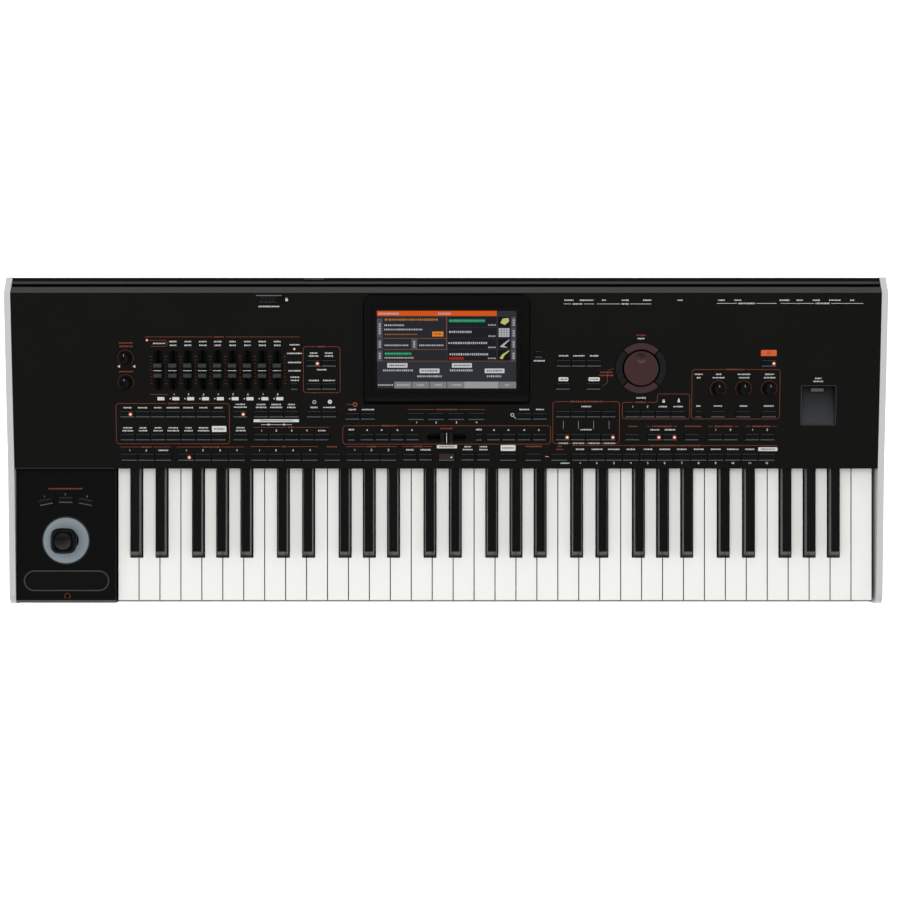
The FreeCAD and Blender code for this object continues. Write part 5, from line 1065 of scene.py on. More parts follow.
@dataclass
class PanelPrint:
    """Everything printed on the control panel."""

    plane: Plane
    line: float = 0.42 * MM
    letter: float = 1.7 * MM
    corner: float = 3.2 * MM
    pixel: float = 1.11 * MM
    plate_corner: float = 0.8 * MM
    sign_corner: float = 0.4 * MM
    sign_line: float = 0.4 * MM

    THIN_SHARE = 0.55
    THICK_SHARE = 1.6
    NUMBER_SHARE = 1.1
    ARROW_SHARE = 0.6
    LABEL_SHARES = (0.5, 0.85)
    SECOND_LINE_RISE_SHARE = 1.9
    SECOND_LINE_SHARE = 0.8
    PLATE_WORD_SHARES = (0.72, 0.42)
    BEND_SHARES = (0.0, 0.25, 0.5, 0.75, 1.0)

    FRAMES = (
        (Box(116.6, 403.5, 229.2, 443.8), (166.5, 179.0)),
        (Box(303.5, 346.6, 340.0, 392.7), (316.0, 327.0)),
        (Box(342.8, 425.7, 550.6, 444.1), (380.5, 398.5)),
        (Box(552.7, 401.6, 619.6, 443.4), (568.5, 604.8)),
        (Box(691.5, 369.5, 780.3, 418.9), (725.0, 746.0)),
    )
    STEPPED_FRAME = Box(622.3, 402.3, 689.6, 418.9)
    STEP_TOP = 394.0
    STEP_PX = 657.4
    STEP_WORD = (633.4, 647.7)
    STEP_GAP = 4.0
    HEADERS = tuple(Header(*row) for row in (
        (144.8, 299.8, 336.9, 212.4, 225.4), (120.0, 171.0, 447.0, 138.9, 153.1),
        (176.6, 244.4, 447.0, 200.9, 220.9), (250.6, 318.0, 446.6, 280.4, 287.4),
        (346.2, 396.9, 446.6, 365.0, 377.4), (402.2, 432.2, 446.5, 410.9, 424.2),
        (253.8, 329.6, 427.3, 287.0, 294.9), (407.9, 485.1, 409.5, 434.7, 459.3),
        (572.1, 777.3, 445.5, 648.7, 702.0), (647.0, 676.8, 426.3, 650.5, 673.5),
        (708.3, 738.6, 426.3, 713.0, 734.0), (746.2, 776.8, 426.3, 751.0, 772.0),
    ))
    ORANGE_WORDS = tuple(Word(*row) for row in (
        (125.9, 342.9, 12.5), (125.9, 346.3, 12.5), (126.2, 371.6, 14.0), (332.0, 446.7, 10.0),
        (446.6, 428.5, 12.0), (533.6, 446.4, 15.5), (606.3, 372.3, 12.0), (606.3, 375.4, 14.0),
        (641.0, 335.2, 9.0), (559.9, 446.3, 4.0), (559.9, 449.4, 6.0), (632.9, 426.4, 8.0),
        (693.2, 426.3, 16.0),
    ))
    WHITE_WORDS = tuple(Word(*row) for row in (
        (268.9, 306.5, 20.0), (159.0, 343.4, 11.0), (294.5, 344.8, 10.5), (294.5, 353.4, 14.5),
        (294.5, 362.5, 12.5), (294.5, 370.8, 12.5), (294.8, 377.2, 9.0), (294.8, 380.4, 7.5),
        (539.2, 360.8, 11.0), (641.0, 338.6, 6.5), (641.0, 397.9, 10.0), (586.2, 406.5, 9.5),
        (585.9, 429.7, 10.0), (565.0, 463.2, 9.0), (698.7, 374.3, 7.5), (698.7, 377.7, 3.0),
        (718.6, 374.3, 5.5), (718.6, 377.7, 10.5), (744.0, 374.3, 13.0), (744.0, 377.7, 10.5),
        (769.7, 374.3, 9.0), (769.7, 377.7, 10.5), (818.3, 378.4, 5.5), (818.3, 381.4, 9.5),
        (568.9, 300.2, 9.5), (586.6, 300.2, 13.0), (604.0, 300.2, 4.0), (625.2, 300.2, 6.5),
        (647.2, 300.2, 7.5), (680.0, 300.2, 5.0), (721.4, 300.2, 6.0), (737.7, 300.2, 7.0),
        (784.5, 300.2, 9.0), (799.7, 300.2, 6.0), (816.2, 300.2, 7.0), (834.8, 300.2, 10.5),
        (852.2, 300.2, 4.0), (563.3, 443.3, 9.5), (578.5, 443.3, 11.5), (593.8, 443.3, 11.5),
        (609.3, 443.3, 11.0), (321.7, 369.7, 9.0),
    ))
    WHITE_LINES = tuple(Header(*row) for row in (
        (563.6, 594.0, 303.9, 571.0, 584.0), (597.0, 651.4, 303.9, 620.0, 630.0),
        (716.8, 776.5, 303.4, 737.0, 756.5), (780.6, 863.3, 303.4, 814.0, 831.0),
    ))
    WHITE_PLATES = (
        Box(253.6, 419.3, 299.0, 422.1), Box(212.0, 426.0, 226.3, 431.9), Box(436.8, 445.0, 457.0, 448.3),
        Box(500.7, 445.0, 515.5, 450.9), Box(558.6, 377.3, 568.3, 381.1), Box(588.6, 377.3, 599.6, 381.1),
        Box(758.2, 447.3, 777.5, 451.0),
    )
    STANDBY_PLATE = Box(761.0, 350.0, 776.7, 356.0)
    WORD, TWO_LINES, NUMBER, ARROW = Glyph
    LABELS = tuple(LabelRun(*row) for row in (
        (115, 229, 413.6, 407.7, WORD), (115, 211, 436.6, 430.7, TWO_LINES),
        (236, 252, 413.6, 407.2, TWO_LINES), (236, 252, 436.6, 430.6, TWO_LINES),
        (253, 300, 413.6, 407.4, TWO_LINES), (253, 315, 436.6, 430.6, NUMBER),
        (315, 332, 436.6, 430.6, WORD), (303, 341, 413.6, 407.4, WORD), (303, 341, 387.0, 380.5, WORD),
        (303, 341, 363.0, 356.0, TWO_LINES), (345, 377, 415.5, 409.6, WORD),
        (515, 549, 415.5, 409.5, WORD), (407, 486, 415.5, 422.4, NUMBER),
        (346, 358, 436.6, 429.6, WORD), (360, 425, 436.6, 430.0, ARROW),
        (474, 485, 436.6, 429.6, WORD), (486, 551, 436.6, 430.0, ARROW),
        (555, 602, 363.0, 355.8, WORD), (622, 657, 413.6, 406.6, NUMBER),
        (657, 691, 413.6, 406.6, WORD), (645, 680, 436.6, 429.8, WORD),
        (708, 742, 436.6, 429.8, NUMBER), (742, 780, 436.6, 429.8, NUMBER),
        (692, 782, 413.6, 406.0, WORD), (115, 151, 456.7, 450.3, NUMBER),
        (151, 171, 456.7, 450.3, WORD), (176, 246, 456.7, 450.3, NUMBER),
        (250, 320, 456.7, 450.3, NUMBER), (345, 398, 456.7, 450.0, NUMBER),
        (401, 434, 456.7, 449.8, WORD), (460, 492, 456.7, 449.6, TWO_LINES),
        (572, 757, 456.7, 449.3, WORD), (572, 780, 456.7, 463.0, NUMBER),
    ))
    ROW_REACH = 3.0
    RANGE_STROKES = ((563.4, 578.4, 593.6, 609.1), 420.8, 428.8)
    TICK_ROWS = (356.4, 383.5, 9)
    TICKS = (2.2 * MM, 1.3 * MM)
    FADER_WORDS = (341.6, 345.3)
    FADER_WORD_LENGTH = 7.5 * MM
    FADER_NUMBER = 394.4
    FADER_PILL = (398.7, 7.0, 3.2)
    PILL_OFFSET = 2.2 * MM
    PILL_CORNER = 0.5 * MM
    DOT_OFFSET = 4.0 * MM
    DOT_SIZE = (1.4 * MM, 1.4 * MM, 0.6 * MM)
    KNOB_ARC = 8.0
    KNOB_TURN = (-50.0, 230.0)
    VOLUME_MARKS = ((118.9, 134.2), 366.4)
    VOLUME_OUTLINE = ((-1.6 * MM, 0.0), (1.2 * MM, -1.7 * MM), (1.2 * MM, 1.7 * MM))
    SLIDER_FRAME = (
        (149.0, 340.3), (165.5, 340.3), (167.0, 341.8), (167.0, 345.0), (165.5, 346.4), (151.0, 346.4),
    )
    LINK = ((602.2, 385.9), (607.3, 383.0), (607.3, 371.0), (613.5, 368.3))
    ORANGE_DASHES = (((150.0, 394.5), (168.0, 394.5)), ((346.8, 404.5), (352.6, 404.5)))
    CHORD_ROW = 424.6
    WHITE_DASHES = (
        ((545.4, 456.5), (548.6, 456.5)), ((513.8, 416.7), (516.0, 418.8)),
        ((261.0, CHORD_ROW), (292.0, CHORD_ROW)),
    )
    CHORD_SIGNS = (268.5, 284.0)
    CHORD_SIZE = (2.0 * MM, 1.8 * MM)
    RECORD_RING = (355.0, 404.5)
    RECORD_SIZE = (2.0 * MM, 1.2 * MM)
    WHITE_RINGS = ((512.3, 414.9), (314.3, 402.0))
    RING_SIZE = (1.7 * MM, 0.6 * MM)
    DISC = (329.9, 401.8)
    DISC_SIZE = (1.5 * MM, 1.6 * MM)
    PADLOCKS = ((286.6, 299.4), (663.7, 400.9))
    LOCK_BODY = (2.8 * MM, 2.2 * MM)
    LOCK_DROP = 0.8 * MM
    LOCK_BOW = (1.0 * MM, 0.5 * MM)
    LOCK_RISE = 0.5 * MM
    HALF_TURN = (0.0, 180.0)
    METRONOME = (678.8, 400.4)
    METRONOME_OUTLINE = (
        (-1.5 * MM, -2.0 * MM), (1.5 * MM, -2.0 * MM), (0.5 * MM, 2.2 * MM), (-0.5 * MM, 2.2 * MM),
    )
    STANDBY_CORNER = 0.6 * MM
    STANDBY_RING = 1.5 * MM
    STANDBY_TURN = (120.0, 420.0)
    STANDBY_STROKE = (0.3 * MM, 2.0 * MM)

    def spot(self, box: Box) -> tuple[float, float, float, float]:
        """Find a rectangle of pixels on the panel.

        Args:
            box: The rectangle.

        Returns:
            Its middle across and along, its length and its depth.
        """
        x0, v0 = self.plane.under(box.left, box.foot)
        x1, v1 = self.plane.under(box.right, box.top)
        return (x0 + x1) / 2, (v0 + v1) / 2, x1 - x0, v1 - v0

    def row(self, py: float) -> float:
        """Place along the panel of a row of pixels."""
        return self.plane.under(0.0, py)[1]

    def framed(self, ink: Print, box: Box, gap: Place) -> None:
        """Print a frame with round corners, open for its title.

        Args:
            ink: The ink's sheet.
            box: The frame.
            gap: Ends of the opening, in pixels.
        """
        x, v, length, depth = self.spot(box)
        left, top = self.plane.under(gap[0], box.top)
        right, _ = self.plane.under(gap[1], box.top)
        loop = rounded(x, v, length, depth, self.corner)
        half = len(loop) // 2
        ink.stroke([(left, top), *loop[half:], *loop[:half], (right, top)], self.line)
        ink.word((left + right) / 2, top, right - left - 2 * self.letter, self.letter)

    def stepped(self, ink: Print) -> None:
        """Print the tempo frame, whose top steps up on the right.

        Args:
            ink: The ink's sheet.
        """
        box = self.STEPPED_FRAME
        left, right = self.STEP_WORD
        turns = (
            (left, box.top), (box.left, box.top), (box.left, box.foot), (box.right, box.foot),
            (box.right, self.STEP_TOP), (self.STEP_PX, self.STEP_TOP), (self.STEP_PX, box.top),
            (right, box.top),
        )
        places = [Vector(self.plane.under(*turn)) for turn in turns]
        path = [tuple(places[0])]
        for before, here, after in zip(places, places[1:], places[2:]):
            start = here + (before - here).normalized() * self.corner
            end = here + (after - here).normalized() * self.corner
            path += [tuple(start.lerp(here, mix).lerp(here.lerp(end, mix), mix)) for mix in self.BEND_SHARES]
        path.append(tuple(places[-1]))
        ink.stroke(path, self.line)
        middle, top = self.plane.under((left + right) / 2, box.top)
        ink.word(middle, top, (right - left - self.STEP_GAP) * self.pixel, self.letter)

    def header(self, ink: Print, header: Header) -> None:
        """Print a line on both sides of a word.

        Args:
            ink: The ink's sheet.
            header: The line.
        """
        ends = (header.left, header.word_left, header.word_right, header.right)
        places = [self.plane.under(px, header.py) for px in ends]
        ink.stroke(places[:2], self.line)
        ink.stroke(places[2:], self.line)
        (start, v), (end, _) = places[1:3]
        ink.word((start + end) / 2, v, end - start - 2 * self.letter, self.letter)

    def words(self, ink: Print, words: Sequence[Word]) -> None:
        """Single words of one ink."""
        for word in words:
            ink.word(*self.plane.under(word.px, word.py), word.length * self.pixel, self.letter)

    def label(self, ink: Print, run: LabelRun, caps: Sequence[Cap]) -> None:
        """Print the labels of one run of buttons.

        Args:
            ink: The ink's sheet.
            run: The run.
            caps: Every push button.
        """
        count = 0
        for cap in caps:
            px, py = CAMERA.pixel_of(self.plane.point(cap.x, cap.v, cap.top))
            if not run.left < px < run.right or abs(py - run.cap_py) > self.ROW_REACH:
                continue
            count += 1
            v = self.plane.under(px, run.label_py)[1]
            long = cap.length * ink.draw.uniform(*self.LABEL_SHARES)
            if run.glyph is Glyph.NUMBER:
                ink.number(str(count), cap.x, v, self.letter * self.NUMBER_SHARE)
            elif run.glyph is Glyph.ARROW:
                half = self.letter * self.ARROW_SHARE
                side = half if count % 2 else -half
                ink.shape(cap.x, v, ((-side, 0.0), (side, -half), (side, half)))
            else:
                ink.word(cap.x, v, long, self.letter)
            if run.glyph is Glyph.TWO_LINES:
                rise = self.letter * self.SECOND_LINE_RISE_SHARE
                ink.word(cap.x, v + rise, long * self.SECOND_LINE_SHARE, self.letter)

    def build(self, caps: Sequence[Cap], knobs: Sequence[Vector], sliders: Sequence[Vector]) -> None:
        """Print the panel.

        Args:
            caps: The push buttons.
            knobs: Middles of the knobs on the panel.
            sliders: Middles of the channel sliders on the panel.
        """
        orange = Print(self.plane, seed=3)
        white = Print(self.plane, seed=5)
        grey = Print(self.plane)
        plate = Print(self.plane)
        dark = Print(self.plane.raised(Print.proud), seed=9)
        for box, gap in self.FRAMES:
            self.framed(orange, box, gap)
        self.stepped(orange)
        for header in self.HEADERS:
            self.header(orange, header)
        self.words(orange, self.ORANGE_WORDS)
        for knob in knobs:
            width = self.THIN_SHARE * self.line
            orange.arc(knob.x, knob.y, self.KNOB_ARC * self.pixel, width, *self.KNOB_TURN)
        self.slider_marks(orange, white, sliders)
        self.signs(orange, white)
        self.words(white, self.WHITE_WORDS)
        for header in self.WHITE_LINES:
            self.header(white, header)
        self.plates(white, plate, dark)
        for run in self.LABELS:
            self.label(white, run, caps)
        columns, top, foot = self.RANGE_STROKES
        for px in columns:
            grey.stroke([self.plane.under(px, py) for py in (top, foot)], self.THICK_SHARE * self.line)
        for name, sheet, finish in (
            ("dark_print", dark, Paint.DARK_INK), ("orange_print", orange, Paint.ORANGE_INK),
            ("white_print", white, Paint.WHITE_INK), ("grey_print", grey, Paint.GREY_INK),
            ("standby_plate", plate, Paint.ORANGE_LABEL),
        ):
            sheet.solid.piece(name, finish, "case")

    def plates(self, white: Print, orange: Print, dark: Print) -> None:
        """Print plates with dark words, and the standby plate with its sign.

        Args:
            white: The plates' sheet.
            orange: The standby plate's sheet.
            dark: The sheet of what stands on them.
        """
        long, tall = self.PLATE_WORD_SHARES
        for box in self.WHITE_PLATES:
            x, v, length, depth = self.spot(box)
            white.patch(x, v, length, depth, self.plate_corner)
            dark.word(x, v, length * long, min(depth * tall, self.letter))
        x, v, length, depth = self.spot(self.STANDBY_PLATE)
        orange.patch(x, v, length, depth, self.STANDBY_CORNER)
        dark.arc(x, v, self.STANDBY_RING, self.sign_line, *self.STANDBY_TURN)
        dark.stroke([(x, v + rise) for rise in self.STANDBY_STROKE], self.sign_line)

    def signs(self, orange: Print, white: Print) -> None:
        """Print small signs: lines, rings, a disc, padlocks, a metronome, volume and chord marks.

        Args:
            orange: The sheet of orange ink.
            white: The sheet of white ink.
        """
        for path in (self.SLIDER_FRAME, self.LINK, *self.ORANGE_DASHES):
            orange.stroke([self.plane.under(*pixel) for pixel in path], self.line)
        for path in self.WHITE_DASHES:
            white.stroke([self.plane.under(*pixel) for pixel in path], self.line)
        orange.arc(*self.plane.under(*self.RECORD_RING), *self.RECORD_SIZE)
        for pixel in self.WHITE_RINGS:
            white.arc(*self.plane.under(*pixel), *self.RING_SIZE)
        white.arc(*self.plane.under(*self.DISC), *self.DISC_SIZE)
        for pixel in self.PADLOCKS:
            x, v = self.plane.under(*pixel)
            white.patch(x, v - self.LOCK_DROP, *self.LOCK_BODY, self.sign_corner)
            white.arc(x, v + self.LOCK_RISE, *self.LOCK_BOW, *self.HALF_TURN)
        white.shape(*self.plane.under(*self.METRONOME), self.METRONOME_OUTLINE)
        columns, py = self.VOLUME_MARKS
        for px in columns:
            white.shape(*self.plane.under(px, py), self.VOLUME_OUTLINE)
        for px in self.CHORD_SIGNS:
            white.patch(*self.plane.under(px, self.CHORD_ROW), *self.CHORD_SIZE, self.sign_corner)

    def slider_marks(self, orange: Print, white: Print, sliders: Sequence[Vector]) -> None:
        """Print ticks between the sliders, and their words, numbers and pills.

        Args:
            orange: The sheet of orange ink.
            white: The sheet of white ink.
            sliders: Middles of the sliders on the panel.
        """
        step = sliders[1].x - sliders[0].x
        first, last, count = self.TICK_ROWS
        long, short = self.TICKS
        for x in (sliders[0].x - step / 2, *(spot.x + step / 2 for spot in sliders)):
            for index in range(count):
                v = self.row(first + (last - first) * index / (count - 1))
                orange.patch(x, v, short if index % (count // 2) else long, self.sign_line)
        py, length, depth = self.FADER_PILL
        size = (length * self.pixel, depth * self.pixel, self.PILL_CORNER)
        for index, spot in enumerate(sliders):
            white.patch(spot.x + self.PILL_OFFSET, self.row(py), *size)
            if not index:
                continue
            for word_py in self.FADER_WORDS:
                white.word(spot.x, self.row(word_py), self.FADER_WORD_LENGTH, self.letter)
            white.number(str(index), spot.x, self.row(self.FADER_NUMBER), self.letter)
            white.patch(spot.x - self.DOT_OFFSET, self.row(py), *self.DOT_SIZE)


@dataclass
class ControlPanel:
    """The sloped panel with its buttons, lamps, sliders, knobs and dial."""

    plane: Plane
    button_edge: float = 0.7 * MM
    wide_edge: float = 1.1 * MM
    slider_edge: float = 0.3 * MM
    slot_length: float = 42.0 * MM
    lamp_radius: float = 2.6 * MM
    lamp_rise: float = 0.25 * MM
    lamp_root: float = 0.1 * MM
    lamp_margin: float = 1.5 * MM
    line_inset: float = 0.4 * MM
    line: float = 0.7 * MM
    lock_line: float = 0.8 * MM
    lock_gap: float = 0.9 * MM
    lock_set_back: float = 3.3 * MM
    lock_depth: float = 7.8 * MM
    lock_lap: float = 17.0 * MM
    port_drop: float = 11.0 * MM
    port_height: float = 5.0 * MM
    port_wall: float = 0.7 * MM
    collar_depth: float = 2.4 * MM
    fine_edge: float = 0.12 * MM
    well_fade_end: float = 10.0 * MM
    well_corner: float = 1.6 * MM
    well_line: float = 0.9 * MM
    well_proud: float = 0.3 * MM

    BUTTON_NODES = ("style_buttons", "player_buttons", "keyboard_buttons", "arranger_buttons")
    KNOB_NODES = ("volume_knob", "balance_knob", "effect_knob_1", "effect_knob_2", "effect_knob_3")
    SLIDER_COUNT = 9
    SIDES = (-1, 1)
    SLOT_FELT = (3.2 * MM, 2.8 * MM)
    CROSS_FELT = (2.9 * MM, 2.3 * MM)
    LOCK_LEVELS = (-2.9 * MM, -2.5 * MM)
    LOCK_ENDS = (256.0, 281.6)
    LOCK_ROW = 296.7
    PORT_MOUTH = (811.0, 391.6, 823.6, 388.3)
    WELL_MOUTH = (800.6, 425.2, 836.2, 385.6)
    LAMPS = (
        (130.7, 414.1), (243.4, 414.1), (317.5, 363.4), (189.5, 457.2), (146.9, 340.2), (294.3, 349.0),
        (567.1, 436.6), (612.8, 436.6), (658.7, 436.6), (674.3, 436.6), (773.7, 362.2),
    )
    LENS_SHARES = (1.0, 0.75, 0.5, 0.25, 0.06)
    CAP_LAMP_SHARE = 0.42
    PANEL_LAMP_SHARE = 0.7
    START_CAP = (446.7, 456.5)
    FLUTES = 22
    RING_STEPS = 66
    START_MARGINS = (1.0 * MM, 2.2 * MM)
    START_RISE = 0.35 * MM
    START_CORNER = 0.4 * MM
    START_EDGE = 0.02 * MM
    START_LAMP_SHARE = 0.3
    START_LAMP = (1.7 * MM, 1.7 * MM, 0.8 * MM)
    SHAFT = 3.0 * MM
    KNOB_FOOT = 0.8 * MM
    KNOB_SKIRT = (
        (0.3 * MM, 0.0, 0.0), (0.0, 0.4 * MM, 0.0), (0.0, 1.6 * MM, 0.0), (0.5 * MM, 2.2 * MM, 0.35 * MM),
    )
    KNOB_CROWN = (
        (1.0 * MM, 1.2 * MM, 0.35 * MM), (1.5 * MM, 0.3 * MM, 0.2 * MM), (2.2 * MM, 0.0, 0.0),
        (3.0 * MM, 0.25 * MM, 0.0),
    )
    KNOB_TIP = (0.4 * MM, 0.5 * MM)
    POINTER_DEPTH = 0.45 * MM
    POINTER_WIDTH = 0.7 * MM
    POINTER_CORNER = 0.25 * MM
    POINTER_SHARES = (0.56, 0.4)
    DIMPLE = (
        (0.0, tone(96, 66, 66)), (0.3, tone(60, 32, 33)), (0.7, tone(34, 18, 19)), (1.0, tone(28, 15, 16)),
    )
    DIMPLE_AWAY = 11.0 * MM
    DIMPLE_REACH = 5.6 * MM
    DIAL_EDGE = 0.5 * MM
    ARROW_EDGE = 0.4 * MM

    def caps(self) -> list[Cap]:
        """Find every push button of the panel.

        Returns:
            Their caps, row by row from the front.
        """
        found = []
        for node in self.BUTTON_NODES:
            for points in islands(node):
                low, high = self.plane.span(p for p in points if self.plane.place(p).z > 0)
                found.append(Cap(node, *((low + high) / 2).xy, high.z, *(high - low).xy))
        return sorted(found, key=lambda cap: (round(cap.v / MM), cap.x))

    def build(self) -> None:
        """Dress the panel and add what the solids leave out."""
        crest = max(points_of("control_panel"), key=lambda p: p.z)
        # The pale band on the rear slope behind the crest is a painted reflection of light from the rear.
        crest_reflection_paint = BandFinish(
            "satin_panel_paint_crest_reflection", tone(16, 16, 14), tone(19, 18, 16), 0.42, grain=2600.0, specular=0.08,
            near=crest.y, band=tone(62, 62, 60),
        )
        dress("control_panel", crest_reflection_paint)
        caps = self.caps()
        for node in (*self.BUTTON_NODES, "display_unlock_button"):
            dress(node, Paint.BUTTON, self.wide_edge if node == "arranger_buttons" else self.button_edge, 3)
        dress("speaker_lock_slider", Paint.BUTTON, self.slider_edge)
        self.lock_slot()
        self.stick_port()
        self.lamps(caps)
        self.start_cap(caps)
        slider = Slider(self.plane)
        sliders = [slider.build("fader_%d" % (i + 1)) for i in range(self.SLIDER_COUNT)]
        self.slots(sliders, slider.build("crossfader", across=True))
        knobs = [self.knob(node) for node in self.KNOB_NODES]
        self.dial()
        PanelPrint(self.plane).build(caps, knobs, sliders)

    def slots(self, sliders: Sequence[Vector], crossfader: Vector) -> None:
        """Lay dark strips of painted shadow on both sides of every slider's slot, and a pale painted
        highlight along the panel's front edge left of the keys.

        Args:
            sliders: Middles of the channel sliders on the panel.
            crossfader: Middle of the slider that slides across.
        """
        # Dark strips beside each slot stand for the shadow round it: painted shadow.
        shade_sheet = Print(self.plane)
        offset, width = self.SLOT_FELT
        cross_offset, cross_width = self.CROSS_FELT
        for side in self.SIDES:
            for spot in sliders:
                shade_sheet.patch(spot.x + side * offset, spot.y, width, self.slot_length)
            shade_sheet.patch(crossfader.x, crossfader.y + side * cross_offset, self.slot_length, cross_width)
        shade_sheet.solid.piece("slot_felt", Paint.SLOT, "case")
        # A pale line along the panel's front edge, as a painted highlight.
        low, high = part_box("joystick_panel")
        edge = Print(self.plane)
        edge.stroke([(x, self.line_inset) for x in (low.x, high.x)], self.line)
        edge.solid.piece("panel_front_edge_highlight", Paint.WELL_EDGE, "case")

    def lock_slot(self) -> None:
        """The plate that closes the lock's slot under the sheet, and the slot's pale rear edge."""
        low, high = self.plane.span(points_of("speaker_lock_slider"))
        plate = Print(self.plane, 1, *self.LOCK_LEVELS)
        length = high.x - low.x + self.lock_lap
        plate.patch((low.x + high.x) / 2, high.y - self.lock_set_back, length, self.lock_depth)
        plate.solid.piece("speaker_lock_plate", Paint.PANEL, "speaker_lock_slider")
        edge = Print(self.plane)
        ends = [self.plane.under(px, self.LOCK_ROW)[0] for px in self.LOCK_ENDS]
        edge.stroke([(x, high.y + self.lock_gap) for x in ends], self.lock_line)
        edge.solid.piece("speaker_lock_edge", Paint.GREY_INK, "case")

    def stick_port(self) -> None:
        """The stick's well with painted shade toward its rear, the metal mouth of its socket and the moulded
        edge round it.
        """
        low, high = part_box("usb_well")
        # The well darkens toward its rear: painted shade deeper in the recess.
        shaded_well = FadeFinish(
            "well_moulding", tone(58, 59, 62), tone(20, 21, 22), 0.5, grain=1800.0, specular=0.2,
            near=low.y, far=high.y - self.well_fade_end,
        )
        dress("usb_well", shaded_well)
        floor = self.plane.raised(-self.port_drop)
        left, front = floor.under(*self.PORT_MOUTH[:2])
        right, rear = floor.under(*self.PORT_MOUTH[2:])
        self.tube("stick_port_mouth", Paint.PORT, (left, right), (front, rear))
        self.tube("stick_port_collar", Paint.KNOB, (left, right), (rear, rear + self.collar_depth))
        edge = Print(self.plane, proud=self.well_proud)
        left, foot = self.plane.under(*self.WELL_MOUTH[:2])
        right, top = self.plane.under(*self.WELL_MOUTH[2:])
        path = rounded((left + right) / 2, (foot + top) / 2, right - left, top - foot, self.well_corner)
        edge.stroke(path, self.well_line, closed=True)
        edge.solid.piece("stick_well_edge", Paint.WELL_EDGE, "case", edge=self.fine_edge)

    def tube(self, name: str, finish: Finish, across: Place, along: Place) -> None:
        """Make a flat tube under the panel that points along it.

        Args:
            name: The piece's name.
            finish: Its finish.
            across: Its ends across the panel.
            along: Its ends along the panel.
        """
        wall = self.port_wall
        rings = []
        for inset, v in ((0.0, along[1]), (0.0, along[0]), (wall, along[0]), (wall, along[1])):
            x0, x1 = across[0] + inset, across[1] - inset
            w0, w1 = -self.port_drop - self.port_height + inset, -self.port_drop - inset
            rings.append([self.plane.point(x, v, w) for x, w in ((x0, w0), (x1, w0), (x1, w1), (x0, w1))])
        shell = Solid()
        shell.loft(rings, tube=True)
        shell.piece(name, finish, "case", edge=self.fine_edge)

    def lamps(self, caps: Sequence[Cap]) -> None:
        """Make lit lamps, each on the button under it or on the panel.

        Args:
            caps: The push buttons.
        """
        for index, pixel in enumerate(self.LAMPS):
            x, v = self.plane.under(*pixel)
            body, height, radius = "case", 0.0, self.lamp_radius * self.PANEL_LAMP_SHARE
            for cap in caps:
                if abs(cap.x - x) < cap.length / 2 and abs(cap.v - v) < cap.depth / 2 + self.lamp_margin:
                    body, height, v = cap.node, cap.top, cap.v
                    radius = min(self.lamp_radius, cap.depth * self.CAP_LAMP_SHARE)
                    break
            shares = (1.0, *self.LENS_SHARES)
            levels = [-self.lamp_root, *(self.lamp_rise * (1 - s * s) for s in self.LENS_SHARES)]
            lens = Solid()
            lens.loft([self.circle(x, v, height + w, radius * s) for w, s in zip(levels, shares)])
            made = lens.piece("lamp_%d" % (index + 1), Paint.LAMP, body, smooth=True)
            glow = made.data.attributes.new("reach", "FLOAT", "POINT")
            for i, spot in enumerate(glow.data):
                spot.value = shares[i // self.RING_STEPS]

    def circle(self, x: float, v: float, w: float, radius: float, flute: float = 0.0) -> list[Vector]:
        """A ring of points over the panel.

        Args:
            x: Its middle across.
            v: Its middle along.
            w: Its height over the panel.
            radius: Its radius.
            flute: Depth of its flutes, or 0.

        Returns:
            The points, in order.
        """
        ring = []
        for i in range(self.RING_STEPS):
            angle = math.tau * i / self.RING_STEPS
            reach = radius - flute * (0.5 + 0.5 * math.cos(angle * self.FLUTES))
            ring.append(self.plane.point(x + reach * math.cos(angle), v + reach * math.sin(angle), w))
        return ring

    def start_cap(self, caps: Sequence[Cap]) -> None:
        """Make the lit red face of the start button, with its small lamp.

        Args:
            caps: The push buttons.
        """
        x, v = self.plane.under(*self.START_CAP)
        cap = min(caps, key=lambda c: math.hypot(c.x - x, c.v - v))
        length, depth = (size - margin for size, margin in zip((cap.length, cap.depth), self.START_MARGINS))
        face = Print(self.plane.raised(cap.top))
        face.patch(cap.x, cap.v + self.START_RISE, length, depth, self.START_CORNER)
        face.solid.piece("start_cap_face", Paint.RED_CAP, cap.node, edge=self.START_EDGE)
        dot = Print(self.plane.raised(cap.top + Print.proud))
        dot.patch(cap.x + cap.length * self.START_LAMP_SHARE, cap.v, *self.START_LAMP)
        dot.solid.piece("start_cap_lamp", Paint.POINTER, cap.node)

    def knob(self, node: str) -> Vector:
        """Make a fluted knob on its shaft, with a pale pointer.

        Args:
            node: The knob's node.

        Returns:
            Its middle on the panel.
        """
        low, high = self.plane.span(points_of(node))
        middle = (low + high) / 2
        wide = (high.x - low.x) / 2
        top = high.z
        foot = self.KNOB_FOOT
        tip, dip = self.KNOB_TIP
        profile = [(self.SHAFT, low.z, 0.0), (self.SHAFT, foot, 0.0)]
        profile += [(wide - inset, foot + rise, flute) for inset, rise, flute in self.KNOB_SKIRT]
        profile += [(wide - inset, top - drop, flute) for inset, drop, flute in self.KNOB_CROWN]
        profile.append((tip, top - dip, 0.0))
        body = Solid()
        body.loft([self.circle(middle.x, middle.y, height, reach, flute) for reach, height, flute in profile])
        body.piece(node + "_cap", Paint.KNOB, node, "knob_black", smooth=True, stands_for=(node,))
        away, length = (share * wide for share in self.POINTER_SHARES)
        pointer = Print(self.plane.raised(top - self.POINTER_DEPTH), proud=self.POINTER_DEPTH)
        pointer.patch(middle.x, middle.y + away, self.POINTER_WIDTH, length, self.POINTER_CORNER)
        pointer.solid.piece(node + "_pointer", Paint.MARK, node)
        return middle

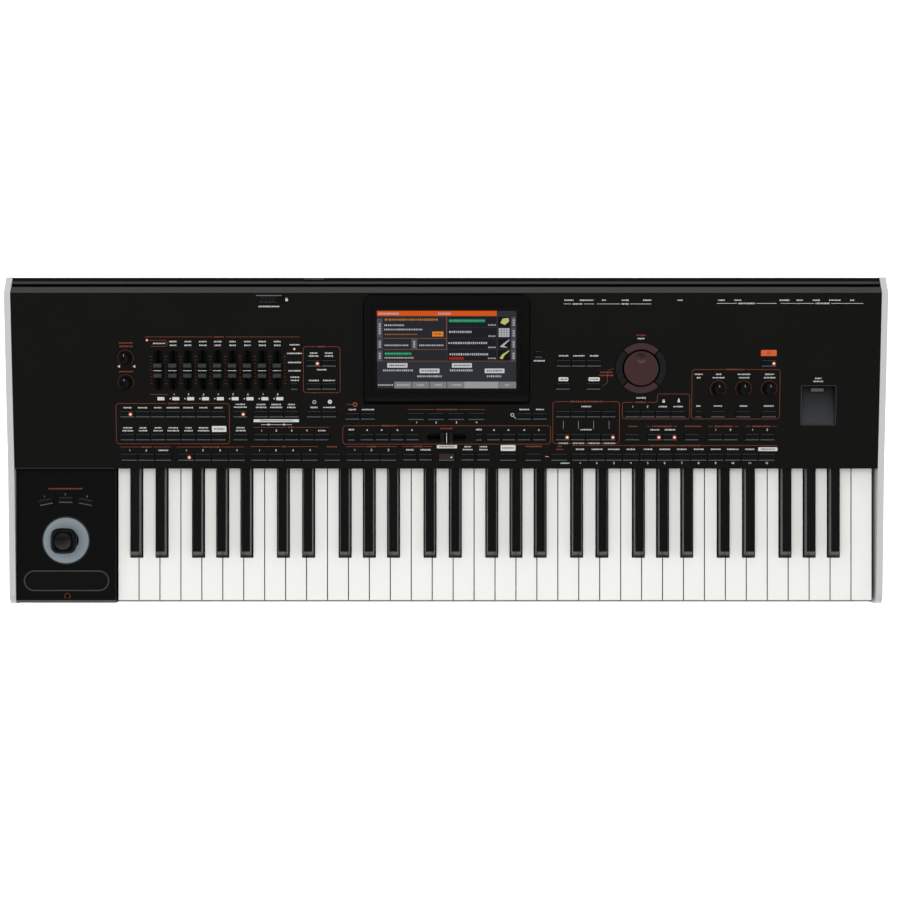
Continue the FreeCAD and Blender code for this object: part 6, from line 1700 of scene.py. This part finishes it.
    def dial(self) -> None:
        """Dress the value dial and the arrow ring round it."""
        low, high = self.plane.span(points_of("value_dial"))
        centre = tuple(self.plane.point(*((low + high) / 2).xy))
        # The dimple's pale front and dark rear are painted highlight and painted shade.
        burgundy = DialFinish(
            "dial_burgundy", tone(60, 32, 33), tone(54, 29, 30), 0.4, grain=2600.0, relief=0.03 * MM,
            centre=centre, dimple=self.DIMPLE_AWAY, reach=self.DIMPLE_REACH, stops=self.DIMPLE,
        )
        ring = RingFinish(
            "ring_burgundy", tone(58, 34, 35), tone(52, 31, 32), 0.45, grain=2600.0, relief=0.02 * MM,
            centre=centre, side_tone=tone(11, 13, 13),
        )
        dress("value_dial", burgundy, self.DIAL_EDGE, 3)
        dress("arrow_buttons", ring, self.ARROW_EDGE)


@dataclass
class Slider:
    """A slider's cap with two raised grips and a white line, on its lever."""

    plane: Plane
    foot: float = 1.0 * MM
    hollow: float = 3.4 * MM
    lever_half: float = 3.0 * MM
    lever_wide: float = 1.0 * MM
    lap: float = 0.2 * MM
    grip_inset: float = 0.1 * MM
    saddle_edge: float = 0.25 * MM
    grip_edge: float = 0.2 * MM
    line_edge: float = 0.1 * MM
    line_rise: float = 1.6 * MM

    LINE_HALVES = (0.3 * MM, 0.25 * MM)
    LEAN_SHARE = 0.96
    GRIP_END_SHARES = (0.36, 0.97)
    GRIP_CROWN = ((0.42, 0.5 * MM), (0.5, 0.0), (0.82, 0.3 * MM), (0.94, 1.4 * MM))

    def build(self, node: str, across: bool = False) -> Vector:
        """Make the cap of one slider.

        Args:
            node: The slider's node.
            across: Whether it slides across the panel.

        Returns:
            Its middle on the panel.
        """
        low, high = self.plane.span(points_of(node))
        self.middle = (low + high) / 2
        self.across = across
        size = high - low
        along, wide = (size.x, size.y) if across else (size.y, size.x)
        half = along / 2
        lean = half * self.LEAN_SHARE
        foot = self.foot
        top = high.z
        floor = top - self.hollow
        saddle = Solid()
        self.bar(saddle, [(-half, foot), (-lean, floor), (lean, floor), (half, foot)], wide / 2)
        lever, neck = self.lever_half, foot + self.lap
        self.bar(saddle, [(-lever, low.z), (-lever, neck), (lever, neck), (lever, low.z)], self.lever_wide)
        saddle.piece(
            node + "_cap", Paint.KNOB, node, "fader_black", edge=self.saddle_edge, stands_for=(node,),
        )
        grips = Solid()
        near, far = ((share, floor - self.lap) for share in self.GRIP_END_SHARES)
        steps = (near, *((share, top - drop) for share, drop in self.GRIP_CROWN), far)
        for way in (-1, 1):
            profile = [(way * half * share, height) for share, height in steps]
            self.bar(grips, profile, wide / 2 - self.grip_inset)
        finish = Paint.BUTTON if across else Paint.FADER
        grips.piece(node + "_grips", finish, node, "fader_black", edge=self.grip_edge)
        line = Solid()
        base, crest = self.LINE_HALVES
        rise = floor + self.line_rise
        self.bar(line, [(-base, floor), (-crest, rise), (crest, rise), (base, floor)], wide / 2)
        line.piece(node + "_line", Paint.POINTER, node, edge=self.line_edge)
        return self.middle

    def bar(self, solid: Solid, profile: Sequence[Place], reach: float) -> None:
        """Draw a profile out to both sides."""
        solid.loft([[self.at(side, run, height) for run, height in profile] for side in (-reach, reach)])

    def at(self, side: float, run: float, height: float) -> Vector:
        """A point of the cap from its own directions."""
        x, v = (run, -side) if self.across else (side, run)
        return self.plane.point(self.middle.x + x, self.middle.y + v, height)


Shares = tuple[float, float, float, float]


class Sheet(NamedTuple):
    """Lit rectangles of one colour: left, foot, right and top of each, in shares of the picture."""

    name: str
    colour: tuple[int, int, int]
    layer: int
    parts: tuple[Shares, ...]


class ScreenWord(NamedTuple):
    """A row of plain blocks on the screen: ends across, middle and height, in shares of the picture."""

    left: float
    right: float
    level: float
    height: float


@dataclass
class TiltingDisplay:
    """The tilting display: housing, glass and a plain picture of panes, lists and tabs."""

    panel: Plane
    border: float = 4.8 * MM
    corner: float = 9.0 * MM
    gap: float = 1.0 * MM
    pin: float = 4.6 * MM
    film: float = 0.03 * MM
    housing_edge: float = 0.8 * MM
    glass_edge: float = 0.2 * MM
    lap: float = 0.8 * MM

    FILL_LEVELS = (-1.8 * MM, 0.08 * MM)
    FILL_GAP_SHARE = 0.6
    FILL_ANGLES = tuple(math.radians(10 * step) for step in range(10))
    WORD_SHARE = 0.44
    WORD_LAYER = 3
    PICTURE_LAYER = 2
    ROWS = ((0.793, 0.922), (0.652, 0.785), (0.511, 0.644), (0.358, 0.503))
    TAB_WORDS = (
        (0.012, 0.7, 5), (0.012, 0.53, 3), (0.012, 0.38, 3), (0.26, 0.53, 3), (0.974, 0.81, 3),
        (0.974, 0.67, 3), (0.974, 0.53, 3), (0.974, 0.38, 3),
    )
    SHEETS = (
        Sheet("slate", (45, 46, 51), 0, ((0.0, 0.0, 1.0, 1.0),)),
        Sheet("panes", (36, 38, 44), 1, (
            (0.044, 0.652, 0.495, 0.92), (0.044, 0.508, 0.243, 0.637), (0.292, 0.508, 0.495, 0.637),
            (0.044, 0.356, 0.495, 0.497),
        )),
        Sheet("lists", (27, 27, 31), 1, tuple((0.507, foot, 0.859, top) for foot, top in ROWS)),
        Sheet("thumbs", (16, 16, 18), 1, tuple((0.868, foot, 0.957, top) for foot, top in ROWS)),
        Sheet("title", (212, 84, 20), 1, ((0.0, 0.934, 0.859, 1.0),)),
        Sheet("side_tabs", (78, 80, 86), 1, (
            (0.0, 0.652, 0.038, 0.9), (0.0, 0.508, 0.038, 0.64), (0.0, 0.356, 0.038, 0.49),
            (0.247, 0.508, 0.288, 0.637), *((0.964, foot, 0.997, top) for foot, top in ROWS),
        )),
        Sheet("edges", (134, 82, 50), 2, (
            (0.044, 0.643, 0.503, 0.649), (0.044, 0.5, 0.503, 0.506), (0.0, 0.35, 1.0, 0.355),
            (0.498, 0.5, 0.502, 0.92),
        )),
        Sheet("tabs", (124, 125, 129), 1, (
            (0.123, 0.0, 0.247, 0.086), (0.252, 0.0, 0.372, 0.086), (0.377, 0.0, 0.499, 0.086),
            (0.504, 0.0, 0.624, 0.086), (0.878, 0.0, 1.0, 0.086),
        )),
        Sheet("pale_tab", (152, 153, 156), 1, ((0.626, 0.0, 0.874, 0.086),)),
        Sheet("boxes", (196, 198, 202), 1, (
            (0.073, 0.268, 0.218, 0.326), (0.305, 0.197, 0.448, 0.256), (0.538, 0.268, 0.681, 0.326),
            (0.774, 0.197, 0.916, 0.256),
        )),
        Sheet("tab_words", (168, 170, 174), 2, tuple(
            (left, foot + 0.03 * i, left + 0.014, foot + 0.02 + 0.03 * i)
            for left, foot, count in TAB_WORDS for i in range(count)
        )),
        Sheet("tempo", (226, 132, 30), 2, ((0.397, 0.67, 0.476, 0.733),)),
        Sheet("green_bars", (20, 100, 68), 2, ((0.055, 0.428, 0.247, 0.468), (0.516, 0.85, 0.776, 0.896))),
        Sheet("red_bar", (150, 32, 28), 2, ((0.518, 0.372, 0.624, 0.404),)),
        Sheet("grid", (184, 186, 188), 2, tuple(
            (0.874 + 0.02 * i, 0.664 + 0.029 * j, 0.891 + 0.02 * i, 0.688 + 0.029 * j)
            for i in range(4) for j in range(4)
        )),
    )
    WORDS = (
        ("pale_words", (178, 180, 184), (
            (0.012, 0.155, 0.964, 0.03), (0.44, 0.53, 0.964, 0.03), (0.055, 0.19, 0.815, 0.026),
            (0.055, 0.32, 0.76, 0.026), (0.055, 0.222, 0.556, 0.026), (0.305, 0.474, 0.556, 0.026),
            (0.055, 0.26, 0.395, 0.024), (0.518, 0.678, 0.729, 0.034), (0.518, 0.785, 0.586, 0.034),
            (0.518, 0.8, 0.44, 0.034), (0.044, 0.255, 0.232, 0.03), (0.286, 0.466, 0.156, 0.03),
            (0.522, 0.687, 0.232, 0.03), (0.791, 0.891, 0.156, 0.03), (0.01, 0.11, 0.043, 0.026),
            (0.145, 0.23, 0.043, 0.026), (0.285, 0.335, 0.043, 0.026), (0.41, 0.465, 0.043, 0.026),
            (0.54, 0.6, 0.043, 0.026), (0.92, 0.955, 0.043, 0.026), (0.8, 0.85, 0.818, 0.022),
            (0.8, 0.85, 0.675, 0.022), (0.8, 0.85, 0.53, 0.022), (0.8, 0.85, 0.388, 0.022),
        )),
        ("amber_words", (176, 116, 46), ((0.055, 0.437, 0.887, 0.034), (0.055, 0.29, 0.697, 0.014))),
        ("green_words", (64, 176, 128), ((0.058, 0.244, 0.448, 0.026), (0.52, 0.772, 0.873, 0.03))),
        ("dark_words", (52, 53, 58), (
            (0.09, 0.2, 0.297, 0.026), (0.322, 0.43, 0.227, 0.026), (0.555, 0.665, 0.297, 0.026),
            (0.79, 0.9, 0.227, 0.026), (0.415, 0.46, 0.701, 0.024),
        )),
    )
    PICTURES = (
        ("lid", (186, 188, 112), (
            (0.885, 0.845), (0.902, 0.9), (0.944, 0.908), (0.948, 0.865), (0.918, 0.818),
        )),
        ("neck", (182, 184, 100), (
            (0.88, 0.39), (0.9, 0.44), (0.948, 0.492), (0.952, 0.482), (0.915, 0.425), (0.902, 0.375),
        )),
        ("bow", (172, 174, 178), (
            (0.88, 0.535), (0.905, 0.575), (0.948, 0.632), (0.952, 0.622), (0.912, 0.552), (0.94, 0.525),
        )),
    )

    def build(self) -> None:
        """Dress the display and light its screen."""
        dress("display_housing", Paint.DISPLAY, self.housing_edge, 3)
        dress("display_screen", Paint.SCREEN, self.glass_edge)
        dress("display_cradle", Paint.WELL)
        self.corners(*self.panel.span(points_of("display_housing")))
        low, high = self.panel.span(points_of("display_screen"))
        self.face = self.panel.raised(high.z)
        self.left = low.x + self.border
        self.foot = low.y + self.border
        self.wide = high.x - low.x - 2 * self.border
        self.tall = high.y - low.y - 2 * self.border
        for name, colour, layer, parts in self.SHEETS:
            sheet = self.sheet(layer)
            for part in parts:
                sheet.patch(*self.spot(*part))
            self.light(sheet, name, colour)
        for name, colour, words in self.WORDS:
            sheet = self.sheet(self.WORD_LAYER, seed=len(words))
            for word in (ScreenWord(*row) for row in words):
                half = word.height * self.WORD_SHARE
                sheet.word(*self.spot(word.left, word.level - half, word.right, word.level + half))
            self.light(sheet, name, colour)
        for name, colour, corners in self.PICTURES:
            sheet = self.sheet(self.PICTURE_LAYER)
            sheet.outline([(self.left + self.wide * x, self.foot + self.tall * v) for x, v in corners])
            self.light(sheet, name, colour)

    def sheet(self, layer: int, seed: int = 1) -> Print:
        """An empty sheet on one of the screen's layers."""
        return Print(self.face.raised(layer * self.film), seed)

    def light(self, sheet: Print, name: str, colour: tuple[int, int, int]) -> None:
        """Light a sheet in a colour."""
        sheet.solid.piece("screen_" + name, lit(name, *colour), "display", "screen_face")

    def corners(self, low: Vector, high: Vector) -> None:
        """Round the rear corners of the panel's opening; the front ones stay open for the turning barrel.

        Args:
            low: The housing's lowest place on the panel.
            high: The housing's highest place on the panel.
        """
        filler = Print(self.panel, 1, *self.FILL_LEVELS)
        reach = self.corner + self.FILL_GAP_SHARE * self.gap
        lap = self.corner + self.gap + self.lap
        inset = self.pin + self.corner
        v = high.y - self.corner
        for x, side in ((low.x + inset, -1), (high.x - inset, 1)):
            bend = [(x + side * reach * math.cos(a), v + reach * math.sin(a)) for a in self.FILL_ANGLES]
            filler.outline([(x + side * lap, v + lap), (x + side * lap, v), *bend, (x, v + lap)])
        filler.solid.piece("display_surround", Paint.PANEL, "case")

    def spot(self, left: float, foot: float, right: float, top: float) -> Shares:
        """Find a rectangle on the screen.

        Args:
            left: Its left end, in shares of the picture.
            foot: Its foot.
            right: Its right end.
            top: Its top.

        Returns:
            Its middle across and along, its length and its depth.
        """
        x = self.left + self.wide * (left + right) / 2
        v = self.foot + self.tall * (foot + top) / 2
        return x, v, self.wide * (right - left), self.tall * (top - foot)


@dataclass
class KeyRow:
    """The 61 keys."""

    white_edge: float = 0.6 * MM
    black_edge: float = 1.1 * MM

    def build(self) -> None:
        """Dress the keys."""
        for name in "cdefgab":
            dress(name + "_keys", Paint.WHITE_KEY, self.white_edge, 3)
        for name in "cdfga":
            dress(name + "_sharp_keys", Paint.BLACK_KEY, self.black_edge, 3)


@dataclass
class JoystickBlock:
    """The panel left of the keys: joystick, switches and ribbon."""

    plane: Plane
    knob_rise: float = 10.0 * MM
    slack: float = 0.1 * MM
    stick: float = 3.0 * MM
    ring_steps: int = 64
    panel_edge: float = 0.4 * MM
    dish_edge: float = 0.5 * MM
    strip_edge: float = 0.3 * MM
    switch_edge: float = 0.9 * MM
    letter: float = 1.7 * MM
    digit: float = 1.8 * MM
    pixel: float = 1.12 * MM

    WORD = Word(65.3, 488.7, 34.0)
    NUMBERS = ((44.2, 496.4), (65.3, 494.3), (87.0, 496.4))
    PHONES = (67.5, 596.0)
    PHONES_ARC = (3.1 * MM, 0.45 * MM, -45.0, 225.0)
    PHONES_EAR = (2.3 * MM, 2.1 * MM)
    PHONES_PAD = (0.9 * MM, 1.6 * MM, 0.3 * MM)
    HOLLOW = (
        (0.0, tone(52, 52, 50)), (0.3, tone(34, 34, 33)), (0.65, tone(14, 14, 14)), (1.0, tone(34, 34, 33)),
    )
    HOLLOW_SHARE = 0.64
    ROUND = 2.0
    KNOB_SKIRT = ((0.8, 0.0, 3.4), (0.94, 1.2 * MM, 3.4), (1.0, 3.4 * MM, 3.4), (0.985, 6.4 * MM, 3.4))
    KNOB_CROWN = (
        (0.93, 1.7 * MM, 3.3), (0.82, 0.5 * MM, 3.2), (0.7, 0.0, 3.0), (0.6, 0.3 * MM, 2.6),
        (0.46, 1.3 * MM, 2.2), (0.3, 2.1 * MM, ROUND), (0.05, 2.5 * MM, ROUND),
    )
    DISH_RING = (26.4 * MM, 1.2 * MM)
    DISH_RING_PROUD = 0.5 * MM
    DISH_RING_EDGE = 0.15 * MM
    RIM_LEVELS = (-1.2 * MM, 0.6 * MM)
    RIM_OFFSET = (0.6 * MM, 0.2 * MM)
    RIM_INSET = (1.0 * MM, 3.2 * MM)
    RIM_FLAT = 0.05 * MM
    RIM_STEPS = 10
    RIM_WIDTH = 1.4 * MM
    RIM_EDGE = 0.5 * MM

    def build(self) -> None:
        """Dress the block and add its print, trim and knob."""
        dress("joystick_panel", Paint.JOYSTICK, self.panel_edge)
        low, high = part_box("joystick_base")
        dish = DishFinish(
            "dish_blue_grey", tone(150, 162, 170), tone(138, 149, 156), 0.4, patch=24.0, grain=2200.0,
            relief=0.12 * MM, specular=0.3, centre=tuple((low + high) / 2), lines=2600,
        )
        dress("joystick_base", dish, self.dish_edge)
        dress("joystick_gimbal", Paint.KNOB)
        dress("ribbon_strip", Paint.RIBBON, self.strip_edge)
        dress("assign_switches", Paint.BUTTON, self.switch_edge)
        self.knob()
        self.trim((low + high) / 2)
        self.marks()

    def knob(self) -> None:
        """A rounded square knob with a hollow top, on its stick."""
        low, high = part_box("joystick_stick")
        foot = high.z - self.knob_rise
        crown = [p for p in points_of("joystick_stick") if p.z > foot - self.slack]
        left, right = (end(p.x for p in crown) for end in (min, max))
        front, rear = (end(p.y for p in crown) for end in (min, max))
        middle = Vector(((left + right) / 2, (front + rear) / 2, 0.0))
        half = (right - left) / 2
        profile = [(self.stick, low.z, self.ROUND), (self.stick, foot, self.ROUND)]
        profile += [(half * share, foot + rise, power) for share, rise, power in self.KNOB_SKIRT]
        profile += [(half * share, high.z - drop, power) for share, drop, power in self.KNOB_CROWN]
        # The hollow's pale and dark bands are painted highlight and painted shade.
        gloss = DialFinish(
            "stick_black_painted_hollow_light", tone(3, 3, 3), tone(4, 4, 4), 0.25, grain=3000.0, relief=0.005 * MM,
            specular=0.2, centre=tuple(middle), reach=half * self.HOLLOW_SHARE, stops=self.HOLLOW,
        )
        knob = Solid()
        knob.loft([self.ring(middle, *step) for step in profile])
        knob.piece(
            "joystick_knob", gloss, "joystick_stick", "joystick_black", smooth=True,
            stands_for=("joystick_stick",),
        )

    def ring(self, middle: Vector, reach: float, height: float, power: float) -> list[Vector]:
        """A level ring between a circle and a square.

        Args:
            middle: Its middle.
            reach: Its reach across and along.
            height: Its height.
            power: 2 for a circle, and more for a squarer ring.

        Returns:
            The points, in order.
        """
        made = []
        for i in range(self.ring_steps):
            angle = math.tau * i / self.ring_steps
            c, s = math.cos(angle), math.sin(angle)
            stretch = reach * (abs(c) ** power + abs(s) ** power) ** (-1 / power)
            made.append(Vector((middle.x + stretch * c, middle.y + stretch * s, height)))
        return made

    def trim(self, middle: Vector) -> None:
        """Make a dark ring round the dish and a raised rim round the ribbon, pale as a painted highlight.

        Args:
            middle: The dish's middle.
        """
        ring = Print(self.plane, proud=self.DISH_RING_PROUD)
        ring.arc(middle.x, middle.y, *self.DISH_RING)
        ring.solid.piece("dish_trim", Paint.WELL_EDGE, "case", edge=self.DISH_RING_EDGE)
        low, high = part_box("ribbon_strip")
        x, v = ((a + b) / 2 + offset for a, b, offset in zip(low.xy, high.xy, self.RIM_OFFSET))
        long, tall = (b - a - inset for a, b, inset in zip(low.xy, high.xy, self.RIM_INSET))
        rim = Print(self.plane, 1, *self.RIM_LEVELS)
        path = rounded(x, v, long, tall, tall / 2 - self.RIM_FLAT, self.RIM_STEPS)
        rim.stroke(path, self.RIM_WIDTH, closed=True)
        rim.solid.piece("ribbon_rim_highlight", Paint.RIM, "case", edge=self.RIM_EDGE)

    def marks(self) -> None:
        """The printed line, the switches' numbers and the headphone sign."""
        orange = Print(self.plane, seed=31)
        word = self.WORD
        orange.word(*self.plane.under(word.px, word.py), word.length * self.pixel, self.letter)
        x, v = self.plane.under(*self.PHONES)
        orange.arc(x, v, *self.PHONES_ARC)
        away, drop = self.PHONES_EAR
        for side in (-1, 1):
            orange.patch(x + side * away, v - drop, *self.PHONES_PAD)
        orange.solid.piece("joystick_orange_print", Paint.ORANGE_INK, "case")
        digits = Print(self.plane)
        for index, pixel in enumerate(self.NUMBERS):
            digits.number(str(index + 1), *self.plane.under(*pixel), self.digit)
        digits.solid.piece("joystick_white_print", Paint.GREY_INK, "case")


@dataclass
class CaseShell:
    """Cheeks, tray, rails, feet, screws and sockets."""

    ridge: Place = (174.4 * MM, 177.4 * MM)
    cheek_edge: float = 1.2 * MM
    rail_edge: float = 0.6 * MM
    rear_edge: float = 0.3 * MM
    foot_edge: float = 0.8 * MM
    screw_edge: float = 0.3 * MM
    socket_edge: float = 0.2 * MM
    plate_depth: float = 2.5 * MM
    plate_top: float = 90.0 * MM

    def build(self) -> None:
        """Dress the shell."""
        for node in ("left_cheek", "right_cheek"):
            dress(node, Paint.SILVER, self.cheek_edge, 3)
        dress("bottom_case", Paint.CASE)
        dress("front_rail", Paint.RAIL, self.rail_edge, 3)
        near, far = self.ridge
        # The pale band along the rear ridge is a painted highlight.
        ridge_highlight_paint = BandFinish(
            "rear_panel_paint", tone(6, 6, 6), tone(9, 9, 8), 0.5, grain=1100.0, relief=0.05 * MM,
            specular=0.05, near=near, far=far, band=tone(60, 60, 58),
        )
        dress("rear_panel", ridge_highlight_paint, self.rear_edge)
        dress("rubber_feet", Paint.RUBBER, self.foot_edge)
        dress("case_screws", Paint.STEEL, self.screw_edge)
        _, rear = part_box("rear_sockets")
        plated = BandFinish(
            "socket_black", tone(15, 15, 15), tone(21, 21, 21), 0.45, near=rear.y - self.plate_depth,
            below=self.plate_top, band=tone(172, 172, 168),
        )
        dress("rear_sockets", plated, self.socket_edge)


@dataclass
class Innards:
    """Keybed, boards and supply inside the case."""

    STEEL = ("keybed_frame", "key_springs", "power_supply")
    BOARDS = ("contact_board", "panel_board", "main_board")

    def build(self) -> None:
        """Dress what shows through the gaps."""
        for node in self.STEEL:
            dress(node, Paint.STEEL)
        for node in self.BOARDS:
            dress(node, Paint.BOARD)


@dataclass
class Studio:
    """Pale floor, soft light and the camera."""

    floor_side: float = 14.0
    zenith: float = 0.05
    middle: float = 0.2
    horizon: float = 0.5

    SKY_STOPS = (0.0, 0.55, 0.86, 0.97, 1.0)

    def build(self) -> None:
        """Set the stage."""
        self.floor()
        self.sky()
        self.softbox("left_softbox", (-2.2, 0.6, 2.4), 2.2, 9.0)
        self.softbox("right_softbox", (2.2, 0.6, 2.4), 2.2, 8.0)
        self.softbox("rear_softbox", (0.0, 2.6, 2.2), 2.4, 9.0)
        self.softbox("overhead_softbox", (0.0, 0.0, 3.0), 2.4, 60.0, shine=False)
        CAMERA.build()
        bpy.context.scene.view_settings.view_transform = "Standard"

    def floor(self) -> None:
        """A plain pale floor."""
        half = self.floor_side / 2
        corners = [(-half, -half, 0), (half, -half, 0), (half, half, 0), (-half, half, 0)]
        mesh = bpy.data.meshes.new("floor")
        mesh.from_pydata(corners, [], [(0, 1, 2, 3)])
        pale = Finish(
            "pale_floor", tone(250, 250, 250), tone(247, 247, 247), 0.8, patch=3.0, relief=0.0, specular=0.2,
            glow=0.7,
        )
        mesh.materials.append(pale.material())
        made = bpy.data.objects.new("floor", mesh)
        bpy.context.scene.collection.objects.link(made)

    def sky(self) -> None:
        """Soft light from all round, dim overhead where the camera hangs."""
        world = bpy.data.worlds.new("studio_sky")
        world.use_nodes = True
        bpy.context.scene.world = world
        bench = Bench(world.node_tree)
        way = bench.node("ShaderNodeTexCoord", output="Generated")
        _, _, height = bench.parts(way)
        levels = (self.horizon, self.horizon, self.middle, self.zenith, self.zenith)
        stops = [(place, (level,) * 3) for place, level in zip(self.SKY_STOPS, levels)]
        bench.join(world.node_tree.nodes["Background"].inputs["Color"], bench.ramp(height, stops))

    def softbox(self, name: str, place: Colour, side: float, power: float, shine: bool = True) -> None:
        """A square soft light that faces the object.

        Args:
            name: The light's name.
            place: Where it hangs.
            side: Its side.
            power: Its power.
            shine: Whether it shows in glossy surfaces.
        """
        lamp = bpy.data.lights.new(name, "AREA")
        lamp.size = side
        lamp.energy = power
        made = bpy.data.objects.new(name, lamp)
        made.location = place
        made.visible_glossy = shine
        made.rotation_euler = (-Vector(place)).to_track_quat("-Z", "Y").to_euler()
        bpy.context.scene.collection.objects.link(made)


def main() -> None:
    """Dress the frame and set the stage."""
    logging.basicConfig(level=logging.INFO, format="%(message)s")
    panel = sloped_panel()
    parts = (
        CaseShell(), Innards(), KeyRow(), JoystickBlock(level_panel()), ControlPanel(panel),
        TiltingDisplay(panel), Studio(),
    )
    for part in parts:
        part.build()


if __name__ == "__main__":
    main()
